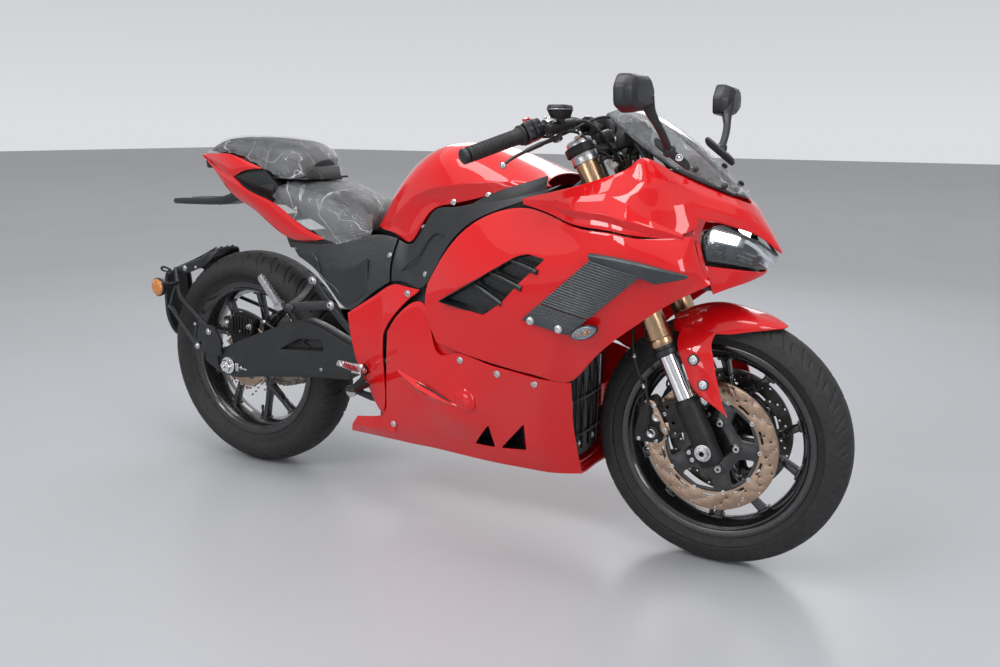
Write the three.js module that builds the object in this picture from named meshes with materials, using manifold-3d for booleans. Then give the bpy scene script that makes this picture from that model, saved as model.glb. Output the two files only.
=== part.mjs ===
// Full-size electric sports motorcycle, as separate sub-parts.
// Millimetres, +X forward, +Y to the rider's left, +Z up, origin on the ground at the middle of the bike.
import * as THREE from 'three';
import { mergeVertices } from 'three/addons/utils/BufferGeometryUtils.js';
import Module from 'manifold-3d';

const wasm = await Module();
wasm.setup();

// ---------------------------------------------------------------- driving dimensions
const WHEELBASE = 1396;
const REAR_X = -672;
const FRONT_X = REAR_X + WHEELBASE;
const RAKE = THREE.MathUtils.degToRad(26.5);
const STEM_OFFSET = -35;            // steering axis behind the fork legs
const FORK_HALF = 100;              // fork legs each side of the centre plane
const FORK = { slider: 20.5, tube: 27, tubeBore: 22, casting: 28, tubeLow: 226, tubeTop: 730 };
const YOKE = { low: 560, lowTop: 592, high: 712, highTop: 732 };
const PIVOT = { x: -112, z: 400, r: 14 };   // swingarm pivot, and the motor's output shaft
const HANGER_BOLT = { x: -92, z: 322 };      // second fixing of the footrest hangers
const ARM = { inner: 110, outer: 140 };
const AXLE_R = 10;
const CHAIN = { y: 87, width: 14, front: 35.7, rear: 106.2, link: 9, tooth: 5 };
const WALL = 4;                     // moulded panel thickness
const SLACK = 0.4;                  // running and fitting clearance

const FRONT = { r: 293, half: 56, flat: 20, rimHalf: 38, bead: 214, barrel: 188 };
const REAR = { r: 314, half: 71, flat: 24, rimHalf: 46, bead: 216, barrel: 190 };

// ---------------------------------------------------------------- materials
const finish = (color, roughness, metalness) => ({ color, roughness, metalness });
const RED = finish(0xd0050c, 0.18, 0.0);
const BLACK = finish(0x17181a, 0.55, 0.0);
const TRIM = finish(0x22262a, 0.5, 0.0);
const CAST = finish(0x1b1b1c, 0.6, 0.6);
const GOLD = finish(0xb98a55, 0.3, 1.0);
const CHROME = finish(0xd8d8d8, 0.12, 1.0);
const STEEL = finish(0x9a8676, 0.35, 1.0);
const RUBBER = finish(0x161616, 0.9, 0.0);
const LEATHER = finish(0x3a3b3e, 0.6, 0.0);
const SMOKE = finish(0x2a2d30, 0.1, 0.0);

// ---------------------------------------------------------------- solids
function closed(geometry) {
  const bare = geometry.clone();
  for (const name of Object.keys(bare.attributes)) {
    if (name !== 'position') bare.deleteAttribute(name);
  }
  const welded = mergeVertices(bare, 1e-3);
  const place = welded.attributes.position.array;
  const tris = [];
  let volume = 0;
  const p = (i) => new THREE.Vector3().fromArray(place, 3 * i);
  for (let t = 0; t < welded.index.count; t += 3) {
    const [a, b, c] = [0, 1, 2].map((k) => welded.index.getX(t + k));
    if (a === b || b === c || c === a) continue;
    tris.push(a, b, c);
    volume += p(a).dot(p(b).cross(p(c)));
  }
  if (volume < 0) {
    for (let t = 0; t < tris.length; t += 3) [tris[t], tris[t + 1]] = [tris[t + 1], tris[t]];
  }
  return new wasm.Manifold(new wasm.Mesh({
    numProp: 3,
    vertProperties: new Float32Array(place),
    triVerts: new Uint32Array(tris),
  }));
}

const join = (...solids) => solids.flat().reduce((a, b) => a.add(b));
const cut = (body, ...tools) => tools.flat().reduce((a, b) => a.subtract(b), body);
const between = (a, b) => [Math.min(a, b), Math.max(a, b)];
const vec = ([x, y, z]) => new THREE.Vector3(x, y, z);
const flip = ([x, y, z]) => [x, -y, z];
const flipAll = (rows) => rows.map((row) => row.map(flip));

function box(x0, x1, y0, y1, z0, z1) {
  const g = new THREE.BoxGeometry(x1 - x0, y1 - y0, z1 - z0);
  g.translate((x0 + x1) / 2, (y0 + y1) / 2, (z0 + z1) / 2);
  return closed(g);
}

/** Round bar from a to b; r2 tapers its far end. */
function rod(a, b, r, sides = 12, r2 = r) {
  const from = vec(a);
  const way = vec(b).sub(from);
  const g = new THREE.CylinderGeometry(r2, r, way.length(), sides);
  g.translate(0, way.length() / 2, 0);
  g.applyQuaternion(new THREE.Quaternion().setFromUnitVectors(new THREE.Vector3(0, 1, 0), way.normalize()));
  g.translate(from.x, from.y, from.z);
  return closed(g);
}

/** Cylinder across the bike, centred on (x, z). */
const across = (x, z, r, y0, y1, sides = 16) => rod([x, y0, z], [x, y1, z], r, sides);

/** Solid through closed rings of points with the same count. */
function ringLoft(rings) {
  const n = rings[0].length;
  const index = [];
  for (let i = 0; i < rings.length - 1; i += 1) {
    for (let j = 0; j < n; j += 1) {
      const a = i * n + j;
      const b = i * n + ((j + 1) % n);
      index.push(a, a + n, b + n, a, b + n, b);
    }
  }
  const last = (rings.length - 1) * n;
  for (let j = 1; j < n - 1; j += 1) index.push(0, j, j + 1, last, last + j + 1, last + j);
  const g = new THREE.BufferGeometry();
  g.setAttribute('position', new THREE.Float32BufferAttribute(rings.flat(2), 3));
  g.setIndex(index);
  return closed(g);
}

/** Straight round bars through the points, mitred where they meet. */
function frameTube(points, r, sides = 6) {
  const path = points.map(vec);
  const ways = path.slice(1).map((p, i) => p.clone().sub(path[i]).normalize());
  const across0 = new THREE.Vector3(0, 0, 1).cross(ways[0]).normalize();
  const up0 = ways[0].clone().cross(across0);
  let section = Array.from({ length: sides }, (_, k) => {
    const a = (2 * Math.PI * k) / sides;
    return path[0].clone().addScaledVector(across0, r * Math.cos(a)).addScaledVector(up0, r * Math.sin(a));
  });
  const rings = [section];
  for (let i = 1; i < path.length; i += 1) {
    const way = ways[i - 1];
    const mitre = way.clone().add(ways[Math.min(i, ways.length - 1)]).normalize();
    section = section.map((p) => p.clone().addScaledVector(way,
      path[i].clone().sub(p).dot(mitre) / way.dot(mitre)));
    rings.push(section);
  }
  return ringLoft(rings.map((loop) => loop.map((p) => p.toArray())));
}

/** Smooth bent bar through the points. */
function bentBar(points, r, sides = 8, steps = 6) {
  const section = new THREE.Shape();
  for (let k = 0; k < sides; k += 1) {
    const a = (2 * Math.PI * k) / sides;
    if (k === 0) section.moveTo(r, 0);
    else section.lineTo(r * Math.cos(a), r * Math.sin(a));
  }
  const path = new THREE.CatmullRomCurve3(points.map(vec), false, 'centripetal');
  return closed(new THREE.ExtrudeGeometry(section, {
    steps: steps * (points.length - 1), bevelEnabled: false, extrudePath: path,
  }));
}

/** Plate in the XZ plane between y0 and y1, with holes. */
function plate(outline, y0, y1, holes = []) {
  const border = outline.map(([x, z]) => new THREE.Vector2(x, z));
  const shape = new THREE.Shape(THREE.ShapeUtils.isClockWise(border) ? border.reverse() : border);
  for (const hole of holes) shape.holes.push(new THREE.Path(hole.map(([x, z]) => new THREE.Vector2(x, z))));
  const g = new THREE.ExtrudeGeometry(shape, { depth: y1 - y0, bevelEnabled: false });
  g.rotateX(Math.PI / 2);
  g.translate(0, y1, 0);
  return closed(g);
}

const circle = (x, z, r, sides) => Array.from({ length: sides }, (_, k) => {
  const a = (2 * Math.PI * k) / sides;
  return [x + r * Math.cos(a), z + r * Math.sin(a)];
});

/** Ring of revolution about the Y axis from a closed [radius, y] profile. */
function ring(profile, sides) {
  const points = [...profile, profile[0]].map(([r, y]) => new THREE.Vector2(r, y));
  return closed(new THREE.LatheGeometry(points, sides, Math.PI / sides));
}

/** Faces of a closed skin: outer and inner copies of a triangulated surface, joined round its border. */
function thicken(points, inner, tris, border) {
  const n = points.length;
  const index = [];
  for (const [a, b, c] of tris) index.push(a, b, c, n + a, n + c, n + b);
  for (let k = 0; k < border.length; k += 1) {
    const a = border[k];
    const b = border[(k + 1) % border.length];
    index.push(b, a, n + a, b, n + a, n + b);
  }
  const g = new THREE.BufferGeometry();
  g.setAttribute('position', new THREE.Float32BufferAttribute([...points,
    ...inner].flatMap((p) => p.toArray()), 3));
  g.setIndex(index);
  return closed(g);
}

/** Moulded panel over a grid of points. wall is its thickness towards the inside point, or a fixed offset. */
function panel(rows, inside, wall = WALL) {
  const m = rows.length;
  const n = rows[0].length;
  const points = rows.flat().map(vec);
  const id = (i, j) => i * n + j;
  const tris = [];
  for (let i = 0; i < m - 1; i += 1) {
    for (let j = 0; j < n - 1; j += 1) {
      tris.push([id(i, j), id(i + 1, j), id(i + 1, j + 1)], [id(i, j), id(i + 1, j + 1), id(i, j + 1)]);
    }
  }
  const border = [];
  for (let i = 0; i < m; i += 1) border.push(id(i, 0));
  for (let j = 1; j < n; j += 1) border.push(id(m - 1, j));
  for (let i = m - 2; i >= 0; i -= 1) border.push(id(i, n - 1));
  for (let j = n - 2; j > 0; j -= 1) border.push(id(0, j));
  return thicken(points, offset(points, tris, inside, wall), tris, border);
}

/** Flat-sided blade inside one outline of points, triangulated in its XZ view. */
function blade(outline, inside, wall = WALL) {
  const points = outline.map(vec);
  const tris = THREE.ShapeUtils.triangulateShape(outline.map(([x, , z]) => new THREE.Vector2(x, z)), []);
  const border = points.map((_, k) => k);
  const forward = tris.some((t) => t.some((a, k) => a === 0 && t[(k + 1) % 3] === 1));
  return thicken(points, offset(points, tris, inside, wall), tris, forward ? border : border.reverse());
}

function offset(points, tris, inside, wall) {
  if (Array.isArray(wall)) return points.map((p) => p.clone().add(vec(wall)));
  const normals = points.map(() => new THREE.Vector3());
  for (const [a, b, c] of tris) {
    const face = points[b].clone().sub(points[a]).cross(points[c].clone().sub(points[a]));
    for (const k of [a, b, c]) normals[k].add(face);
  }
  const inner = vec(inside);
  const side = points.reduce((sum, p, k) => sum + normals[k].dot(inner.clone().sub(p)), 0) > 0 ? 1 : -1;
  return points.map((p, k) => p.clone().addScaledVector(normals[k].normalize(), side * wall));
}

/** Rows from the centre plane to the right edge, mirrored to the left. */
const saddle = (rows) => rows.map((row) => [...row.slice(1).reverse().map(flip), ...row]);

/** Stations from the centre plane back along the right flank, mirrored round the nose to the left flank. */
const wrap = (rows) => [...flipAll(rows.slice(1)).reverse(), ...rows];

/** Solid through closed half sections that start and end on the centre plane. */
const loft = (halves) => ringLoft(halves.map((half) => [...half, ...half.slice(1, -1).reverse().map(flip)]));

/** Half section of a rounded block for loft: half width, bottom and top. */
const blockHalf = (x, half, low, high) => [[x, 0, high], [x, -half * 0.9, high], [x, -half, (low + high) / 2],
  [x, -half * 0.9, low], [x, 0, low]];

// ---------------------------------------------------------------- the scene graph
const bike = new THREE.Group();

function add(parent, name, solid, look) {
  const data = solid.getMesh();
  const g = new THREE.BufferGeometry();
  g.setAttribute('position', new THREE.BufferAttribute(new Float32Array(data.vertProperties), 3));
  g.setIndex(new THREE.BufferAttribute(new Uint32Array(data.triVerts), 1));
  g.computeVertexNormals();
  const mesh = new THREE.Mesh(g, new THREE.MeshStandardMaterial(look));
  mesh.name = name;
  parent.add(mesh);
}

/** Adds a right part and its mirrored left twin. make gets the side: -1 right, +1 left. */
function addPair(parent, name, make, look) {
  add(parent, `${name}_right`, make(-1), look);
  add(parent, `${name}_left`, make(1), look);
}
const sided = (side, rows) => (side < 0 ? rows : flipAll(rows));
const sidedLine = (side, points) => (side < 0 ? points : points.map(flip));

// ---------------------------------------------------------------- wheels
function tyre({ r, half, flat, rimHalf, bead }, sides = 32) {
  const out = r / Math.cos(Math.PI / sides);
  const side = [[out, flat], [out - 14, half * 0.78], [out - 44, half],
    [bead + 13, rimHalf - SLACK], [bead + 2, rimHalf - SLACK], [bead + 2, rimHalf - 9],
    [out - 50, half - 9], [out - 14, flat]];
  return ring([...side, ...side.map(([q, y]) => [q, -y]).reverse()], sides);
}

function rim({ rimHalf, bead, barrel }, hub, sides = 24) {
  const half = [[barrel + 10, 0], [bead, rimHalf - 10], [bead, rimHalf], [bead + 12, rimHalf],
    [bead + 12, rimHalf + 5], [bead - 6, rimHalf + 5]];
  const rimRing = ring([...half, [barrel, 0], ...half.slice(1).map(([q, y]) => [q, -y]).reverse()], sides);
  const spokes = [];
  for (let k = 0; k < 5; k += 1) {
    const a = (2 * Math.PI * k) / 5 + 0.3;
    const at = (q, b) => [q * Math.sin(a + b), q * Math.cos(a + b)];
    const root = at(30, 0);
    const fork = at(96, 0);
    const arm = (p, q, w, w2) => {
      const way = new THREE.Vector2(q[0] - p[0], q[1] - p[1]).normalize();
      const s = [-way.y, way.x];
      return [[p[0] + s[0] * w, p[1] + s[1] * w], [p[0] - s[0] * w, p[1] - s[1] * w],
        [q[0] - s[0] * w2, q[1] - s[1] * w2], [q[0] + s[0] * w2, q[1] + s[1] * w2]];
    };
    spokes.push(plate(arm(root, at(104, 0), 15, 11), -14, 14));
    for (const b of [-0.3, 0.3]) spokes.push(plate(arm(fork, at(barrel + 4, b), 9, 8), -12, 12));
  }
  return cut(join(rimRing, hub, ...spokes), across(0, 0, AXLE_R + SLACK, -200, 200, 16));
}

function disc(outer, inner, y0, y1, sides = 30) {
  const windows = [];
  for (let k = 0; k < 5; k += 1) {
    const a = (2 * Math.PI * k) / 5;
    const at = (q, b) => [q * Math.sin(a + b), q * Math.cos(a + b)];
    windows.push([at(inner, -0.46), at(inner * 1.03, 0), at(inner, 0.46), at(inner * 0.56, 0.36),
      at(inner * 0.56, -0.36)]);
  }
  return plate(circle(0, 0, outer, sides), y0, y1, [circle(0, 0, 20, 12), ...windows]);
}

function sprocket(pitch, teeth, bore) {
  const outline = [];
  for (let k = 0; k < 2 * teeth; k += 1) {
    const a = (Math.PI * k) / teeth;
    const q = k % 2 ? pitch - 5 : pitch + CHAIN.tooth;
    outline.push([q * Math.cos(a), q * Math.sin(a)]);
  }
  return plate(outline, CHAIN.y - 3.5, CHAIN.y + 3.5, [circle(0, 0, bore, 12)]);
}

const frontWheel = new THREE.Group();
frontWheel.position.set(FRONT_X, 0, FRONT.r);
const rearWheel = new THREE.Group();
rearWheel.position.set(REAR_X, 0, REAR.r);
bike.add(frontWheel, rearWheel);

add(frontWheel, 'front_tyre', tyre(FRONT), RUBBER);
add(frontWheel, 'front_rim', rim(FRONT, across(0, 0, 36, -64, 64, 20)), BLACK);
for (const [name, side] of [['right', -1], ['left', 1]]) {
  const [near, far] = between(64.3 * side, 69.3 * side);
  add(frontWheel, `front_disc_${name}`, disc(150, 108, near, far), STEEL);
}
add(rearWheel, 'rear_tyre', tyre(REAR), RUBBER);
add(rearWheel, 'rear_rim', rim(REAR, join(across(0, 0, 36, -63, 83, 20), across(0, 0, 62, 66, 83, 20))),
  BLACK);
add(rearWheel, 'rear_disc', disc(108, 76, -68, -63.4, 30), STEEL);
add(rearWheel, 'rear_sprocket', sprocket(CHAIN.rear, 42, 30), CHROME);

// ---------------------------------------------------------------- front end, along the fork
// In this group +Z runs up the fork legs, +X is square to them and forward.
const frontEnd = new THREE.Group();
frontEnd.position.set(FRONT_X, 0, FRONT.r);
frontEnd.rotation.y = -RAKE;
bike.add(frontEnd);
const up = (x, y, r, z0, z1, sides = 20) => rod([x, y, z0], [x, y, z1], r, sides);

addPair(frontEnd, 'fork_leg', (side) => {
  const y = side * FORK_HALF;
  const lugY = between(side * 96, side * 80);
  const foot = join(
    up(0, y, FORK.casting, -34, 122),
    box(-68, -14, ...lugY, 58, 132),
    box(14, 44, ...lugY, 84, 118),
    up(0, y, FORK.slider, 110, 600),
  );
  return cut(foot, across(0, 0, AXLE_R + SLACK, -200, 200, 16));
}, CHROME);

addPair(frontEnd, 'fork_tube', (side) => {
  const y = side * FORK_HALF;
  const barrel = join(up(0, y, FORK.tube, FORK.tubeLow, FORK.tubeTop + 6), up(0, y, 30, FORK.tubeTop + 4,
    FORK.tubeTop + 16));
  return cut(barrel, up(0, y, FORK.tubeBore, FORK.tubeLow - 5, FORK.tubeTop - 12));
}, GOLD);

function yoke(z0, z1) {
  const outline = [[18, -62], [30, -90], [32, -120], [16, -137], [-16, -137], [-34, -118], [-40, -80],
    [-62, -30]];
  const ringed = [...outline, ...outline.slice().reverse().map(([x, y]) => [x, -y])];
  const shape = new THREE.Shape(ringed.map(([x, y]) => new THREE.Vector2(x, y)));
  const g = new THREE.ExtrudeGeometry(shape, { depth: z1 - z0, bevelEnabled: false });
  g.translate(0, 0, z0);
  const bores = [-1, 1].map((s) => up(0, s * FORK_HALF, FORK.tube + SLACK, z0 - 5, z1 + 5));
  return cut(closed(g), bores);
}
add(frontEnd, 'steering_yokes', join(
  yoke(YOKE.low, YOKE.lowTop),
  yoke(YOKE.high, YOKE.highTop),
  up(STEM_OFFSET, 0, 16, YOKE.low, YOKE.highTop + 8),
  box(16, 32, -14, 14, YOKE.low + 4, YOKE.low + 26),
), CAST);

// Handlebar: measured along the fork frame, right half from the bar end inwards.
const GRIP_END = vec([-138, -370, 776]);
const GRIP_IN = vec([-54, -240, 785]);
const gripWay = GRIP_IN.clone().sub(GRIP_END).normalize();
const alongGrip = (t) => GRIP_END.clone().addScaledVector(gripWay, t).toArray();
const gripLength = GRIP_IN.distanceTo(GRIP_END);
const barHalf = [alongGrip(1), alongGrip(gripLength), [-25, -200, 787], [6, -150, 789], [13, -100, 784],
  [11, -52, 772]];

function barSide(side) {
  const at = (points) => sidedLine(side, points);
  const parts = [
    frameTube(at([...barHalf, [10, 0, 770]]), 11, 8),
    rod(...at([alongGrip(0), alongGrip(14)]), 17, 12),
    rod(...at([alongGrip(gripLength + 2), alongGrip(gripLength + 46)]), 24, 16),
    rod(...at([[10, -45, YOKE.highTop - 4], [10, -45, 772]]), 15, 12),
  ];
  if (side > 0) parts.push(rod(...at([alongGrip(14), alongGrip(gripLength + 2)]), 17, 12));
  return join(parts);
}
const barFoot = box(-8, 30, -60, 60, YOKE.highTop + SLACK, YOKE.highTop + 8);
add(frontEnd, 'handlebar', cut(join(barSide(-1), barSide(1), barFoot),
  box(-90, 60, -140, 140, YOKE.high - 10, YOKE.highTop + SLACK)), CAST);

add(frontEnd, 'throttle_grip', cut(
  join(rod(alongGrip(15), alongGrip(gripLength), 17, 16), rod(alongGrip(gripLength - 8),
    alongGrip(gripLength), 22, 16)),
  rod(alongGrip(5), alongGrip(gripLength + 10), 11.8, 12),
), RUBBER);

const killAt = vec(alongGrip(gripLength + 24));
const killBox = new THREE.BoxGeometry(13, 11, 7);
killBox.rotateZ(Math.atan2(gripWay.y, gripWay.x));
killBox.translate(killAt.x, killAt.y, killAt.z + 24 + 1.3 + 3.5);
add(frontEnd, 'kill_switch', closed(killBox), RED);

const LEVER_PIVOT = [3, -205, 757];
const reservoirBlock = new THREE.BoxGeometry(46, 58, 24);
reservoirBlock.rotateY(RAKE);
reservoirBlock.translate(34, -208, 799);
const reservoir = closed(reservoirBlock);
add(frontEnd, 'master_cylinder', cut(join(
  rod([12, -232, 768], [26, -158, 773], 12, 12),
  rod([12, -200, 768], [-10, -184, 789], 10, 8),
  rod([22, -203, 770], [34, -208, 797], 12, 8),
  reservoir,
), frameTube([...barHalf, [10, 0, 770]], 11 + SLACK, 8), rod(alongGrip(gripLength + 1),
  alongGrip(gripLength + 47), 24.6, 16)), CAST);

add(frontEnd, 'brake_lever', join(
  rod([LEVER_PIVOT[0], LEVER_PIVOT[1], 745], [LEVER_PIVOT[0], LEVER_PIVOT[1], 754], 9, 10),
  bentBar([[3, -205, 750], [-12, -235, 748], [-42, -280, 742], [-70, -343, 725]], 6, 8, 4),
), BLACK);

add(frontEnd, 'front_brake_hose', bentBar([[28.6, -153, 775], [44, -136, 770], [56, -104, 738],
  [56, -66, 680],
  [50, -30, 630], [37, -6, 604], [33, 0, 587]], 4, 6, 3), RUBBER);

// Axle, calipers and fender travel with the fork legs.
add(frontEnd, 'front_axle', join(across(0, 0, AXLE_R, -133, 133, 16), across(0, 0, 15, -141, -131, 6),
  across(0, 0, 15, 131, 141, 6)), CHROME);

addPair(frontEnd, 'front_caliper', (side) => {
  const y = between(side * 94, side * 46);
  const slot = between(side * 72, side * 61.5);
  const body = plate([[-132, 62], [-128, 140], [-100, 156], [-70, 150], [-69, 70], [-84, 52]], ...y);
  return cut(body, box(-140, -60, ...slot, 0, 146));
}, CAST);

// ---------------------------------------------------------------- front fender
const fenderTop = saddle([
  [[860, 0, 569], [856, -15, 567], [849, -26, 566], [836, -36, 564]],
  [[821, 0, 588], [818, -27, 585], [810, -51, 575], [795, -64, 560]],
  [[767, 0, 601], [765, -35, 596], [761, -62, 580], [752, -78, 553]],
  [[713, 0, 608], [713, -38, 602], [712, -68, 583], [711, -90, 552]],
  [[659, 0, 598], [660, -38, 592], [662, -68, 574], [666, -88, 548]],
  [[614, 0, 579], [615, -30, 575], [617, -52, 562], [620, -62, 545]],
]);
const fenderBlade = [[660, -84, 560], [722, -88, 558], [720, -102, 534], [732, -112, 503], [748, -118, 456],
  [776, -120, 372], [743, -122, 401], [704, -124, 423], [682, -124, 452], [654, -116, 508], [638, -100, 544]];
add(bike, 'front_fender', join(
  panel(fenderTop, [724, 0, 300]),
  blade(fenderBlade, [700, 0, 460]),
  blade(fenderBlade.map(flip), [700, 0, 460]),
), RED);

// ---------------------------------------------------------------- main frame
const sideTubes = (side) => {
  const y = (points) => sidedLine(side, points);
  return [
    frameTube(y([[395, -14, 872], [318, -104, 790], [110, -122, 690], [-60, -112, 560],
      [-100, -102, 480]]), 15),
    frameTube(y([[402, -14, 858], [338, -100, 765], [335, -106, 560], [306, -108, 300],
      [140, -108, 232], [-70, -104, 232], [-100, -102, 320]]), 14),
    frameTube(y([[-60, -112, 560], [-300, -92, 655], [-500, -78, 738]]), 12),
    frameTube(y([[-104, -102, 500], [-330, -92, 668]]), 10),
    plate([[-140, 500], [-84, 505], [-62, 440], [-66, 360], [-84, 300], [-118, 300], [-150, 350],
      [-152, 440]],
      ...between(side * 97, side * 107)),
    across(PIVOT.x, PIVOT.z, PIVOT.r, ...between(side * 100, side * 160), 16),
    across(HANGER_BOLT.x, HANGER_BOLT.z, 9, ...between(side * 100, side * 145), 8),
  ];
};
const crossTube = (x, z, half, r = 11) => across(x, z, r, -half, half, 8);
const stemAt = (t) => [FRONT_X + STEM_OFFSET * Math.cos(RAKE) - t * Math.sin(RAKE), 0,
  FRONT.r - STEM_OFFSET * -Math.sin(RAKE) + t * Math.cos(RAKE)];
const headTube = cut(rod(stemAt(YOKE.lowTop + 3), stemAt(YOKE.high - 3), 30, 20),
  rod(stemAt(YOKE.lowTop - 5), stemAt(YOKE.high + 5), 16 + SLACK, 20));
const SHOCK = { top: [-220, 0, 600], low: [-250, 0, 430] };
const mainFrame = join(
  cut(join(...sideTubes(-1), ...sideTubes(1)), rod(stemAt(YOKE.lowTop - 30), stemAt(YOKE.high + 5), 29, 20)),
  headTube,
  crossTube(110, 690, 118), crossTube(-70, 232, 100), crossTube(306, 300, 104), crossTube(-225, 625, 98),
  crossTube(-500, 738, 76), crossTube(-60, 560, 108),
  plate([[-232, 632], [-236, 592], [-204, 592], [-212, 632]], 15, 22),
  plate([[-232, 632], [-236, 592], [-204, 592], [-212, 632]], -22, -15),
  across(SHOCK.top[0], SHOCK.top[2], 8, -22, 22, 12),
);
add(bike, 'main_frame', mainFrame, CAST);

// ---------------------------------------------------------------- battery and drive
add(bike, 'battery_pack', loft([
  blockHalf(-30, 80, 455, 625), blockHalf(-15, 88, 440, 640), blockHalf(265, 88, 440, 640),
    blockHalf(280, 80, 455, 625),
]), BLACK);
add(bike, 'drive_unit', join(
  across(60, 330, 90, -84, 70, 24),
  across(60, 330, 78, -92, 84, 24),
  plate([[-145, 432], [-80, 446], [60, 420], [60, 250], [-60, 300], [-148, 372]], 34, 76),
  across(PIVOT.x, PIVOT.z, AXLE_R, 70, 79, 12),
), CAST);
const motorSprocket = new THREE.Group();
motorSprocket.position.set(PIVOT.x, 0, PIVOT.z);
bike.add(motorSprocket);
add(motorSprocket, 'motor_sprocket', cut(join(sprocket(CHAIN.front, 14, 14), across(0, 0, 20, 80, 94, 12)),
  across(0, 0, 8, 76, 100, 12)), CHROME);

// ---------------------------------------------------------------- swingarm, chain and rear brake
const armOutline = [[-768, 346], [-715, 352], [-623, 393], [-451, 460], [-376, 480], [-325, 467], [-233, 432],
  [-140, 436], [-98, 433], [-78, 412], [-78, 388], [-98, 367], [-140, 364], [-215, 345], [-243, 327],
    [-357, 320],
  [-573, 292], [-644, 280], [-709, 285], [-768, 314]];
const armWindow = [[-478, 384], [-410, 423], [-330, 428], [-321, 396]];
const swingarm = join(
  ...[-1, 1].map((s) => plate(armOutline, ...between(s * ARM.inner, s * ARM.outer), [armWindow])),
  box(-336, -272, -116, 116, 338, 402),
  plate([[-300, 402], [-266, 444], [-236, 440], [-250, 395], [-274, 380]], 13, 20),
  plate([[-300, 402], [-266, 444], [-236, 440], [-250, 395], [-274, 380]], -20, -13),
  across(REAR_X, REAR.r, AXLE_R, -160, 160, 16),
  across(REAR_X, REAR.r, 16, -154, -138, 6),
  across(REAR_X, REAR.r, 16, 138, 154, 6),
);
add(bike, 'swingarm', cut(swingarm, across(PIVOT.x, PIVOT.z, PIVOT.r + SLACK, -200, 200, 16)), BLACK);

/** Outline of the chain loop at a distance from its pitch line. */
function chainLoop(grow) {
  const [a, b] = [new THREE.Vector2(PIVOT.x, PIVOT.z), new THREE.Vector2(REAR_X, REAR.r)];
  const way = b.clone().sub(a);
  const lean = Math.atan2(way.y, way.x);
  const span = Math.acos((CHAIN.front - CHAIN.rear) / way.length());
  const points = [];
  for (let k = 0; k <= 8; k += 1) {
    const t = lean + span + ((2 * Math.PI - 2 * span) * k) / 8;
    points.push([a.x + (CHAIN.front + grow) * Math.cos(t), a.y + (CHAIN.front + grow) * Math.sin(t)]);
  }
  for (let k = 0; k <= 14; k += 1) {
    const t = lean - span + (2 * span * k) / 14;
    points.push([b.x + (CHAIN.rear + grow) * Math.cos(t), b.y + (CHAIN.rear + grow) * Math.sin(t)]);
  }
  return points;
}
const chainBand = plate(chainLoop(CHAIN.link), CHAIN.y - CHAIN.width / 2, CHAIN.y + CHAIN.width / 2,
  [chainLoop(-CHAIN.link)]);
const teethSlot = (x, z, pitch, sides) => across(x, z, pitch + CHAIN.tooth + 1, CHAIN.y - 4.2,
  CHAIN.y + 4.2, sides);
add(bike, 'drive_chain', cut(chainBand, teethSlot(PIVOT.x, PIVOT.z, CHAIN.front, 20),
  teethSlot(REAR_X, REAR.r, CHAIN.rear, 32), across(PIVOT.x, PIVOT.z, 21, 70, 100, 12)), STEEL);

add(bike, 'rear_caliper', cut(join(
  plate([[-724, 388], [-712, 452], [-664, 458], [-622, 440], [-636, 384]], -88, -50),
  plate([[-712, 400], [-640, 400], [-646, 300], [-698, 300]], -86, -76),
), plate([[-800, 300], [-800, 446], [-600, 446], [-600, 300]], -71.5, -60.5),
across(REAR_X, REAR.r, AXLE_R + SLACK, -100, 0, 16)), CAST);

// Short hood over the back of the rear tyre, and the plate holder hanging behind it on two pairs of stays.
const HOOD = { out: 341, in: 335, skirt: 311, half: 60, arc: [106, 113, 120] };
const hoodPoint = (deg, q) => [REAR_X + q * Math.cos(THREE.MathUtils.degToRad(deg)),
  REAR.r + q * Math.sin(THREE.MathUtils.degToRad(deg))];
const hoodArc = (q) => HOOD.arc.map((deg) => hoodPoint(deg, q));
const hoodOutline = [...hoodArc(HOOD.out), [-900, 590], [-955, 568], [-1012, 545], [-1010, 539], [-955, 562],
  [-900, 584], ...hoodArc(HOOD.in).reverse()];
const skirtOutline = [...hoodArc(HOOD.in + 2), [-900, 587], [-940, 571],
  [-912, 534], hoodPoint(132, HOOD.skirt),
  ...hoodArc(HOOD.skirt).reverse()];
const holderOutline = [[-1012, 545], [-1017, 500], [-1017, 430], [-1007, 370], [-996, 338], [-990, 340],
  [-1001, 372], [-1011, 430], [-1011, 500], [-1006, 543]];
const LUG_OUTLINE = [[-802, 346], [-790, 374], [-750, 424], [-720, 426], [-690, 386], [-690, 340]];
const stays = (side) => {
  const at = (points) => sidedLine(side, points);
  return [
    plate(skirtOutline, ...between(side * (HOOD.half - 4), side * HOOD.half)),
    frameTube(at([[-962, -50, 562], [-930, -75, 522], [-918, -82, 484], [-728, -147, 410]]), 6),
    frameTube(at([[-1012, -42, 438], [-960, -80, 447], [-786, -147, 362]]), 6),
    rod(...at([[-930, -70, 520], [-932, -138, 520]]), 6, 8),
    plate(LUG_OUTLINE, ...between(side * 140.5, side * 150)),
  ];
};
add(bike, 'rear_mudguard', join(plate(hoodOutline, -HOOD.half, HOOD.half), plate(holderOutline, -48, 48),
  ...stays(-1), ...stays(1)), BLACK);

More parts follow.
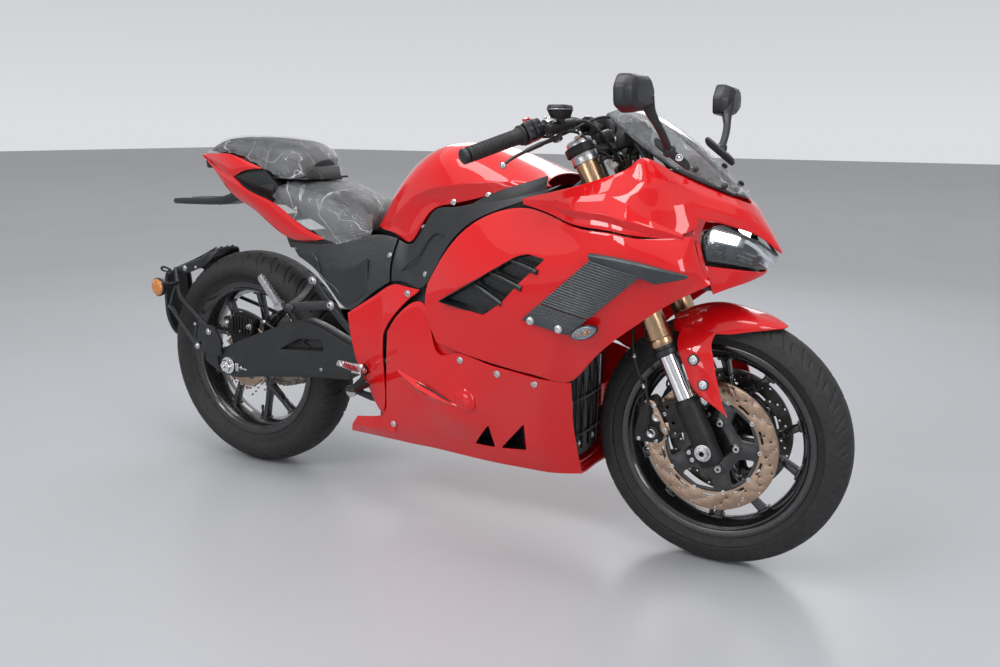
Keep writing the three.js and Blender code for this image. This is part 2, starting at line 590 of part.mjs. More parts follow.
// ---------------------------------------------------------------- rear shock
const shockWay = vec(SHOCK.low).sub(vec(SHOCK.top)).normalize();
const shockAt = (t) => vec(SHOCK.top).addScaledVector(shockWay, t).toArray();
const shockLength = vec(SHOCK.low).distanceTo(vec(SHOCK.top));
add(bike, 'shock_body', cut(join(
  across(SHOCK.top[0], SHOCK.top[2], 14, -11, 11, 16),
  rod(shockAt(8), shockAt(24), 9, 12),
  rod(shockAt(21), shockAt(104), 19, 12),
  rod(shockAt(22), shockAt(30), 30, 12),
), across(SHOCK.top[0], SHOCK.top[2], 8.6, -30, 30, 12), rod(shockAt(52), shockAt(120), 8.5, 12)), STEEL);
add(bike, 'shock_rod', cut(join(
  rod(shockAt(76), shockAt(shockLength - 6), 7, 12),
  rod(shockAt(136), shockAt(144), 30, 12),
  across(SHOCK.low[0], SHOCK.low[2], 13, -10, 10, 16),
), across(SHOCK.low[0], SHOCK.low[2], 8, -30, 30, 12)), CHROME);

// ---------------------------------------------------------------- seats
add(bike, 'rider_seat', loft([
  [[-506, 0, 822], [-508, -50, 820], [-510, -88, 812], [-508, -102, 800], [-500, -106, 788], [-500, 0, 786]],
  [[-486, 0, 836], [-486, -50, 834], [-487, -88, 826], [-488, -105, 804], [-488, -109, 776], [-486, 0, 784]],
  [[-430, 0, 841], [-430, -50, 838], [-430, -90, 826], [-430, -114, 795], [-425, -119, 753], [-430, 0, 770]],
  [[-345, 0, 832], [-345, -50, 829], [-345, -92, 812], [-345, -122, 770], [-345, -129, 722], [-345, 0, 745]],
  [[-270, 0, 804], [-270, -50, 801], [-268, -92, 784], [-266, -122, 745], [-262, -130, 700], [-266, 0, 720]],
  [[-228, 0, 782], [-225, -50, 779], [-220, -88, 764], [-214, -114, 735], [-210, -122, 712], [-220, 0, 714]],
  [[-214, 0, 764], [-211, -42, 761], [-206, -72, 750], [-190, -92, 724], [-184, -102, 718], [-212, 0, 714]],
]), LEATHER);
add(bike, 'pillion_seat', loft([
  [[-818, 0, 912], [-818, -20, 911], [-818, -32, 908], [-818, -35, 905], [-818, 0, 900]],
  [[-740, 0, 945], [-740, -40, 940], [-738, -58, 925], [-736, -62, 914], [-736, 0, 901]],
  [[-650, 0, 952], [-650, -50, 947], [-648, -74, 930], [-646, -82, 910], [-646, 0, 892]],
  [[-545, 0, 950], [-545, -55, 944], [-545, -90, 920], [-545, -100, 880], [-545, 0, 870]],
  [[-450, 0, 934], [-450, -58, 928], [-452, -96, 900], [-455, -108, 853], [-455, 0, 856]],
  [[-385, 0, 910], [-385, -55, 904], [-383, -88, 885], [-383, -102, 853], [-383, 0, 856]],
  [[-362, 0, 885], [-362, -50, 882], [-361, -75, 872], [-362, -86, 858], [-366, 0, 860]],
]), LEATHER);

// ---------------------------------------------------------------- bodywork on the centre plane
const tankRows = saddle([
  [[-206, 0, 737], [-202, -30, 735], [-192, -55, 734], [-180, -70, 732], [-165, -80, 730], [-150, -88, 729]],
  [[-166, 0, 805], [-160, -45, 797], [-140, -80, 780], [-125, -95, 760], [-110, -100, 740], [-95, -108, 718]],
  [[-100, 0, 885], [-95, -60, 868], [-75, -105, 835], [-62, -118, 800], [-55, -118, 760], [-43, -125, 710]],
  [[-13, 0, 937], [-8, -75, 925], [5, -125, 880], [5, -140, 835], [10, -132, 810], [20, -138, 785]],
  [[60, 0, 950], [60, -85, 940], [70, -140, 895], [75, -158, 850], [80, -150, 825], [88, -148, 808]],
  [[150, 0, 940], [150, -85, 930], [158, -140, 890], [165, -160, 860], [170, -155, 842], [180, -153, 829]],
  [[240, 0, 909], [240, -80, 902], [245, -130, 880], [250, -148, 866], [255, -150, 856], [265, -148, 847]],
  [[320, 0, 882], [320, -60, 878], [325, -95, 873], [328, -115, 868], [334, -126, 863], [345, -134, 859]],
]);
add(bike, 'tank_cover', panel(tankRows, [80, 0, 780]), RED);

// Upper cowl: stations from the nose back along the flank, each from its lower edge to its upper edge.
const cowlRows = wrap([
  [[837, 0, 728], [812, 0, 766], [786, 0, 801], [763, 0, 829]],
  [[804, -35, 758], [789, -40, 787], [772, -38, 815], [754, -24, 835]],
  [[765, -75, 780], [757, -80, 805], [747, -72, 830], [733, -50, 846]],
  [[720, -120, 797], [713, -122, 822], [700, -115, 848], [680, -98, 872]],
  [[697, -146, 797], [680, -150, 832], [657, -150, 872], [627, -137, 901]],
  [[676, -176, 774], [650, -182, 820], [615, -180, 875], [580, -163, 927]],
  [[603, -226, 769], [585, -213, 810], [565, -196, 862], [547, -172, 908]],
  [[530, -236, 778], [518, -222, 812], [508, -205, 850], [500, -178, 887]],
  [[446, -226, 785], [440, -216, 808], [434, -202, 838], [427, -183, 864]],
  [[380, -207, 803], [375, -202, 815], [370, -196, 832], [364, -184, 848]],
  [[300, -184, 819], [299, -183, 823], [297, -182, 827], [294, -180, 831]],
]);
// Chin under the lamp, and the cheek that joins it to the cowl behind the lamp.
const chinRows = wrap([
  [[806, 0, 683], [803, 0, 680], [800, 0, 676]],
  [[788, -50, 689], [785, -51, 678], [781, -51, 666]],
  [[750, -97, 698], [753, -96, 677], [756, -94, 657]],
  [[710, -138, 706], [719, -134, 674], [728, -127, 645]],
]);
const cheekRows = [
  [[706, -134, 800], [684, -162, 790]],
  [[700, -146, 768], [690, -159, 768]],
  [[704, -144, 735], [700, -160, 735]],
  [[712, -136, 704], [706, -156, 712]],
  [[722, -130, 676], [715, -141, 684]],
];
add(bike, 'upper_cowl', join(
  panel(cowlRows, [560, 0, 760]),
  panel(chinRows, [660, 0, 700]),
  panel(cheekRows, [640, 0, 740], 5),
  panel(flipAll(cheekRows), [640, 0, 740], 5),
), RED);

const lampRows = wrap([
  [[829, 0, 721], [822, 0, 706], [806, 0, 690]],
  [[799, -33, 750], [797, -38, 722], [788, -42, 695]],
  [[763, -73, 771], [765, -75, 737], [759, -80, 704]],
  [[722, -117, 789], [726, -119, 750], [728, -114, 712]],
  [[703, -136, 768], [708, -136, 742], [713, -132, 716]],
]);
add(bike, 'headlight_unit', panel(lampRows, [600, 0, 740], [-46, 0, 0]), SMOKE);

const screenRows = saddle([
  [[497, 0, 1030], [491, -50, 1031], [484, -92, 1028], [474, -130, 1019]],
  [[548, 0, 1009], [541, -55, 1005], [534, -102, 995], [526, -141, 981]],
  [[610, 0, 969], [604, -60, 963], [592, -112, 952], [579, -150, 944]],
  [[665, 0, 924], [658, -48, 921], [645, -92, 915], [629, -130, 908]],
  [[712, 0, 882], [706, -34, 881], [697, -64, 880], [683, -92, 879]],
  [[757, 0, 842], [751, -18, 845], [744, -30, 849], [735, -45, 853]],
]);
add(bike, 'windscreen', panel(screenRows, [600, 0, 800], 3), SMOKE);

const PEG_LUG = { x: -168, z: 372, r: 13 };

// ---------------------------------------------------------------- side bodywork, right side
// The left side is its mirror.
// Side fairing: stations from its rear edge forward, each from its upper edge to its lower edge.
const fairingRows = [
  [[50, -196, 620], [46, -197, 600], [44, -199, 578], [47, -202, 554], [58, -206, 528], [84, -212, 484]],
  [[100, -197, 697], [104, -208, 655], [112, -218, 610], [122, -222, 565], [132, -222, 520],
    [142, -219, 471]],
  [[170, -192, 767], [180, -212, 715], [192, -232, 655], [205, -240, 600], [215, -236, 540],
    [225, -226, 458]],
  [[260, -184, 806], [272, -212, 750], [284, -240, 690], [296, -250, 625], [304, -246, 550],
    [310, -226, 446]],
  [[340, -192, 808], [350, -220, 755], [362, -246, 700], [374, -256, 630], [380, -250, 550],
    [372, -222, 438]],
  [[446, -225, 780], [450, -238, 745], [456, -254, 700], [458, -258, 640], [448, -245, 560],
    [433, -198, 431]],
  [[530, -235, 773], [535, -245, 745], [545, -254, 710], [548, -254, 665], [538, -242, 610],
    [508, -215, 508]],
  [[603, -226, 764], [612, -235, 742], [622, -240, 715], [628, -238, 690], [622, -230, 655],
    [600, -210, 586]],
  [[678, -179, 769], [684, -192, 748], [690, -202, 725], [696, -206, 705], [696, -204, 685],
    [680, -194, 642]],
  [[692, -164, 766], [696, -167, 750], [702, -169, 733], [710, -171, 714], [718, -170, 698],
    [734, -166, 672]],
];
const ventOutline = [[105, 588], [313, 709], [340, 716], [389, 709], [335, 659], [284, 605], [230, 568],
  [170, 577]];
const wingRows = [
  [[333, -258, 568], [394, -260, 556], [454, -257, 545]],
  [[410, -267, 632], [476, -269, 622], [541, -261, 613]],
  [[495, -263, 729], [545, -266, 690], [600, -256, 672]],
  [[614, -254, 724], [622, -254, 703], [630, -248, 680]],
  [[697, -216, 695], [697, -216, 691], [697, -215, 686]],
];
const SLOTS = [[[213, 290], [159, 226], [216, 225]], [[308, 307], [231, 226], [301, 232]]];
const bellyRows = saddle([
  [[415, 0, 172], [417, -60, 172], [419, -90, 176], [419, -118, 240], [421, -150, 314],
    [427, -172, 369], [431, -190, 424]],
  [[353, 0, 168], [353, -75, 168], [353, -110, 172], [358, -145, 240], [364, -172, 310],
    [370, -196, 370], [374, -219, 431]],
  [[290, 0, 168], [290, -80, 168], [287, -118, 173], [292, -155, 238], [298, -182, 305],
    [304, -205, 372], [310, -224, 440]],
  [[220, 0, 170], [220, -85, 170], [220, -125, 175], [222, -160, 240], [223, -185, 300],
    [224, -210, 370], [225, -225, 452]],
  [[140, 0, 174], [140, -90, 174], [135, -130, 179], [140, -165, 240], [140, -205, 300],
    [141, -215, 370], [140, -217, 464]],
  [[43, 0, 178], [43, -90, 178], [43, -130, 183], [45, -165, 240], [50, -196, 310], [62, -210, 390],
    [75, -211, 478]],
  [[0, 0, 179], [0, -90, 179], [0, -131, 184], [2, -165, 240], [5, -192, 320], [15, -203, 430],
    [38, -198, 570]],
  [[-50, 0, 181], [-50, -90, 181], [-45, -131, 184], [-42, -163, 240], [-42, -184, 320],
    [-42, -192, 430], [-39, -187, 538]],
  [[-95, 0, 182], [-95, -90, 182], [-92, -130, 185], [-95, -160, 235], [-92, -174, 320],
    [-86, -181, 411], [-82, -181, 484]],
  [[-108, 0, 182], [-108, -90, 182], [-106, -130, 185], [-106, -157, 222], [-105, -160, 235],
    [-104, -161, 250], [-103, -162, 260]],
  [[-150, 0, 184], [-150, -90, 184], [-148, -130, 186], [-150, -152, 210], [-150, -156, 222],
    [-150, -157, 235], [-150, -157, 248]],
  [[-235, 0, 187], [-235, -90, 187], [-240, -130, 188], [-232, -140, 203], [-225, -145, 215],
    [-215, -148, 226], [-206, -150, 238]],
]);
const coverRows = [
  [[20, -187, 601], [14, -188, 594], [6, -188, 588], [-3, -188, 582], [-12, -188, 575]],
  [[-25, -177, 603], [-28, -180, 590], [-31, -183, 576], [-36, -186, 562], [-43, -188, 546]],
  [[-72, -168, 603], [-76, -173, 575], [-82, -178, 545], [-86, -181, 515], [-90, -182, 488]],
  [[-120, -166, 576], [-115, -171, 530], [-110, -177, 480], [-104, -179, 430], [-98, -179, 400]],
  [[-160, -164, 552], [-152, -169, 500], [-144, -173, 440], [-130, -172, 370], [-112, -166, 268]],
  [[-190, -163, 534], [-182, -167, 490], [-175, -168, 440], [-162, -167, 375], [-143, -163, 300]],
  [[-221, -161, 515], [-214, -164, 480], [-206, -166, 445], [-190, -166, 392], [-170, -166, 368]],
];
const sidePanelRows = [
  [[-456, -113, 679], [-450, -114, 679], [-445, -115, 677], [-440, -116, 675]],
  [[-400, -123, 681], [-398, -124, 675], [-396, -126, 665], [-394, -128, 652]],
  [[-304, -134, 685], [-304, -140, 655], [-304, -145, 622], [-302, -148, 590]],
  [[-224, -128, 702], [-224, -140, 650], [-224, -150, 590], [-225, -158, 526]],
  [[-150, -118, 718], [-150, -135, 670], [-152, -150, 620], [-155, -158, 565]],
  [[-90, -120, 712], [-90, -140, 680], [-90, -154, 645], [-86, -164, 608]],
  [[-40, -130, 703], [-38, -146, 672], [-34, -160, 640], [-28, -173, 612]],
  [[26, -144, 779], [24, -158, 720], [26, -172, 660], [32, -188, 609]],
  [[92, -154, 801], [92, -166, 765], [90, -180, 725], [86, -191, 688]],
  [[188, -159, 822], [182, -168, 805], [176, -178, 789], [167, -186, 773]],
  [[276, -154, 841], [275, -161, 833], [273, -168, 825], [270, -176, 817]],
  [[340, -143, 853], [338, -148, 849], [336, -153, 846], [334, -158, 842]],
  [[368, -134, 863], [368, -136, 862], [367, -138, 861], [366, -141, 859]],
];

addPair(bike, 'side_fairing', (side) => {
  const skin = panel(sided(side, fairingRows), [300, 0, 620]);
  const y = between(side * 140, side * 300);
  return cut(skin, plate(ventOutline, ...y));
}, RED);
addPair(bike, 'wing_panel', (side) => panel(sided(side, wingRows), [480, 0, 650]), TRIM);
addPair(bike, 'rear_side_cover', (side) => cut(panel(sided(side, coverRows), [-100, 0, 450], 3),
  across(PEG_LUG.x, PEG_LUG.z, PEG_LUG.r + 2, -200, 200, 12)), RED);
addPair(bike, 'side_panel', (side) => panel(sided(side, sidePanelRows), [0, 0, 680], 3), TRIM);
add(bike, 'belly_pan', cut(panel(bellyRows, [150, 0, 380]), ...SLOTS.map((s) => plate(s, -260, 260))), RED);

// ---------------------------------------------------------------- tail
const tailBlade = [[-824, -40, 903], [-670, -89, 905], [-546, -106, 873], [-617, -102, 863], [-664, -97, 847],
  [-603, -112, 815], [-491, -122, 780], [-401, -130, 732], [-312, -136, 699], [-346, -130, 690],
    [-461, -118, 688],
  [-565, -103, 747], [-677, -87, 797], [-767, -60, 857], [-834, -34, 899]];
const tailEnd = loft([
  [[-838, 0, 904], [-838, -26, 904], [-838, -32, 900], [-838, -26, 893], [-838, 0, 893]],
  [[-822, 0, 904], [-822, -34, 904], [-822, -38, 900], [-822, -34, 888], [-822, 0, 888]],
]);
add(bike, 'tail_cowl', join(
  blade(tailBlade, [-600, 0, 800]), blade(tailBlade.map(flip), [-600, 0, 800]), tailEnd,
), RED);
add(bike, 'undertail_tray', join(
  loft([blockHalf(-812, 24, 878, 886), blockHalf(-740, 44, 852, 892), blockHalf(-664, 72, 810, 882),
    blockHalf(-600, 88, 792, 868), blockHalf(-520, 94, 774, 850)]),
  box(-524, -350, -84, 84, 844.5, 850),
  box(-356, -346, -72, 72, 846, 878),
  loft([blockHalf(-950, 60, 757, 774), blockHalf(-750, 60, 762, 784), blockHalf(-690, 66, 774, 812),
    blockHalf(-620, 70, 790, 830)]),
), BLACK);

// ---------------------------------------------------------------- footrest hangers, pegs, pedal and stand
const PILLION_PIN = [-403, -206, 514];
addPair(bike, 'footrest_bracket', (side) => {
  const flat = [[-96, 430], [-84, 400], [-66, 332], [-78, 306], [-110, 300], [-150, 285], [-214, 300],
    [-214, 330],
    [-186, 350], [-190, 390], [-150, 428]];
  const at = (points) => sidedLine(side, points);
  const body = join(
    plate(flat, ...between(side * 145.5, side * 153)),
    frameTube(at([[-160, -149, 400], [-284, -150, 526], [-340, -148, 588]]), 7),
    frameTube(at([[-340, -148, 588], [-386, -192, 522]]), 7),
    frameTube(at([[-284, -150, 526], [-386, -192, 522]]), 8),
    rod(...at([[-378, -190, 516], [-392, -196, 508]]), 11, 10),
    rod(...at([[PEG_LUG.x, -150, PEG_LUG.z], [PEG_LUG.x, -176, PEG_LUG.z]]), PEG_LUG.r, 12),
  );
  const pivot = side > 0 ? rod([-196, 150, 300], [-196, 166, 300], 14, 12) : rod([-206, -150, 312],
    [-206, -166, 312], 11, 12);
  return cut(join(body, pivot), across(PIVOT.x, PIVOT.z, PIVOT.r + SLACK, -200, 200, 16),
    across(HANGER_BOLT.x, HANGER_BOLT.z, 9 + SLACK, -200, 200, 8));
}, CAST);

const ridgedPeg = (from, to, r) => join(rod(from, to, r, 8), rod(from, vec(from).lerp(vec(to),
  0.12).toArray(), r * 1.25, 8));
addPair(bike, 'rider_peg', (side) => ridgedPeg(...sidedLine(side, [[-168, -182, 375],
  [-174, -264, 409]]), 11), CHROME);
addPair(bike, 'pillion_peg', (side) => ridgedPeg(...sidedLine(side, [PILLION_PIN, [-438, -246, 608]]),
  10), CHROME);
add(bike, 'brake_pedal', join(
  across(-206, 312, 12, -176, -166.6, 12),
  frameTube([[-206, -172, 312], [-172, -176, 330], [-150, -190, 340]], 6),
  box(-166, -134, -252, -186, 333, 349),
), CHROME);
add(bike, 'side_stand', join(
  across(-196, 300, 13, 166.8, 182, 12),
  frameTube([[-196, 176, 300], [-330, 190, 284], [-478, 212, 268]], 9),
  box(-508, -462, 200, 226, 254, 262),
), BLACK);

// ---------------------------------------------------------------- mirrors
addPair(bike, 'mirror', (side) => {
  const face = (x, grow) => [[-246, 1022], [-330, 1016], [-368, 1030], [-372, 1066], [-352, 1090],
    [-268, 1094], [-242, 1062]]
    .map(([y, z]) => [x, -310 + (y + 310) * grow, 1056 + (z - 1056) * grow]);
  const sections = [face(586, 0.94), face(594, 1), face(612, 0.96), face(630, 0.62)];
  const stem = sidedLine(side, [[618, -262, 1040], [624, -254, 1016], [632, -222, 982], [634, -180, 944]]);
  return join(ringLoft(sections.map((s) => sidedLine(side, s))), frameTube(stem, 9, 8),
    rod(...sidedLine(side, [[636, -184, 946], [636, -164, 930]]), 13, 10));
}, BLACK);

export default bike;
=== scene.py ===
"""Looks of a full-size sports motorcycle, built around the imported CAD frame. Tables are in millimetres."""
import math

import bmesh
import bpy
import numpy as np
from mathutils import Matrix, Vector, noise as field


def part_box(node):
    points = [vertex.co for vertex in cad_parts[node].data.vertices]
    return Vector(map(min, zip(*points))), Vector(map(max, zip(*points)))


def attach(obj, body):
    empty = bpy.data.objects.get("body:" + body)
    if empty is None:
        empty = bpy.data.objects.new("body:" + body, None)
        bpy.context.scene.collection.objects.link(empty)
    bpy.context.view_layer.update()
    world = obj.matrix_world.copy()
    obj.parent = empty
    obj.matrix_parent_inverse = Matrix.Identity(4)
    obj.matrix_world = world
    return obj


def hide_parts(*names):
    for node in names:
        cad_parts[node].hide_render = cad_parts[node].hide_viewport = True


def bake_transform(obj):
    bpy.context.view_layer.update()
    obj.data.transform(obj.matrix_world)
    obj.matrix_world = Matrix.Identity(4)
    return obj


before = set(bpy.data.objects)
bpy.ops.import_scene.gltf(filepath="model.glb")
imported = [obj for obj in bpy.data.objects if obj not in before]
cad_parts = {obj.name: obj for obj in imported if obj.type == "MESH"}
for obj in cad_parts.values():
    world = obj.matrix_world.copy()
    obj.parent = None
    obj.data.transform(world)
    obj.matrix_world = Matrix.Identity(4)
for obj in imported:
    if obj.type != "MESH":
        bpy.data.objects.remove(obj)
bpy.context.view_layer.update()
MM = 0.001
SIDES = (("right", 1), ("left", -1))   # tables hold the right side, whose y is negative

# ------------------------------------------------------------------ camera
CAMERA = (1.3305, -2.1148, 0.9905)
YAW, PITCH, ROLL = math.radians(119.383), math.radians(-12.06), math.radians(0.469)
look = Vector((math.cos(PITCH) * math.cos(YAW), math.cos(PITCH) * math.sin(YAW), math.sin(PITCH)))
level = look.cross(Vector((0, 0, 1))).normalized()
rise = level.cross(look)
right_way = level * math.cos(ROLL) + rise * math.sin(ROLL)
up_way = right_way.cross(look)
cam = bpy.data.objects.new("camera", bpy.data.cameras.new("camera"))
bpy.context.scene.collection.objects.link(cam)
cam.matrix_world = Matrix.Translation(CAMERA) @ Matrix((right_way, up_way, -look)).transposed().to_4x4()
cam.data.lens, cam.data.sensor_width = 35.02, 36.0
cam.data.clip_end = 200
bpy.context.scene.camera = cam

# ------------------------------------------------------------------ materials
MATS = {}


def node(tree, kind, **values):
    made = tree.nodes.new(kind)
    for key, value in values.items():
        if hasattr(made, key):
            setattr(made, key, value)
        else:
            made.inputs[key.replace("_", " ")].default_value = value
    return made


def noise(tree, space, scale, detail=3.0, rough=0.5):
    made = node(tree, "ShaderNodeTexNoise", Scale=scale, Detail=detail, Roughness=rough)
    tree.links.new(space, made.inputs["Vector"])
    return made.outputs["Fac"]


def ranged(tree, value, low, high, start=0.3, end=0.7):
    made = node(tree, "ShaderNodeMapRange")
    for key, v in (("From Min", start), ("From Max", end), ("To Min", low), ("To Max", high)):
        made.inputs[key].default_value = v
    tree.links.new(value, made.inputs["Value"])
    return made.outputs["Result"]


def material(name, color, rough, metal=0.0, coat=0.0, spread=0.12, scale=9.0, grain=None, shine=0.06,
    stretch=None,
             slot=None, **extra):
    """Principled surface with drifting colour and gloss. grain = (scale, depth in m, kind) is its bump."""
    mat = bpy.data.materials.new(name)
    mat.use_nodes = True
    tree = mat.node_tree
    shader = tree.nodes["Principled BSDF"]
    shader.inputs["Metallic"].default_value = metal
    shader.inputs["Coat Weight"].default_value = coat
    for key, value in extra.items():
        shader.inputs[key.replace("_", " ")].default_value = value
    coords = node(tree, "ShaderNodeTexCoord").outputs["Object"]
    if stretch:
        mapping = node(tree, "ShaderNodeMapping", Scale=stretch)
        tree.links.new(coords, mapping.inputs["Vector"])
        coords = mapping.outputs["Vector"]
    drift = noise(tree, coords, scale)
    ramp = node(tree, "ShaderNodeValToRGB")
    ramp.color_ramp.elements[0].position, ramp.color_ramp.elements[1].position = 0.3, 0.7
    ramp.color_ramp.elements[0].color = [c * (1 - spread) for c in color[:3]] + [1]
    ramp.color_ramp.elements[1].color = [min(1, c * (1 + spread)) for c in color[:3]] + [1]
    tree.links.new(drift, ramp.inputs["Fac"])
    tree.links.new(ramp.outputs["Color"], shader.inputs["Base Color"])
    tree.links.new(ranged(tree, noise(tree, coords, scale * 3.7), max(0.01, rough - shine),
        min(1, rough + shine)),
                   shader.inputs["Roughness"])
    if grain:
        size, depth, kind = grain
        if kind == "noise":
            height = noise(tree, coords, size, 4.0, 0.6)
        else:
            cells = node(tree, "ShaderNodeTexVoronoi", Scale=size)
            cells.inputs["Randomness"].default_value = 0.0 if kind == "dots" else 0.8
            if kind == "creases":
                cells.feature = "DISTANCE_TO_EDGE"
            tree.links.new(coords, cells.inputs["Vector"])
            height = ranged(tree, cells.outputs["Distance"], 0, 1, 0.0, 0.12 if kind == "creases" else 0.5)
        bump = node(tree, "ShaderNodeBump", Distance=depth)
        bump.inputs["Strength"].default_value = 1.0
        tree.links.new(height, bump.inputs["Height"])
        tree.links.new(bump.outputs["Normal"], shader.inputs["Normal"])
    MATS[name] = (mat, slot or name)
    return mat


material("gloss_red", (0.60, 0.0025, 0.005), 0.42, coat=1.0, spread=0.02, scale=3.0, shine=0.01,
         Specular_IOR_Level=0.12, Coat_Roughness=0.02, Coat_IOR=1.5)
# Darker copy of the gloss red: painted shade for the liner seen in the gap behind the cowl and cheek.
material("shaded_red", (0.30, 0.004, 0.006), 0.45, spread=0.1, scale=20, slot="gloss_red")
material("satin_black", (0.012, 0.013, 0.0145), 0.42, spread=0.2, scale=14, grain=(1500, 0.00008, "noise"))
material("panel_black", (0.014, 0.0165, 0.019), 0.38, spread=0.15, scale=6, grain=(2200, 0.00005, "noise"),
    slot="satin_black")
material("dotted_black", (0.018, 0.02, 0.022), 0.45, spread=0.15, scale=10, grain=(240, 0.0006, "dots"),
    stretch=(1, 0, 1), slot="satin_black")
material("trim_grey", (0.032, 0.037, 0.043), 0.3, spread=0.12, scale=12, grain=(1800, 0.00005, "noise"))
# Near-black for the vent fins, vent box and lamp insides; it also draws the slit, seam and groove lines as
# painted shade.
material("fin_black_and_groove_shade", (0.010, 0.0115, 0.013), 0.3, spread=0.15, scale=12, slot="satin_black")
material("cast_black", (0.014, 0.014, 0.0145), 0.5, metal=0.35, spread=0.25, scale=30,
    grain=(700, 0.0002, "noise"))
material("frame_black", (0.013, 0.0135, 0.014), 0.42, metal=0.2, spread=0.2, scale=18,
    grain=(1200, 0.0001, "noise"))
material("wheel_black", (0.008, 0.008, 0.009), 0.24, coat=0.6, spread=0.2, scale=15,
    grain=(500, 0.00005, "noise"))
material("gold_anodised", (0.50, 0.33, 0.20), 0.26, metal=1.0, spread=0.1, scale=20, stretch=(1, 1, 0.1),
    grain=(2500, 0.00003, "noise"))
material("chrome", (0.78, 0.78, 0.79), 0.08, metal=1.0, spread=0.03, scale=12, shine=0.03)
material("bare_alloy", (0.52, 0.52, 0.53), 0.3, metal=1.0, spread=0.1, scale=40,
    grain=(1600, 0.00006, "noise"))
material("disc_steel", (0.36, 0.255, 0.19), 0.3, metal=1.0, spread=0.16, scale=14,
    grain=(2600, 0.00003, "noise"))
# Darker copy of disc_steel: real dark steel for the chain pins and brake pads, and painted shade on the far
# front disc's inner face.
material("dark_steel_and_shaded_disc", (0.10, 0.095, 0.09), 0.38, metal=1.0, spread=0.2, scale=18, slot="disc_steel")
material("chain_steel", (0.27, 0.25, 0.21), 0.35, metal=1.0, spread=0.25, scale=120)
material("tyre_rubber", (0.0145, 0.0145, 0.0150), 0.72, spread=0.18, scale=25, grain=(900, 0.00015, "noise"),
    shine=0.1)
material("grip_rubber", (0.012, 0.012, 0.0125), 0.62, spread=0.15, scale=40, grain=(1100, 0.0001, "noise"))
material("hose_rubber", (0.010, 0.010, 0.011), 0.45, spread=0.2, scale=40, grain=(900, 0.0001, "noise"))
material("seat_leather", (0.040, 0.042, 0.046), 0.46, spread=0.2, scale=16, grain=(420, 0.00045, "creases"))
material("switch_red", (0.55, 0.012, 0.02), 0.3, coat=0.5, spread=0.08, scale=60)
material("connector_white", (0.66, 0.66, 0.62), 0.45, spread=0.08, scale=80)
material("lamp_silver", (0.30, 0.315, 0.34), 0.16, metal=1.0, spread=0.1, scale=40, slot="lamp_glass")
material("amber_lens", (0.72, 0.24, 0.03), 0.15, coat=1.0, spread=0.15, scale=90, grain=(450, 0.0004, "dots"),
         Transmission_Weight=0.25)
material("dash_teal", (0.03, 0.22, 0.24), 0.08, coat=1.0, spread=0.3, scale=30, slot="lamp_glass")
material("red_lens", (0.22, 0.004, 0.006), 0.12, coat=1.0, spread=0.15, scale=60, grain=(350, 0.0004, "dots"))
material("mirror_glass", (0.75, 0.77, 0.8), 0.03, metal=1.0, spread=0.02, scale=5, shine=0.01)
material("lamp_glass", (0.75, 0.79, 0.83), 0.04, spread=0.03, scale=20, shine=0.02, Transmission_Weight=0.92,
    IOR=1.12, Alpha=0.55)
material("lamp_white", (0.9, 0.93, 1.0), 0.2, spread=0.03, scale=60, Emission_Color=(1.0, 0.95, 0.88, 1),
    Emission_Strength=1.6)
material("lamp_rim_light", (0.42, 0.43, 0.46), 0.2, spread=0.03, scale=60, slot="lamp_white",
         Emission_Color=(0.9, 0.94, 1.0, 1), Emission_Strength=0.25)
material("smoke_screen", (0.030, 0.034, 0.040), 0.05, spread=0.15, scale=8, shine=0.03, coat=1.0, Alpha=0.62)
material("seat_film", (0.86, 0.88, 0.9), 0.09, spread=0.06, scale=22, shine=0.05, coat=0.8, Alpha=0.2,
         grain=(55, 0.0022, "noise"))


def painted_fold_glints(name, clear, fold_glint_alpha):
    """Painted highlights along folds in clear film: the white film's alpha rises along thin wandering lines,
    less where it lies flat.
    """
    tree = MATS[name][0].node_tree
    split = node(tree, "ShaderNodeSeparateXYZ")
    tree.links.new(node(tree, "ShaderNodeNewGeometry").outputs["Normal"], split.inputs[0])
    steep = ranged(tree, split.outputs["Z"], 1.0, 0.30, 0.45, 0.85)
    coords = tree.nodes["Texture Coordinate"].outputs["Object"]
    total = None
    for size, reach in ((4.0, 0.005), (9.0, 0.006)):
        wave = node(tree, "ShaderNodeTexNoise", Scale=size, Detail=1.5, Roughness=0.5, Distortion=0.6)
        tree.links.new(coords, wave.inputs["Vector"])
        centred = node(tree, "ShaderNodeMath", operation="SUBTRACT")
        tree.links.new(wave.outputs["Fac"], centred.inputs[0])
        centred.inputs[1].default_value = 0.5
        folded = node(tree, "ShaderNodeMath", operation="ABSOLUTE")
        tree.links.new(centred.outputs[0], folded.inputs[0])
        line = ranged(tree, folded.outputs[0], fold_glint_alpha, clear, 0.001, reach)
        if total is None:
            total = line
            continue
        most = node(tree, "ShaderNodeMath", operation="MAXIMUM")
        tree.links.new(total, most.inputs[0])
        tree.links.new(line, most.inputs[1])
        total = most.outputs[0]
    fade = node(tree, "ShaderNodeMath", operation="MULTIPLY")
    tree.links.new(total, fade.inputs[0])
    tree.links.new(steep, fade.inputs[1])
    tree.links.new(fade.outputs[0], tree.nodes["Principled BSDF"].inputs["Alpha"])


# The film's white fold lines are painted highlights.
painted_fold_glints("seat_film", 0.12, 0.50)
MATS["lamp_white"][0].node_tree.nodes["Principled BSDF"].inputs["Emission Strength"].default_value = 5.0


# ------------------------------------------------------------------ mesh helpers, all in millimetres
def merge(*parts):
    verts, faces = [], []
    for part_verts, part_faces in parts:
        start = len(verts)
        verts.extend([tuple(p) for p in part_verts])
        faces.extend([[i + start for i in f] for f in part_faces])
    return verts, faces


def moved(part, how):
    return [how(p) for p in part[0]], part[1]


RAKE = math.radians(26.5)
COS, SIN = math.cos(RAKE), math.sin(RAKE)


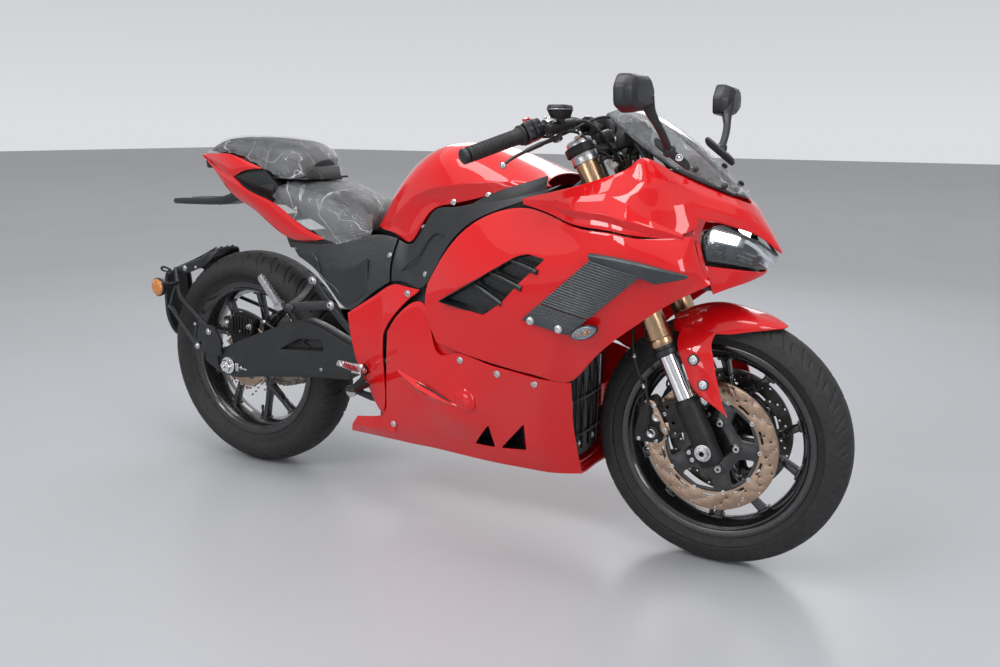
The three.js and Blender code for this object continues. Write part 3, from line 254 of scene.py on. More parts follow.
def fork(p):
    """Fork frame (forward, left, up the legs, from the front axle) to the bike's frame."""
    return (724 + p[0] * COS - p[2] * SIN, p[1], 293 + p[0] * SIN + p[2] * COS)


def forks(part):
    return moved(part, fork)


def unit(v):
    v = np.asarray(v, float)
    return v / max(1e-12, np.linalg.norm(v))


def cubic(points, t, s):
    """Natural cubic spline through points (n, ...) at t, read at s."""
    n = len(t)
    if n == 2:
        w = ((s - t[0]) / (t[1] - t[0])).reshape(-1, *[1] * (points.ndim - 1))
        return points[0] * (1 - w) + points[1] * w
    h = np.diff(t)
    a = np.eye(n)
    rhs = np.zeros_like(points)
    for i in range(1, n - 1):
        a[i, i - 1:i + 2] = h[i - 1], 2 * (h[i - 1] + h[i]), h[i]
        rhs[i] = 6 * ((points[i + 1] - points[i]) / h[i] - (points[i] - points[i - 1]) / h[i - 1])
    m = np.linalg.solve(a, rhs.reshape(n, -1)).reshape(points.shape)
    i = np.clip(np.searchsorted(t, s, side="right") - 1, 0, n - 2)
    shape = (-1, *[1] * (points.ndim - 1))
    hi, x = h[i].reshape(shape), (s - t[i]).reshape(shape)
    y = hi - x
    bend = (m[i] * y ** 3 + m[i + 1] * x ** 3) / (6 * hi)
    return bend + (points[i] / hi - m[i] * hi / 6) * y + (points[i + 1] / hi - m[i + 1] * hi / 6) * x


def refine(grid, step, sharp=()):
    """Resamples axis 0 of a grid of points at about step mm, with corners kept at the sharp rows."""
    grid = np.asarray(grid, float)
    gaps = np.linalg.norm(np.diff(grid, axis=0), axis=-1)
    gaps = np.maximum(gaps.reshape(len(grid) - 1, -1).mean(1), 1e-3)
    t = np.concatenate([[0], np.cumsum(gaps)])
    stops = [0, *sorted(k % len(grid) for k in sharp), len(grid) - 1]
    out = [grid[:1]]
    for a, b in zip(stops, stops[1:]):
        if b <= a:
            continue
        s = np.concatenate([np.linspace(t[k], t[k + 1], max(1, round(gaps[k] / step)) + 1)[1:]
            for k in range(a, b)])
        out.append(cubic(grid[a:b + 1], t[a:b + 1], s))
    return np.concatenate(out)


def surface(rows, step=8, sharp_rows=(), sharp_cols=()):
    fine = refine(rows, step, sharp_rows)
    return refine(fine.transpose(1, 0, 2), step, sharp_cols).transpose(1, 0, 2)


def grid_faces(m, n, ring=False):
    last = n if ring else n - 1
    return [[i * n + j, (i + 1) * n + j, (i + 1) * n + (j + 1) % n, i * n + (j + 1) % n]
        for i in range(m - 1) for j in range(last)]


def as_mesh(grid):
    return grid.reshape(-1, 3), grid_faces(*grid.shape[:2])


def curve(points, step=6):
    return refine(np.asarray(points, float)[:, None, :], step)[:, 0]


def axes_along(path):
    """A tangent and two square directions at each point of a path, without twist."""
    path = np.asarray(path, float)
    ways = [unit(path[min(i + 1, len(path) - 1)] - path[max(i - 1, 0)]) for i in range(len(path))]
    side = unit(np.cross([0, 0, 1] if abs(ways[0][2]) < 0.9 else [0, 1, 0], ways[0]))
    out = []
    for way in ways:
        side = unit(side - way * side.dot(way))
        out.append((way, side, np.cross(way, side)))
    return out


def sweep(path, section, grow=None, caps=True):
    """Solid with a closed 2D section carried along a path. grow scales it at each point."""
    path = np.asarray(path, float)
    section = np.asarray(section, float)
    n = len(section)
    verts = []
    for i, (p, (_, a, b)) in enumerate(zip(path, axes_along(path))):
        k = 1 if grow is None else grow[i]
        verts.extend(p + a * x * k + b * y * k for x, y in section)
    faces = grid_faces(len(path), n, ring=True)
    if caps:
        faces += [list(range(n))[::-1], [len(verts) - n + k for k in range(n)]]
    return verts, faces


def circle(r, n=16, squash=1.0):
    return [(r * math.cos(2 * math.pi * k / n), squash * r * math.sin(2 * math.pi * k / n)) for k in range(n)]


def tube(points, r, n=14, step=6):
    return sweep(curve(points, step), circle(r, n))


def bar(points, r, n=16):
    """Round bar with straight runs and short bends at its inner points."""
    points = [np.asarray(p, float) for p in points]
    path = [points[0]]
    for a, b, c in zip(points, points[1:], points[2:]):
        cutback = min(3 * r, 0.4 * np.linalg.norm(b - a), 0.4 * np.linalg.norm(c - b))
        p, q = b + unit(a - b) * cutback, b + unit(c - b) * cutback
        path += [(1 - t) ** 2 * p + 2 * t * (1 - t) * b + t * t * q for t in np.linspace(0, 1, 6)]
    path.append(points[-1])
    return sweep(path, circle(r, n))


def lathe(profile, a, way, n=32, closed=False):
    """Turned solid: profile is (radius, distance along way from a)."""
    a, way = np.asarray(a, float), unit(way)
    side = unit(np.cross([0, 0, 1] if abs(way[2]) < 0.9 else [0, 1, 0], way))
    other = np.cross(way, side)
    turn = [side * math.cos(2 * math.pi * k / n) + other * math.sin(2 * math.pi * k / n) for k in range(n)]
    verts, rings, faces = [], [], []
    for r, t in profile:
        if r < 1e-6:
            rings.append([len(verts)] * n)
            verts.append(a + way * t)
        else:
            rings.append(list(range(len(verts), len(verts) + n)))
            verts.extend(a + way * t + d * r for d in turn)
    pairs = list(zip(rings, rings[1:])) + ([(rings[-1], rings[0])] if closed else [])
    for low, high in pairs:
        for k in range(n):
            face = [low[k], low[(k + 1) % n], high[(k + 1) % n], high[k]]
            faces.append(list(dict.fromkeys(face)))
    if not closed:
        for ends, reverse in ((rings[0], True), (rings[-1], False)):
            if len(set(ends)) > 1:
                faces.append(ends[::-1] if reverse else list(ends))
    return verts, faces


def rod(a, b, r, n=24, r2=None):
    length = np.linalg.norm(np.asarray(b, float) - a)
    return lathe([(r, 0), (r if r2 is None else r2, length)], a, np.asarray(b, float) - a, n)


def block(center, size, ways=((1, 0, 0), (0, 1, 0), (0, 0, 1))):
    c = np.asarray(center, float)
    w = [np.asarray(v, float) * s / 2 for v, s in zip(ways, size)]
    verts = [c + w[0] * x + w[1] * y + w[2] * z for x in (-1, 1) for y in (-1, 1) for z in (-1, 1)]
    return verts, [[0, 1, 3, 2], [4, 6, 7, 5], [0, 4, 5, 1], [2, 3, 7, 6], [0, 2, 6, 4], [1, 5, 7, 3]]


def loft(rings, caps=True):
    """Solid through closed rings with the same number of points."""
    n = len(rings[0])
    verts = [tuple(p) for ring in rings for p in ring]
    faces = grid_faces(len(rings), n, ring=True)
    if caps:
        faces += [list(range(n))[::-1], [len(verts) - n + k for k in range(n)]]
    return verts, faces


def plate(outline, low, high, holes=(), place=lambda x, z, y: (x, y, z)):
    """Flat plate with holes. outline and holes are (x, z) loops; place puts (x, z, y) in the bike's frame."""
    bm = bmesh.new()
    edges = []
    for loop in (outline, *holes):
        ring = [bm.verts.new((p[0], p[1], 0)) for p in loop]
        edges += [bm.edges.new((ring[k], ring[(k + 1) % len(ring)])) for k in range(len(ring))]
    bmesh.ops.triangle_fill(bm, edges=edges, use_beauty=True)
    bm.verts.index_update()
    flat = [tuple(v.co) for v in bm.verts]
    tris = [[v.index for v in f.verts] for f in bm.faces]
    rim = [tuple(v.index for v in e.verts) for e in bm.edges if len(e.link_faces) == 1]
    bm.free()
    n = len(flat)
    verts = [place(p[0], p[1], low) for p in flat] + [place(p[0], p[1], high) for p in flat]
    faces = tris + [[i + n for i in reversed(f)] for f in tris] + [[a, b, b + n, a + n] for a, b in rim]
    return verts, faces


def disc_loop(x, z, r, n=20, start=0.0):
    return [(x + r * math.cos(start + 2 * math.pi * k / n), z + r * math.sin(start + 2 * math.pi * k / n))
        for k in range(n)]


def rounded(outline, r, n=4):
    """Outline with each corner turned by a short arc."""
    out = []
    count = len(outline)
    for k in range(count):
        a, b, c = (np.asarray(outline[(k + d) % count], float) for d in (-1, 0, 1))
        back = min(r, 0.42 * np.linalg.norm(a - b), 0.42 * np.linalg.norm(c - b))
        p, q = b + unit(a - b) * back, b + unit(c - b) * back
        out += [tuple((1 - t) ** 2 * p + 2 * t * (1 - t) * b + t * t * q) for t in np.linspace(0, 1, n)]
    return out


def flat_mesh(name, part):
    me = bpy.data.meshes.new(name)
    me.from_pydata([tuple(float(c) * MM for c in p) for p in part[0]], [], part[1])
    bm = bmesh.new()
    bm.from_mesh(me)
    bmesh.ops.remove_doubles(bm, verts=bm.verts, dist=1e-6)
    bmesh.ops.dissolve_degenerate(bm, edges=bm.edges, dist=1e-7)
    bmesh.ops.recalc_face_normals(bm, faces=bm.faces)
    bm.to_mesh(me)
    bm.free()
    return me


def bake(obj):
    """Applies the modifiers."""
    bpy.context.view_layer.update()
    made = bpy.data.meshes.new_from_object(obj.evaluated_get(bpy.context.evaluated_depsgraph_get()))
    obj.modifiers.clear()
    obj.data = made


def built(obj, wall, toward, cut, bevel, segments, limit, sub, shape):
    """Gives a surface its wall, cuts and bevels, applied to its mesh."""
    if wall:
        me = obj.data
        middle = Vector(toward) * MM
        away = sum((v.co - middle).dot(v.normal) for v in me.vertices)
        mod = obj.modifiers.new("wall", "SOLIDIFY")
        mod.thickness, mod.use_even_offset = wall * MM, False
        mod.offset = -1 if away > 0 else 1
    if cut:
        bake(obj)
        for tool in cut:
            other = bpy.data.objects.new("tool", flat_mesh("tool", tool))
            bpy.context.scene.collection.objects.link(other)
            mod = obj.modifiers.new("cut", "BOOLEAN")
            mod.object, mod.operation, mod.solver = other, "DIFFERENCE", "EXACT"
            bake(obj)
            bpy.data.objects.remove(other)
    if bevel:
        mod = obj.modifiers.new("bevel", "BEVEL")
        mod.width, mod.segments, mod.limit_method = bevel * MM, segments, "ANGLE"
        mod.angle_limit = math.radians(limit)
        mod.use_clamp_overlap = True
    if sub:
        mod = obj.modifiers.new("sub", "SUBSURF")
        mod.levels = mod.render_levels = sub
    if obj.modifiers:
        bake(obj)
    if shape:
        shape(obj)


def make(name, part, look, body, nodes=(), bevel=0.8, smooth=35, wall=0, toward=None, sub=0, cut=None,
    limit=32, segments=2, shape=None):
    """One visible piece, or with # in its name a right piece and its mirrored twin on the left."""
    pairs = SIDES if "#" in name else (("", 1),)
    made = []
    for side, sign in pairs:
        if sign < 0:
            obj = bpy.data.objects.new(name.replace("#", side), twin)
            twin.transform(Matrix.Diagonal((1, -1, 1, 1)))
            twin.flip_normals()
            bpy.context.scene.collection.objects.link(obj)
        else:
            obj = bpy.data.objects.new(name.replace("#", side), flat_mesh(name, part))
            bpy.context.scene.collection.objects.link(obj)
            built(obj, wall, toward, cut, bevel, segments, limit, sub, shape)
            twin = obj.data.copy() if len(pairs) > 1 else None
        obj.data.shade_smooth()
        obj.data.set_sharp_from_angle(angle=math.radians(smooth))
        mat, slot = MATS[look]
        obj.data.materials.clear()
        obj.data.materials.append(mat)
        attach(obj, body if isinstance(body, str) else body[0 if sign > 0 else 1])
        named = [n.replace("#", side) for n in nodes]
        if named:
            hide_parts(*named)
        made.append(obj)
    return made if len(made) > 1 else made[0]


def alloy(name, *parts, body="chassis"):
    """Screws, bolts and other small bare metal parts."""
    make(name, merge(*parts), "bare_alloy", body, bevel=0.3)


def screw(at, way, r=6.0, h=3.0, ring=True):
    """Domed socket screw, with a washer, its head standing h above at."""
    at, way = np.asarray(at, float), unit(way)
    parts = [lathe([(0, -2), (r * 0.8, -2), (r * 0.95, 0.4), (r, h * 0.55), (r * 0.8, h),
        (r * 0.42, h * 1.05), (r * 0.36, h * 0.2),
                    (0, h * 0.1)], at, way, 18)]
    if ring:
        parts.append(lathe([(0, -1.5), (r * 1.45, -1.5), (r * 1.5, 0.6), (r * 1.1, 0.9), (0, 0.9)], at, way,
            20))
    return merge(*parts)


# ------------------------------------------------------------------ bodywork
def mirrored(rows):
    """Rows from the centre plane out to the right edge, completed to the left edge."""
    return [[(x, -y, z) for x, y, z in reversed(row[1:])] + list(row) for row in rows]


def wrapped(rows):
    """Stations from the nose back along the right flank, completed round the nose."""
    return [[(x, -y, z) for x, y, z in row] for row in reversed(rows[1:])] + list(rows)


def skin(name, rows, look, body, nodes, toward, wall=4, step=8, sharp_rows=(), sharp_cols=(), cut=None,
    bevel=1.0, **more):
    grid = surface(rows, step, sharp_rows, sharp_cols)
    return make(name, as_mesh(grid), look, body, nodes, bevel=bevel, wall=wall, toward=toward, cut=cut,
        limit=40, smooth=28, **more)


def prism(outline, low, high):
    """Cutting block across the bike from an XZ outline."""
    return loft([[(x, low, z) for x, z in outline], [(x, high, z) for x, z in outline]])


TANK = mirrored([
    [(-206, 0, 737), (-202, -30, 735), (-192, -55, 734), (-180, -70, 732), (-165, -80, 730),
        (-150, -88, 729)],
    [(-166, 0, 805), (-160, -45, 797), (-140, -80, 780), (-125, -95, 760), (-110, -100, 740),
        (-95, -108, 718)],
    [(-100, 0, 885), (-95, -60, 868), (-75, -105, 835), (-62, -118, 800), (-55, -118, 760), (-43, -125, 710)],
    [(-13, 0, 937), (-8, -75, 925), (5, -125, 880), (5, -140, 835), (10, -132, 810), (20, -138, 785)],
    [(60, 0, 950), (60, -85, 940), (70, -140, 895), (75, -158, 850), (80, -150, 825), (88, -148, 808)],
    [(150, 0, 940), (150, -85, 930), (158, -140, 890), (165, -160, 860), (170, -155, 842), (180, -153, 829)],
    [(240, 0, 909), (240, -80, 902), (245, -130, 880), (250, -148, 866), (255, -150, 856), (265, -148, 847)],
    [(320, 0, 882), (320, -60, 878), (325, -95, 873), (328, -115, 868), (334, -126, 863), (345, -134, 859)],
])
skin("tank_shell", TANK, "gloss_red", "chassis", ["tank_cover"], (80, 0, 780), step=7, sharp_cols=(2, 8))

COWL = wrapped([
    [(837, 0, 728), (812, 0, 766), (786, 0, 801), (763, 0, 829)],
    [(804, -35, 758), (789, -40, 787), (772, -38, 815), (754, -24, 835)],
    [(765, -75, 780), (757, -80, 805), (747, -72, 830), (733, -50, 846)],
    [(720, -120, 797), (713, -122, 822), (700, -115, 848), (680, -98, 872)],
    [(697, -146, 797), (680, -150, 832), (657, -150, 872), (627, -137, 901)],
    [(676, -176, 774), (650, -182, 820), (615, -180, 875), (580, -163, 927)],
    [(603, -226, 769), (585, -213, 810), (565, -196, 862), (547, -172, 908)],
    [(530, -236, 778), (518, -222, 812), (508, -205, 850), (500, -178, 887)],
    [(446, -226, 785), (440, -216, 808), (434, -202, 838), (427, -183, 864)],
    [(380, -207, 803), (375, -202, 815), (370, -196, 832), (364, -184, 848)],
    [(300, -184, 819), (299, -183, 823), (297, -182, 827), (294, -180, 831)],
])
skin("cowl_shell", COWL, "gloss_red", "chassis", ["upper_cowl"], (560, 0, 760), step=7, sharp_rows=(6, 14),
    sharp_cols=(1, 2))
CHIN = wrapped([
    [(806, 0, 683), (803, 0, 680), (800, 0, 676)],
    [(788, -50, 689), (785, -51, 678), (781, -51, 666)],
    [(750, -97, 698), (753, -96, 677), (756, -94, 657)],
    [(710, -138, 706), (719, -134, 674), (728, -127, 645)],
])
skin("chin_shell", CHIN, "gloss_red", "chassis", (), (660, 0, 700), step=6)
CHEEK = [
    [(706, -134, 800), (684, -162, 790)],
    [(700, -146, 768), (690, -159, 768)],
    [(704, -144, 735), (700, -160, 735)],
    [(712, -136, 704), (706, -156, 712)],
    [(722, -130, 676), (715, -141, 684)],
]
skin("lamp_cheek_#", CHEEK, "gloss_red", "chassis", (), (640, 0, 740), wall=5, step=5)

FAIRING = [
    [(50, -196, 620), (46, -197, 600), (44, -199, 578), (47, -202, 554), (58, -206, 528), (84, -212, 484)],
    [(100, -197, 697), (104, -208, 655), (112, -218, 610), (122, -222, 565), (132, -222, 520),
        (142, -219, 471)],
    [(170, -192, 767), (180, -212, 715), (192, -232, 655), (205, -240, 600), (215, -236, 540),
        (225, -226, 458)],
    [(260, -184, 806), (272, -212, 750), (284, -240, 690), (296, -250, 625), (304, -246, 550),
        (310, -226, 446)],
    [(340, -192, 808), (350, -220, 755), (362, -246, 700), (374, -256, 630), (380, -250, 550),
        (372, -222, 438)],
    [(446, -225, 780), (450, -238, 745), (456, -254, 700), (458, -258, 640), (448, -245, 560),
        (433, -198, 431)],
    [(530, -235, 773), (535, -245, 745), (545, -254, 710), (548, -254, 665), (538, -242, 610),
        (508, -215, 508)],
    [(603, -226, 764), (612, -235, 742), (622, -240, 715), (628, -238, 690), (622, -230, 655),
        (600, -210, 586)],
    [(678, -179, 769), (684, -192, 748), (690, -202, 725), (696, -206, 705), (696, -204, 685),
        (680, -194, 642)],
    [(692, -164, 766), (696, -167, 750), (702, -169, 733), (710, -171, 714), (718, -170, 698),
        (734, -166, 672)],
]
VENT = [(105, 588), (313, 709), (340, 716), (389, 709), (335, 659), (284, 605), (230, 568), (170, 577)]
skin("fairing_shell_#", FAIRING, "gloss_red", "chassis", ["side_fairing_#"], (300, 0, 620), step=8,
     cut=[prism(rounded(VENT, 9), -320, -140)])

BELLY = mirrored([
    [(415, 0, 172), (417, -60, 172), (419, -90, 176), (419, -118, 240), (421, -150, 314), (427, -172, 369),
        (431, -190, 424)],
    [(353, 0, 168), (353, -75, 168), (353, -110, 172), (358, -145, 240), (364, -172, 310), (370, -196, 370),
        (374, -219, 431)],
    [(290, 0, 168), (290, -80, 168), (287, -118, 173), (292, -155, 238), (298, -182, 305), (304, -205, 372),
        (310, -224, 440)],
    [(220, 0, 170), (220, -85, 170), (220, -125, 175), (222, -160, 240), (223, -185, 300), (224, -210, 370),
        (225, -225, 452)],
    [(140, 0, 174), (140, -90, 174), (135, -130, 179), (140, -165, 240), (140, -205, 300), (141, -215, 370),
        (140, -217, 464)],
    [(43, 0, 178), (43, -90, 178), (43, -130, 183), (45, -165, 240), (50, -196, 310), (62, -210, 390),
        (75, -211, 478)],
    [(0, 0, 179), (0, -90, 179), (0, -131, 184), (2, -165, 240), (5, -192, 320), (15, -203, 430),
        (38, -198, 570)],
    [(-50, 0, 181), (-50, -90, 181), (-45, -131, 184), (-42, -163, 240), (-42, -184, 320), (-42, -192, 430),
        (-39, -187, 538)],
    [(-95, 0, 182), (-95, -90, 182), (-92, -130, 185), (-95, -160, 235), (-92, -174, 320), (-86, -181, 411),
        (-82, -181, 484)],
    [(-108, 0, 182), (-108, -90, 182), (-106, -130, 185), (-106, -157, 222), (-105, -160, 235),
        (-104, -161, 250), (-103, -162, 260)],
    [(-150, 0, 184), (-150, -90, 184), (-148, -130, 186), (-150, -152, 210), (-150, -156, 222),
        (-150, -157, 235), (-150, -157, 248)],
    [(-235, 0, 187), (-235, -90, 187), (-240, -130, 188), (-232, -140, 203), (-225, -145, 215),
        (-215, -148, 226), (-206, -150, 238)],
])
SLOTS = [[(213, 290), (159, 226), (216, 225)], [(308, 307), (231, 226), (301, 232)]]
skin("belly_shell", BELLY, "gloss_red", "chassis", ["belly_pan"], (150, 0, 380), step=8,
    sharp_rows=(8, 9, 10), sharp_cols=(4, 8),
     cut=[prism(rounded(s, 7), -300, -100) for s in SLOTS] + [prism(rounded(s, 7), 100, 300) for s in SLOTS])

COVER = [
    [(20, -187, 601), (14, -188, 594), (6, -188, 588), (-3, -188, 582), (-12, -188, 575)],
    [(-25, -177, 603), (-28, -180, 590), (-31, -183, 576), (-36, -186, 562), (-43, -188, 546)],
    [(-72, -168, 603), (-76, -173, 575), (-82, -178, 545), (-86, -181, 515), (-90, -182, 488)],
    [(-120, -166, 576), (-115, -171, 530), (-110, -177, 480), (-104, -179, 430), (-98, -179, 400)],
    [(-160, -164, 552), (-152, -169, 500), (-144, -173, 440), (-130, -172, 370), (-112, -166, 268)],
    [(-190, -163, 534), (-182, -167, 490), (-175, -168, 440), (-162, -167, 375), (-143, -163, 300)],
    [(-221, -161, 515), (-214, -164, 480), (-206, -166, 445), (-190, -166, 392), (-170, -166, 368)],
]
skin("heel_cover_#", COVER, "gloss_red", "chassis", ["rear_side_cover_#"], (-100, 0, 450), wall=3, step=7,
    sharp_cols=(2,),
     cut=[prism(disc_loop(-168, 372, 15.5, 20), -300, -100)])

SIDE = [
    [(-456, -113, 679), (-450, -114, 679), (-445, -115, 677), (-440, -116, 675)],
    [(-400, -123, 681), (-398, -124, 675), (-396, -126, 665), (-394, -128, 652)],
    [(-304, -134, 685), (-304, -140, 655), (-304, -145, 622), (-302, -148, 590)],
    [(-224, -128, 702), (-224, -140, 650), (-224, -150, 590), (-225, -158, 526)],
    [(-150, -118, 718), (-150, -135, 670), (-152, -150, 620), (-155, -158, 565)],
    [(-90, -120, 712), (-90, -140, 680), (-90, -154, 645), (-86, -164, 608)],
    [(-40, -130, 703), (-38, -146, 672), (-34, -160, 640), (-28, -173, 612)],
    [(26, -144, 779), (24, -158, 720), (26, -172, 660), (32, -188, 609)],
    [(92, -154, 801), (92, -166, 765), (90, -180, 725), (86, -191, 688)],
    [(188, -159, 822), (182, -168, 805), (176, -178, 789), (167, -186, 773)],
    [(276, -154, 841), (275, -161, 833), (273, -168, 825), (270, -176, 817)],
    [(340, -143, 853), (338, -148, 849), (336, -153, 846), (334, -158, 842)],
    [(368, -134, 863), (368, -136, 862), (367, -138, 861), (366, -141, 859)],
]
skin("seat_cover_#", SIDE[:6], "dotted_black", "chassis", ["side_panel_#"], (0, 0, 680), wall=3, step=7)
front_side = refine(SIDE, 7)
front_side = front_side[np.array([row[:, 0].mean() > -86 for row in front_side])]
make("tank_side_#", as_mesh(refine(front_side.transpose(1, 0, 2), 7).transpose(1, 0, 2)), "panel_black",
    "chassis", bevel=1.0, wall=3,
     toward=(0, 0, 680), limit=40, smooth=28)

# Long moulded louvre beside the vent, with fine ribs square to its top edge.


def bilinear(corners, u, v):
    a, b, c, d = (np.asarray(p, float) for p in corners)
    return (a * (1 - u) + b * u) * (1 - v) + (d * (1 - u) + c * u) * v


RIB_BULGE = 3.0      # mm that the ribbed panel stands out at its middle


def ribbed(corners, count, across_n, depth):
    """Sheet between four corners with ribs that run from its first side to its third."""
    steps = count * 6
    normal = unit(np.cross(np.subtract(corners[1], corners[0]), np.subtract(corners[3], corners[0])))
    normal = normal if normal[1] < 0 else -normal
    rows = []
    for i in range(steps + 1):
        v = i / steps
        rib = abs(((v * count) % 1) - 0.5) * 2
        lift = depth * (1 - rib ** 3)
        rows.append([bilinear(corners, u, v) + normal * (lift + RIB_BULGE * math.sin(math.pi * u))
            for u in np.linspace(0, 1, across_n)])
    return np.array(rows)


LOUVRE = [(338, -259, 572), (452, -259, 549), (613, -260, 690), (501, -265, 716)]
middle = [bilinear(LOUVRE, u, v) for u, v in ((0, 0.285), (1, 0.285), (1, 1.0), (0, 1.0))]
foot = [bilinear(LOUVRE, u, v) for u, v in ((0, 0), (1, 0), (1, 0.13), (0, 0.13))]
ribs_low = [bilinear(LOUVRE, u, v) for u, v in ((0, 0.13), (1, 0.13), (1, 0.275), (0, 0.275))]
make("wing_ribs_#", as_mesh(ribbed(middle, 21, 26, 1.1)), "trim_grey", "chassis", ["wing_panel_#"], bevel=0,
    wall=3.5, toward=(480, 0, 650), smooth=50)
make("wing_ribs_low_#", as_mesh(ribbed(ribs_low, 6, 26, 1.1)), "trim_grey", "chassis", bevel=0, wall=3.5,
    toward=(480, 0, 650), smooth=50)
make("wing_foot_#", as_mesh(ribbed(foot, 1, 26, 0.3)), "trim_grey", "chassis", bevel=0.8, wall=4,
    toward=(480, 0, 650))
strip = loft([
    [(501, -263, 711), (497, -269, 727), (500, -260, 733), (505, -256, 726), (505, -257, 712)],
    [(557, -264, 699), (553, -270, 722), (556, -260, 728), (560, -256, 718), (560, -257, 701)],
    [(613, -261, 687), (610, -264, 713), (613, -254, 719), (617, -250, 708), (616, -254, 689)],
    [(641, -250, 675), (640, -252, 706), (643, -243, 711), (646, -240, 700), (645, -244, 676)],
    [(698, -217, 688), (699, -218, 694), (700, -214, 695), (698, -212, 691), (697, -214, 687)],
])
make("wing_edge_#", strip, "trim_grey", "chassis", bevel=1.6, segments=3, limit=20)
alloy("wing_screws_#", screw((363, -263, 573), (0.1, -1, 0), 6, 3),
    screw((432, -264, 562), (0.1, -1, 0), 6, 3))

# Vent: dark box behind the opening, and three raked fins with round front edges.
vent_back = []
for y, grow in ((-236, 1.02), (-206, 0.93)):
    cx, cz = 258, 640
    vent_back.append([(cx + (x - cx) * grow, y, cz + (z - cz) * grow) for x, z in rounded(VENT, 9)])
make("vent_box_#", (loft(vent_back, caps=False)[0],
    loft(vent_back, caps=False)[1] + [[len(vent_back[0]) + k for k in range(len(vent_back[0]))]]),
     "fin_black_and_groove_shade", "chassis", bevel=0, wall=2, toward=(258, -400, 640))
fins = []
for a, b, r in (((196, -228, 637), (284, -248, 599), 6), ((243, -232, 666), (336, -254, 640), 6),
    ((300, -236, 697), (374, -256, 680), 5.5)):
    a, b = np.array(a, float), np.array(b, float)
    blade_section = [(6 * math.cos(t), 6 * math.sin(t))
        for t in np.linspace(-math.pi / 2, math.pi / 2, 7)] + [(-22, 3), (-30, 0), (-22, -3)]
    path = [a + (b - a) * t for t in np.linspace(0, 1, 8)]
    grow = [0.55, 0.75, 0.9, 1, 1, 1, 1, 1]
    way = unit(b - a)
    out = np.array([0.0, -1.0, 0.0])
    deep = unit(-out - way * way.dot(-out))
    side = np.cross(way, deep)
    verts = [p + deep * -x * g * 0.9 + side * y * g for p, g in zip(path, grow) for x, y in blade_section]
    n = len(blade_section)
    fins.append((verts, grid_faces(len(path), n, ring=True) + [list(range(n))[::-1],
        [len(verts) - n + k for k in range(n)]]))
make("vent_fins_#", merge(*fins), "fin_black_and_groove_shade", "chassis", bevel=0.8, segments=2)

FENDER = mirrored([
    [(860, 0, 569), (856, -15, 567), (849, -26, 566), (836, -36, 564)],
    [(821, 0, 588), (818, -27, 585), (810, -51, 575), (795, -64, 560)],
    [(767, 0, 601), (765, -35, 596), (761, -62, 580), (752, -78, 553)],
    [(713, 0, 608), (713, -38, 602), (712, -68, 583), (711, -90, 552)],
    [(659, 0, 598), (660, -38, 592), (662, -68, 574), (666, -88, 548)],
    [(614, 0, 579), (615, -30, 575), (617, -52, 562), (620, -62, 545)],
])
skin("fender_crown", FENDER, "gloss_red", "fork_lower", ["front_fender"], (724, 0, 300), step=6,
    sharp_cols=(2, 4), bevel=1.2)
FENDER_BLADE = [
    [(650, -86, 560), (667, -87, 559), (687, -88, 558), (709, -89, 557), (727, -88, 556)],
    [(645, -101, 533), (664, -105, 532), (685, -107, 531), (706, -106, 531), (722, -102, 532)],
    [(655, -115, 506), (672, -118, 505), (692, -120, 504), (713, -118, 503), (731, -112, 503)],
    [(669, -119, 478), (684, -122, 477), (703, -124, 476), (722, -122, 475), (738, -116, 474)],
    [(682, -123, 451), (697, -125, 449), (714, -126, 446), (731, -123, 443), (748, -118, 440)],
    [(703, -124, 424), (714, -126, 421), (727, -126, 417), (741, -124, 413), (757, -119, 409)],
    [(742, -122, 401), (747, -123, 397), (754, -123, 392), (762, -122, 387), (772, -120, 378)],
]
skin("fender_side_#", FENDER_BLADE, "gloss_red", "fork_lower", (), (700, 0, 460), step=5, sharp_cols=(2,),
    bevel=1.2)
alloy("fender_bolts_#", screw((690, -123, 497), (0, -1, 0.1), 6.5, 3.5),
    screw((715, -126, 445), (0, -1, 0.1), 6.5, 3.5), body="fork_lower")
make("fender_washers_#", merge(*[lathe([(7, -1), (13, -1), (12.5, 1.6), (8, 2.2), (7, 1)], p, (0, -1, 0.1),
    28, closed=True)
                                 for p in ((690, -121.5, 497), (715, -124.5, 445))]), "satin_black",
                                 "fork_lower", bevel=0.3)

# Tail: red blade each side, forked towards the front, with a dark triangle in the fork.


tail_lower = [
    [(-834, -34, 901), (-834, -35, 898)],
    [(-745, -70, 868), (-767, -60, 857)],
    [(-664, -97, 847), (-677, -87, 797)],
    [(-603, -112, 815), (-600, -98, 764)],
    [(-491, -122, 780), (-500, -112, 712)],
    [(-401, -130, 732), (-430, -120, 688)],
    [(-312, -136, 699), (-346, -130, 690)],
]
tail_upper = [
    [(-834, -34, 903), (-834, -35, 900)],
    [(-755, -66, 906), (-745, -70, 868)],
    [(-670, -89, 906), (-664, -97, 847)],
    [(-608, -98, 890), (-617, -102, 863)],
    [(-546, -106, 874), (-546, -106, 870)],
]


def bowed(rows, lift, n=5):
    out = []
    for a, b in rows:
        a, b = np.array(a, float), np.array(b, float)
        out.append([a + (b - a) * t + np.array([0, -lift * math.sin(math.pi * t), 0])
            for t in np.linspace(0, 1, n)])
    return out


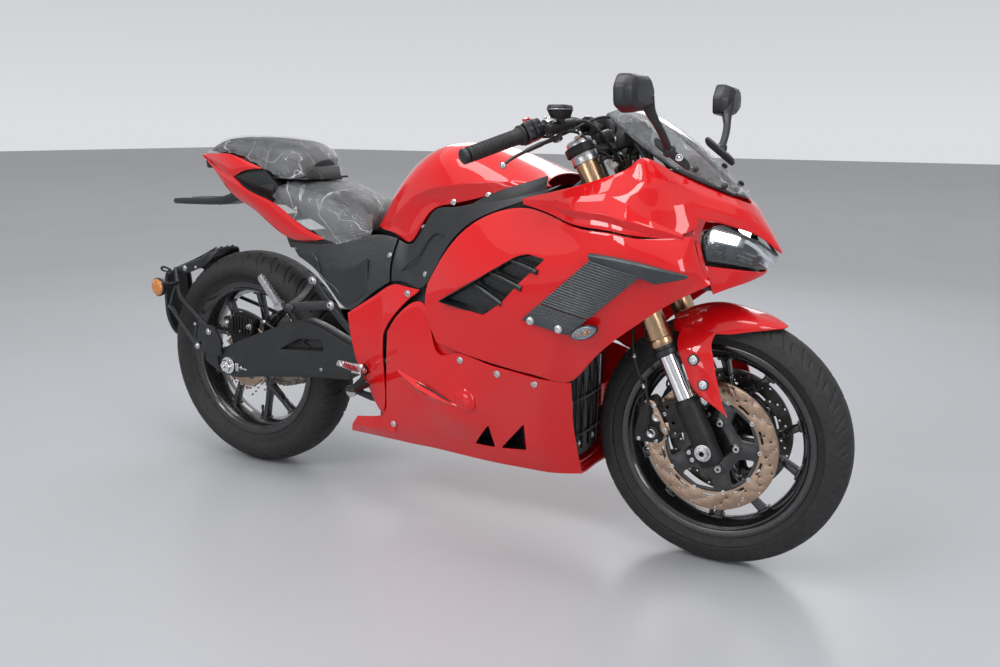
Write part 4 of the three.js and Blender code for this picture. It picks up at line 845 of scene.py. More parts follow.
skin("tail_blade_#", bowed(tail_lower, 5), "gloss_red", "chassis", ["tail_cowl"], (-600, 0, 800), step=6,
    bevel=1.0)
skin("tail_shoulder_#", bowed(tail_upper, 5), "gloss_red", "chassis", (), (-600, 0, 880), step=6, bevel=1.0)
make("tail_point", loft([[(-838, y, z) for y, z in ((-28, 903), (-31, 899), (-26, 893), (26, 893), (31, 899),
    (28, 903))],
                         [(-816, y, z) for y, z in ((-42, 905), (-44, 899), (-38, 889), (38, 889), (44, 899),
                             (42, 905))]]),
     "gloss_red", "chassis", bevel=2, segments=3)
make("tail_inset_#", loft([[(-664, y, 846), (-606, y, 816), (-500, y + 10, 786), (-470, y, 800),
    (-548, y, 868), (-617, y, 862)] for y in (-94, -70)]),
     "panel_black", "chassis", bevel=1.5)


# ------------------------------------------------------------------ wheels
FRONT = dict(x=724, z=293, r=293, half=55.5, rim=38, bead=214, barrel=188, hub=64, body="front_wheel",
    name="front", phase=0.3)
REAR = dict(x=-672, z=314, r=314, half=70.5, rim=46, bead=216, barrel=190, hub=63, body="rear_wheel",
    name="rear", phase=0.3)


def spin(part, wheel):
    return moved(part, lambda p: (p[0] + wheel["x"], p[1], p[2] + wheel["z"]))


def tyre(w, around=900):
    side = w["half"]
    half = [(w["r"], 0), (w["r"] - 0.6, side * 0.24), (w["r"] - 6, side * 0.55), (w["r"] - 17, side * 0.80),
        (w["r"] - 33, side * 0.955),
            (w["r"] - 48, side), ((w["r"] + w["bead"]) / 2 - 8, side * 0.975),
            (w["bead"] + 20, w["rim"] + 6), (w["bead"] + 11, w["rim"] + 2)]
    fine = curve([(r, y, 0) for r, y in half], 2.2)
    arc = np.concatenate([[0], np.cumsum(np.linalg.norm(np.diff(fine, axis=0), axis=1))])
    profile = np.concatenate([fine[::-1], (fine * [1, -1, 1])[1:]])
    lateral = np.concatenate([arc[::-1], -arc[1:]])
    reach = side * 1.12
    pitch_count = 34
    theta = np.arange(around) * 2 * math.pi / around
    along = theta * pitch_count / (2 * math.pi)
    radius = np.repeat(profile[None, :, 0], around, 0)
    for sign, shift in ((1, 0.0), (-1, 0.5)):
        t = np.clip((lateral * sign - 0.16 * reach) / (0.84 * reach), -0.2, 1.2)
        for first, bend, low, high, wide in ((0.0, 0.62, 0.02, 1.0, 0.060), (0.46, 0.42, 0.30, 0.86, 0.045)):
            line = first + shift + bend * np.clip(t, 0, 1) ** 1.5
            gap = np.abs(((along[:, None] - line[None, :] + 0.5) % 1) - 0.5)
            open_ = wide * np.clip((t - low) * 5, 0, 1) * np.clip((high - t) * 5, 0, 1)
            inside = (lateral * sign > 0)[None, :] & (open_ > 0.004)[None, :]
            depth = 3.4 * np.clip(1.5 - gap / np.maximum(open_[None, :], 1e-3), 0, 1)
            radius = radius - np.where(inside, np.minimum(depth, 3.4), 0)
    rings = ((np.abs(lateral) > side * 1.22) & (np.abs(np.sin(lateral * 0.42)) > 0.985)).astype(float)
    grid = np.stack([radius * np.sin(theta)[:, None],
        np.repeat((profile[:, 1] + 0.5 * rings * np.sign(profile[:, 1]))[None], around, 0),
                     radius * np.cos(theta)[:, None]], axis=-1)
    verts = grid.reshape(-1, 3)
    n = grid.shape[1]
    faces = [[i * n + j, ((i + 1) % around) * n + j, ((i + 1) % around) * n + j + 1, i * n + j + 1]
        for i in range(around) for j in range(n - 1)]
    inner = [(w["bead"] + 3, -w["rim"] + 2), (w["bead"] + 3, w["rim"] - 2)]
    start = len(verts)
    verts = np.concatenate([verts, [(r * math.sin(a), y, r * math.cos(a)) for a in theta for r, y in inner]])
    for i in range(around):
        k = (i + 1) % around
        low_i, high_i = start + 2 * i, start + 2 * k
        faces += [[low_i, high_i, high_i + 1, low_i + 1],
                  [i * n, low_i + 1, high_i + 1, k * n],
                  [i * n + n - 1, k * n + n - 1, high_i, low_i]]
    return verts, faces


def spoke(a, b, width, depth, n=8, pinch=0.0):
    """Rounded-rectangle bar in the wheel's plane from a to b, with (start, end) widths and depths."""
    a, b = np.asarray(a, float), np.asarray(b, float)
    way = unit(b - a)
    side = np.array([-way[1], way[0]])
    rings = []
    for t in np.linspace(0, 1, n):
        p = a + (b - a) * t
        w = (width[0] * (1 - t) + width[1] * t) / 2 * (1 - pinch * math.sin(math.pi * t))
        d = (depth[0] * (1 - t) + depth[1] * t) / 2
        c = 0.35 * min(w, d)
        section = [(w - c, -d), (w, -d + c), (w, d - c), (w - c, d), (-w + c, d), (-w, d - c), (-w, -d + c),
            (-w + c, -d)]
        rings.append([(p[0] + side[0] * x, y, p[1] + side[1] * x) for x, y in section])
    return loft(rings)


def polar(r, angle):
    return (r * math.sin(angle), r * math.cos(angle))


def rim(w):
    half, bead, barrel = w["rim"], w["bead"], w["barrel"]
    side = [(barrel + 9, 0), (barrel + 10, half * 0.45), (bead - 2, half - 12), (bead + 0.8, half - 6),
        (bead + 0.8, half - 0.6),
            (bead + 9, half + 0.4), (bead + 12.4, half + 2.2), (bead + 12, half + 5), (bead + 5, half + 5.2),
            (bead - 3, half + 3.6),
            (bead - 7, half - 1), (bead - 11, half - 2.2), (bead - 15, half - 9), (barrel + 3, half * 0.42),
            (barrel, 0)]
    profile = side + [(r, -y) for r, y in side[-2:0:-1]]
    return lathe(profile, (0, 0, 0), (0, 1, 0), 128, closed=True)


def wheel(w):
    spokes = []
    for k in range(5):
        a = w["phase"] + k * 2 * math.pi / 5
        spokes.append(spoke(polar(30, a), polar(98, a), (34, 25), (30, 25), pinch=0.12))
        for b in (-0.3, 0.3):
            mid = polar(150, a + b * 0.74)
            spokes.append(spoke(polar(92, a + b * 0.06), mid, (20, 15), (25, 22), pinch=0.05))
            spokes.append(spoke(mid, polar(w["barrel"] + 6, a + b), (15, 19), (22, 26)))
        lip = [spoke(polar(w["barrel"] + 2, a + b - 0.07), polar(w["barrel"] + 2, a + b + 0.07), (10, 10),
            (30, 30), n=3) for b in (-0.3, 0.3)]
        spokes += lip
    hub = lathe([(12, -w["hub"]), (26, -w["hub"]), (30, -w["hub"] + 4), (31, -w["hub"] + 12), (37, -18),
        (38, 0), (37, 18),
                 (31, w["hub"] - 12), (30, w["hub"] - 4), (26, w["hub"]), (12, w["hub"])], (0, 0, 0),
                 (0, 1, 0), 48, closed=True)
    name = w["name"]
    make(f"{name}_wheel_rim", spin(rim(w), w), "wheel_black", w["body"], [f"{name}_rim"], bevel=0.6,
        smooth=50, limit=25)
    make(f"{name}_wheel_spokes", spin(merge(*spokes), w), "wheel_black", w["body"], bevel=1.6, segments=3,
        limit=25)
    make(f"{name}_wheel_hub", spin(hub, w), "wheel_black", w["body"], bevel=1.0)
    make(f"{name}_tyre_tread", spin(tyre(w), w), "tyre_rubber", w["body"], [f"{name}_tyre"], bevel=0,
        smooth=38)
    a = w["phase"] + 2.9
    foot = np.array([polar(w["barrel"], a)[0], 0, polar(w["barrel"], a)[1]])
    make(f"{name}_valve", spin(merge(lathe([(0, 0), (5.5, 0), (5, 8), (3.2, 12), (3.2, 26), (0, 26)], foot,
        -foot, 16),
                                     lathe([(0, 24), (4.4, 24), (4.4, 33), (3.4, 35), (0, 35)], foot, -foot,
                                         12)), w), "hose_rubber", w["body"], bevel=0.3)


wheel(FRONT)
wheel(REAR)


def brake_disc(name, w, y, outer, inner, slots, groups, look, carrier, nodes, body, bolt_r, face=-1):
    """Drilled band on a dark carrier. face is the side of the bike that it looks to."""
    holes = []
    for k in range(slots):
        a = 2 * math.pi * k / slots
        arc = [polar(inner + 10.5, a + t) for t in np.linspace(-0.13, 0.13, 7)] + [polar(inner + 5, a - t)
            for t in np.linspace(-0.13, 0.13, 7)]
        holes.append(arc)
    for k in range(groups):
        for j, r in enumerate((0.36, 0.62, 0.86)):
            a = 2 * math.pi * (k + 0.3 * j + 0.12) / groups
            c = polar(inner + (outer - inner) * r, a)
            holes.append(disc_loop(*c, 2.7, 10))
    band = plate(disc_loop(0, 0, outer, 128), y - 2.4, y + 2.4, [disc_loop(0, 0, inner, 96), *holes])
    make(f"{name}_band", spin(band, w), look, body, nodes, bevel=0.35, limit=50)
    windows = []
    for k in range(5):
        a = w["phase"] + 0.63 + 2 * math.pi * k / 5
        windows.append(rounded([polar(inner * 0.93, a - 0.42), polar(inner * 0.95, a),
            polar(inner * 0.93, a + 0.42), polar(inner * 0.64, a + 0.30),
                                polar(inner * 0.60, a), polar(inner * 0.64, a - 0.30)], 8))
    ring = plate(disc_loop(0, 0, inner + 2, 96), y + face * -1.6 - 1.8, y + face * -1.6 + 1.8,
        [disc_loop(0, 0, 22, 32), *windows])
    pins = [lathe([(2, -3.4), (5.2, -3.4), (5.2, 3.4), (2, 3.4)],
        (polar(inner + 1.5, 2 * math.pi * (k + 0.5) / 10)[0], y,
            polar(inner + 1.5, 2 * math.pi * (k + 0.5) / 10)[1]),
                  (0, 1, 0), 14, closed=True) for k in range(10)]
    make(f"{name}_carrier", spin(ring, w), carrier, body, bevel=0.6, limit=50)
    make(f"{name}_floating_pins", spin(merge(*pins), w), "bare_alloy", body, bevel=0.3)
    pads, bolts = [], []
    for k in range(5):
        x, z = polar(bolt_r, w["phase"] + 2 * math.pi * k / 5)
        pads.append(lathe([(0, -8), (14, -8), (13.5, 2.5), (12, 3.4), (0, 3.4)], (x, y, z), (0, face, 0), 24))
        bolts.append(lathe([(0, 1), (7.6, 1), (7.6, 3.7), (6.8, 4.6), (4.2, 4.6), (3.6, 2.6), (0, 2.4)],
            (x, y, z), (0, face, 0), 18))
    make(f"{name}_bolt_pads", spin(merge(*pads), w), carrier, body, bevel=0.4)
    make(f"{name}_bolts", spin(merge(*bolts), w), "bare_alloy", body, bevel=0.3)


brake_disc("front_disc_near", FRONT, -66.8, 150, 108, 10, 16, "disc_steel", "wheel_black",
    ["front_disc_right"], "front_wheel", 56, -1)
# The far front disc takes the darker steel: painted shade on its inner face.
brake_disc("front_disc_far", FRONT, 66.8, 150, 108, 10, 16, "dark_steel_and_shaded_disc", "wheel_black", ["front_disc_left"],
    "front_wheel", 56, 1)
brake_disc("rear_disc_plate", REAR, -65.7, 108, 76, 8, 12, "disc_steel", "wheel_black", ["rear_disc"],
    "rear_wheel", 44, -1)


def sprocket(pitch, teeth, bore, windows, w, y=87.0):
    outline = []
    for k in range(teeth):
        for t, r in ((-0.5, -5.2), (-0.34, -3.6), (-0.2, 2.6), (-0.1, 4.8), (0.1, 4.8), (0.2, 2.6),
            (0.34, -3.6)):
            outline.append(polar(pitch + r, 2 * math.pi * (k + t) / teeth))
    holes = [disc_loop(0, 0, bore, 32)]
    for k in range(windows):
        a = 2 * math.pi * (k + 0.5) / windows
        holes.append(rounded([polar(pitch * 0.80, a - 0.34), polar(pitch * 0.82, a),
            polar(pitch * 0.80, a + 0.34), polar(pitch * 0.52, a + 0.26), polar(pitch * 0.52, a - 0.26)], 6))
    return spin(plate(outline, y - 3.2, y + 3.2, holes), w)


SHAFT = dict(x=-112, z=400)
make("rear_chainring", sprocket(106.2, 42, 30, 6, REAR), "chain_steel", "rear_wheel", ["rear_sprocket"],
    bevel=0.5, limit=50)
make("rear_chainring_nuts", merge(*[spin(lathe([(0, 0), (7.5, 0), (7.5, 6), (5, 7.5), (0, 7.5)],
    (polar(44, a)[0], 90, polar(44, a)[1]), (0, 1, 0), 6), REAR)
                                    for a in np.arange(6) * math.pi / 3]), "bare_alloy", "rear_wheel",
                                    bevel=0.4)
make("rear_cush_hub", spin(lathe([(18, 64), (60, 64), (62, 68), (62, 80), (58, 83.2), (30, 83.2), (26, 86),
    (18, 86)], (0, 0, 0), (0, 1, 0), 64, closed=True), REAR),
     "cast_black", "rear_wheel", bevel=0.8)
make("motor_pinion", sprocket(35.7, 14, 9, 0, SHAFT), "chain_steel", "output_shaft", ["motor_sprocket"],
    bevel=0.4, limit=50)
make("motor_pinion_nut", spin(lathe([(8.4, 90.4), (18, 90.4), (18, 91.5), (15, 97), (8.4, 97)], (0, 0, 0),
    (0, 1, 0), 6, closed=True), SHAFT), "bare_alloy", "output_shaft", bevel=0.5)


def chain_path(grow=0.0):
    a, b = np.array([-112.0, 400.0]), np.array([-672.0, 314.0])
    way = b - a
    lean, length = math.atan2(way[1], way[0]), np.linalg.norm(way)
    wrap = math.acos((35.7 - 106.2) / length)
    points = [a + (35.7 + grow) * np.array([math.cos(t), math.sin(t)])
        for t in np.linspace(lean + wrap, lean + 2 * math.pi - wrap, 30)]
    points += [b + (106.2 + grow) * np.array([math.cos(t), math.sin(t)])
        for t in np.linspace(lean - wrap, lean + wrap, 60)]
    return np.array(points + [points[0]])


loop = chain_path()
run = np.concatenate([[0], np.cumsum(np.linalg.norm(np.diff(loop, axis=0), axis=1))])
LINKS = 2 * round(run[-1] / 15.875 / 2)
stops = np.array([[np.interp(s, run, loop[:, 0]), np.interp(s, run, loop[:, 1])]
    for s in np.arange(LINKS) * run[-1] / LINKS])
links, pins = [], []
for k in range(LINKS):
    p, q = stops[k], stops[(k + 1) % LINKS]
    way = (q - p) / np.linalg.norm(q - p)
    side = np.array([-way[1], way[0]])
    mid = (p + q) / 2
    bean = [tuple(p + 6.6 * (math.cos(t) * -way + math.sin(t) * side))
        for t in np.linspace(-math.pi / 2, math.pi / 2, 6)]
    bean += [tuple(mid + side * 4.6)] + [tuple(q + 6.6 * (math.cos(t) * way + math.sin(t) * side))
        for t in np.linspace(math.pi / 2, -math.pi / 2, 6)]
    bean += [tuple(mid - side * 4.6)]
    ys = ((80.4, 82.0), (92.0, 93.6)) if k % 2 else ((82.2, 83.7), (90.3, 91.8))
    links += [loft([[(x, y, z) for x, z in bean] for y in pair]) for pair in ys]
    pins.append(lathe([(0, -6.7), (2.3, -6.7), (2.3, 6.7), (0, 6.7)], (p[0], 87, p[1]), (0, 1, 0), 10))
make("chain_plates", merge(*links), "chain_steel", "rear_arm", ["drive_chain"], bevel=0)
make("chain_pins", merge(*pins), "dark_steel_and_shaded_disc", "rear_arm", bevel=0)


# ------------------------------------------------------------------ fork and front axle
FORK_Y = -100


def leg(profile, n=40):
    """Turned part along the right fork leg: profile is (radius, height in the fork frame)."""
    return forks(lathe(profile, (0, FORK_Y, 0), (0, 0, 1), n))


def collar(profile, n=40):
    return forks(lathe(profile, (0, FORK_Y, 0), (0, 0, 1), n, closed=True))


make("fork_slider_#", leg([(0, 100), (20.5, 100), (20.5, 598), (0, 598)], 48), "chrome", "fork_lower",
    ["fork_leg_#"], bevel=0)
ribs = [(28.5 - (1.6 if k % 2 else 0), 40 + 6.5 * k) for k in range(11)]
make("fork_casting_#", merge(
    leg([(0, -36), (21, -36), (26, -32), (28, -24), (28, 34), *ribs, (27, 112), (24, 121), (21.2, 123),
        (0, 123)]),
    forks(block((-30, -99.5, 0), (28, 37, 34))),
    forks(plate(rounded([(-66, 62), (-60, 132), (-22, 126), (-16, 56), (-40, 50)], 8), -96, -82,
        [disc_loop(-52, 78, 4, 12), disc_loop(-50, 116, 4, 12)],
                lambda x, z, y: (x, y, z))),
    forks(plate(rounded([(16, 84), (44, 90), (44, 116), (16, 122)], 6), -94, -82, (), lambda x, z,
        y: (x, y, z)))),
    "cast_black", "fork_lower", bevel=1.0, segments=2)
alloy("pinch_bolts_#", forks(merge(screw((-34, -118, 9), (0, -1, 0), 6, 3, False),
    screw((-34, -118, -9), (0, -1, 0), 6, 3, False),
                                  screw((34, -95, 103), (0, -1, 0), 6.5, 3))), body="fork_lower")
make("front_axle_pin", merge(
    spin(lathe([(6, -139), (10, -139), (10, 139), (6, 139)], (0, 0, 0), (0, 1, 0), 32, closed=True), FRONT),
    spin(lathe([(10.2, -141), (15, -141), (15, -131), (10.2, -131)], (0, 0, 0), (0, 1, 0), 6, closed=True),
        FRONT),
    spin(lathe([(10.2, 131), (15, 131), (15, 141), (10.2, 141)], (0, 0, 0), (0, 1, 0), 6, closed=True),
        FRONT),
    spin(lathe([(10.2, -131), (19, -131), (19, -128.5), (10.2, -128.5)], (0, 0, 0), (0, 1, 0), 32,
        closed=True), FRONT),
    spin(lathe([(10.2, 128.5), (19, 128.5), (19, 131), (10.2, 131)], (0, 0, 0), (0, 1, 0), 32, closed=True),
        FRONT)),
    "bare_alloy", "fork_lower", ["front_axle"], bevel=0.6)

make("fork_tube_#", merge(collar([(21.4, 250), (26.9, 250), (26.9, 560), (26.9, 712), (26.9, 731),
    (21.4, 731)], 56)),
     "gold_anodised", "steering", ["fork_tube_#"], bevel=0.6)
make("fork_seal_#", merge(collar([(21.0, 226), (25, 226), (27.6, 229), (27.6, 240), (25.6, 243), (25.6, 252),
    (21.0, 252)], 48)),
     "satin_black", "steering", bevel=0.5)
make("fork_collar_#", collar([(27.0, 252), (29.0, 253), (29.0, 266), (27.0, 268)], 48), "gold_anodised",
    "steering", bevel=0.5)
make("fork_cap_#", merge(leg([(0, 728), (29, 728), (29.6, 732), (29.6, 741), (26, 745), (14, 746), (0, 746)],
    48),
                         collar([(27.2, 690), (31.5, 690), (31.5, 711), (27.2, 711)], 48)), "bare_alloy",
                         "steering", bevel=0.8)
make("fork_adjuster_#", merge(leg([(0, 745), (9, 745), (9, 750), (7.5, 752), (0, 752)], 6),
    leg([(0, 751), (4, 751), (4, 755), (0, 755)], 16)),
     "gold_anodised", "steering", bevel=0.4)


def clamp_plate(z0, z1, grow=0.0):
    """Triple clamp: a waisted plate round both legs and the steering stem."""
    half = [(20, -52), (31, -88), (34, -104), (32, -120), (20, -134), (0, -138), (-18, -134), (-32, -120),
        (-37, -98), (-42, -72), (-60, -34), (-62, 0)]
    loop = [(x + grow * np.sign(x), y) for x, y in half] + [(x + grow * np.sign(x), -y) for x,
        y in reversed(half[:-1])]
    holes = [disc_loop(0, s * 100, 27.3, 40) for s in (-1, 1)] + [disc_loop(-35, 0, 15.5, 28)]
    holes += [rounded([(-8, s * 30), (12, s * 34), (10, s * 62), (-18, s * 58)], 6) for s in (-1, 1)]
    return plate(loop, z0, z1, holes, lambda x, y, z: fork((x, y, z)))


make("yoke_upper", clamp_plate(712.5, 731.5), "cast_black", "steering", ["steering_yokes"], bevel=2.2,
    segments=3)
make("yoke_lower", merge(clamp_plate(560.5, 591.5), forks(block((24, 0, 575), (16, 28, 22)))), "cast_black",
    "steering", bevel=2.2, segments=3)
make("steering_stem", forks(merge(lathe([(0, 560), (15.4, 560), (15.4, 733), (0, 733)], (-35, 0, 0),
    (0, 0, 1), 32),
                                  lathe([(8, 731.6), (22, 731.6), (22, 739), (19, 741.5), (8, 741.5)],
                                      (-35, 0, 0), (0, 0, 1), 8, closed=True))),
     "bare_alloy", "steering", bevel=0.8)
alloy("yoke_pinch_bolts_#", forks(merge(*[screw((36, -106, z), (1, -0.15, 0), 5.5, 3, False)
    for z in (569, 583, 722)])), body="steering")

# ------------------------------------------------------------------ handlebar and controls
GRIP_END, GRIP_IN = np.array([-138.0, -370, 776]), np.array([-54.0, -240, 785])
grip_way = unit(GRIP_IN - GRIP_END)
GRIP_LONG = float(np.linalg.norm(GRIP_IN - GRIP_END))


def along_grip(t):
    return GRIP_END + grip_way * t


def on_grip(profile, n=36, closed=True):
    """Turned part round the bar: profile is (radius, distance from the bar's end)."""
    return forks(lathe(profile, GRIP_END, grip_way, n, closed=closed))


bar_line = [along_grip(2), along_grip(GRIP_LONG), (-25, -200, 787), (6, -150, 789), (13, -100, 784),
    (11, -52, 772), (10, 0, 770)]
bar_line += [(p[0], -p[1], p[2]) for p in reversed(bar_line[:-1])]
make("handlebar_tube", forks(bar(bar_line, 11, 24)), "satin_black", "steering", ["handlebar"], bevel=0)
make("bar_clamps_#", forks(merge(
    lathe([(0, 728), (13, 728), (15, 733), (15, 756), (0, 756)], (10, -45, 0), (0, 0, 1), 24),
    plate(rounded([(-10, 750), (30, 750), (30, 788), (22, 793), (-2, 793), (-10, 788)], 7), -58, -32,
        [disc_loop(10, 771, 11.2, 28)], lambda x, z, y: (x, y, z)))),
    "cast_black", "steering", bevel=1.4, segments=3)
alloy("bar_clamp_bolts_#", forks(merge(*[screw((x, y, 791), (0, 0, 1), 5, 4, False) for x in (-1, 21)
    for y in (-52, -38)])), body="steering")
make("bar_end_#", on_grip([(0, -0.5), (13, -0.5), (16.5, 2), (17, 5), (17, 10.5), (14.5, 12), (14.5, 13.5),
    (11.4, 14.2), (0, 14.2)], closed=False), "satin_black", "steering", bevel=0.5)


def grip_sleeve(first, last):
    """Rubber grip with raised bands, grooves and an inner flange."""
    profile = [(11.9, first), (16.0, first), (17.0, first + 2)]
    t = first + 4
    while t < last - 34:
        profile += [(17.0, t), (17.0, t + 5.4), (15.6, t + 6.2), (15.6, t + 7.8), (17.0, t + 8.6)]
        t += 8.6
    profile += [(17.0, last - 22), (18.2, last - 14), (18.2, last - 8), (22, last - 6.5), (22, last - 1),
        (18, last), (11.9, last)]
    return on_grip(profile)


make("grip_right", grip_sleeve(15, GRIP_LONG), "grip_rubber", "throttle", ["throttle_grip"], bevel=0.4)
left = grip_sleeve(15, GRIP_LONG + 1)
make("grip_left", ([(p[0], -p[1], p[2]) for p in left[0]], left[1]), "grip_rubber", "steering", bevel=0.4)

GU = unit(np.cross(grip_way, (0, 0, 1)))      # square to the grip, level
GV = unit(np.cross(GU, grip_way))             # square to the grip, up


def by_grip(t, a, b):
    return along_grip(t) + GU * a + GV * b


def pod(t0, t1, width, height, r=9):
    loop = rounded([(-width, -height), (width, -height), (width, height), (-width, height)], r, 5)
    return forks(loft([[by_grip(t, a * k, b * k) for a, b in loop] for t,
        k in ((t0, 0.9), (t0 + 3, 1), (t1 - 3, 1), (t1, 0.88))]))


make("switch_case_#", merge(pod(GRIP_LONG + 3, GRIP_LONG + 24, 22, 22),
    pod(GRIP_LONG + 25, GRIP_LONG + 45, 21, 21)), "satin_black", "steering", bevel=1.2, segments=3)
make("switch_buttons_#", forks(merge(*[lathe([(0, -2), (r, -2), (r, 2.5), (r - 1, 3.4), (0, 3.4)],
    by_grip(t, a * 21.5, b * 21.5), GU * a + GV * b, 20)
                                       for t, a, b, r in ((GRIP_LONG + 35, 0, 1, 5), (GRIP_LONG + 14, 1, 0,
                                           4.5), (GRIP_LONG + 35, 1, 0, 4))])),
     "trim_grey", "steering", bevel=0.4)
make("switch_screws_#", forks(merge(*[screw(by_grip(t, -21, 10), -GU, 3, 1.5, False)
    for t in (GRIP_LONG + 12, GRIP_LONG + 35)])), "bare_alloy", "steering", bevel=0)
stop_low, stop_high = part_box("kill_switch")
middle = (np.array(stop_low) + np.array(stop_high)) * 500
way = np.array([*fork(grip_way)]) - np.array(fork((0, 0, 0)))
side = unit(np.cross(way, (0, 0, 1)))
top = unit(np.cross(side, way))
rocker = []
for t in np.linspace(-6.5, 6.5, 9):
    lift = 3.2 - 1.6 * math.cos(t / 6.5 * 1.4)
    rocker.append([middle + way * t + side * a + top * b for a,
        b in ((-5.5, -3.4), (5.5, -3.4), (5.5, lift - 0.6), (4.6, lift), (-4.6, lift), (-5.5, lift - 0.6))])
make("stop_rocker", loft(rocker), "switch_red", "stop_switch", ["kill_switch"], bevel=0.5)

# Master cylinder, its cornered reservoir, and the lever on its clamp.
make("master_body", forks(merge(
    rod((12, -236, 768), (26, -156, 773), 12, 32), rod((8, -246, 767.3), (12, -232, 768), 9, 24, 12),
    lathe([(0, 0), (8, 0), (8, 6), (6, 8), (0, 8)], (27, -150, 773.3), (0.17, 0.98, 0.06), 6),
    loft([[(x, y, z) for x, y in rounded([(-16, -218), (20, -212), (22, -190), (-14, -180)], 6, 4)]
        for z in (758, 778)]))),
    "cast_black", "steering", ["master_cylinder"], bevel=1.4, segments=3)
make("bar_bracket", forks(merge(lathe([(11.4, -10), (17, -10), (17, 10), (11.4, 10)], (-14, -184, 787),
    unit(np.subtract((6, -150, 789), (-25, -200, 787))), 28, closed=True),
                                block((4, -190, 779), (26, 18, 12)))), "bare_alloy", "steering", bevel=1.2)
alloy("bracket_bolts", forks(merge(screw((-14, -184, 804), (0, 0, 1), 4.5, 4, False),
    screw((-30, -190, 788), (-1, 0, 0), 4.5, 3, False))), body="steering")


def in_level(dx, dy, dz):
    """Reservoir's level frame, about its centre in the fork frame."""
    return np.array(fork((34, -208, 799))) + np.array([dx, dy, dz])


def tray(levels):
    loop = [(-22, -20), (-10, -29), (14, -29), (23, -18), (23, 20), (14, 29), (-12, 29), (-22, 18)]
    return loft([[in_level(x * k + s, y * k, z) for x, y in rounded(loop, 4, 3)] for z, k, s in levels])


make("reservoir_pot", tray([(-17, 0.66, 2), (-16, 0.74, 2), (0, 0.97, 0), (2.5, 1.0, 0)]), "cast_black",
    "steering", bevel=0.8)
make("reservoir_lid", tray([(3, 1.0, 0), (5, 1.0, 0), (10.5, 0.9, 0), (12, 0.84, 0)]), "satin_black",
    "steering", bevel=0.7)
alloy("reservoir_edge", tray([(1.8, 1.02, 0), (3.4, 1.02, 0)]), body="steering")
make("reservoir_screws", merge(*[screw(in_level(x, y, 11.5), (0, 0, 1), 3, 1.2, False) for x,
    y in ((-13, -17), (-13, 17), (14, -17), (14, 17))]),
     "bare_alloy", "steering", bevel=0)
make("reservoir_neck", forks(rod((22, -203, 772), (31, -206, 792), 9, 24)), "hose_rubber", "steering",
    bevel=1)

lever_path = curve([(3, -205, 750), (-6, -222, 749), (-24, -252, 746), (-46, -290, 740), (-62, -325, 732),
    (-70, -341, 726)], 5)
spread = np.linspace(0, 1, len(lever_path))
make("lever_blade", forks(merge(
    sweep(lever_path, circle(6.2, 20, 0.62), grow=[1.25 - 0.5 * t + (0.28 if 0.25 < t < 0.55 else 0)
        for t in spread]),
    lathe([(0, 743), (10, 743), (11, 745), (11, 753), (10, 755), (0, 755)], (3, -205, 0), (0, 0, 1), 28))),
    "satin_black", "front_lever", ["brake_lever"], bevel=0.4)
make("lever_tip", forks(lathe([(0, -7), (4, -6.4), (6.4, -3.6), (7.2, 0), (6.4, 3.6), (4, 6.4), (0, 7)],
    (-71, -343, 725), (0, 0, 1), 24)), "bare_alloy", "front_lever", bevel=0)
alloy("lever_pivot_bolt", forks(merge(lathe([(0, 754), (6.5, 754), (6.5, 760), (5.5, 761), (0, 761)],
    (3, -205, 0), (0, 0, 1), 6),
                                     rod((3, -205, 741), (3, -205, 744), 5, 16))), body="front_lever")

# ------------------------------------------------------------------ brake hoses
hose_top = forks(tube([(28.6, -153, 775), (44, -136, 770), (56, -104, 738), (56, -66, 680), (50, -30, 630),
    (37, -6, 604), (33, 0, 587)], 4, 14, 6))
make("brake_hose_upper", hose_top, "hose_rubber", "steering", ["front_brake_hose"], bevel=0)
make("hose_joint", forks(merge(block((33, 0, 583), (14, 26, 12)), rod((33, -20, 583), (33, 20, 583), 5, 6),
    rod((33, 0, 586), (33, 0, 598), 5.4, 16),
                               lathe([(0, 600), (5, 600), (6, 604), (5, 612), (0, 612)], (34.5, -2.4, 0),
                                   (0, 0, 1), 6))), "bare_alloy", "steering", bevel=0.5)
for name, sign in SIDES:
    route = [(33, -18, 583), (40, -34, 572), (44, -56, 536), (22, -70, 470), (-20, -74, 390),
        (-62, -76, 310), (-84, -80, 250), (-88, -86, 200), (-84, -94, 172)]
    hose = make(f"caliper_hose_{name}", forks(tube([(x, y * sign, z) for x, y, z in route], 3.8, 14, 8)),
        "hose_rubber", "steering", bevel=0)
    hose.parent = None
    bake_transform(hose)
make("caliper_pipe_#", forks(merge(tube([(-84, -94, 176), (-86, -100, 166), (-100, -101, 160),
    (-112, -97, 152), (-114, -92, 142)], 2.6, 12, 5),
                                   tube([(-70, -97, 196), (-78, -104, 170), (-96, -106, 120),
                                       (-112, -102, 80), (-104, -94, 64)], 2.4, 12, 5))),
     "hose_rubber", "fork_lower", bevel=0)
alloy("hose_clips_#", forks(merge(*[lathe([(3.9, -5), (5.4, -5), (5.4, 5), (3.9, 5)], at, way, 20,
    closed=True)
                                   for at, way in (((-84, -80, 250), (-0.2, -0.3, -1)),
                                       ((-86, -92, 178), (0.2, -0.3, -1)))])), body="fork_lower")

# ------------------------------------------------------------------ front calipers


def polar_loop(r0, r1, a0, a1, n=7):
    a = np.radians(np.linspace(a0, a1, n))
    return [(r1 * math.cos(t), r1 * math.sin(t)) for t in a] + [(r0 * math.cos(t), r0 * math.sin(t))
        for t in a[::-1]]


def upright(x, z, y):
    return fork((x, y, z))


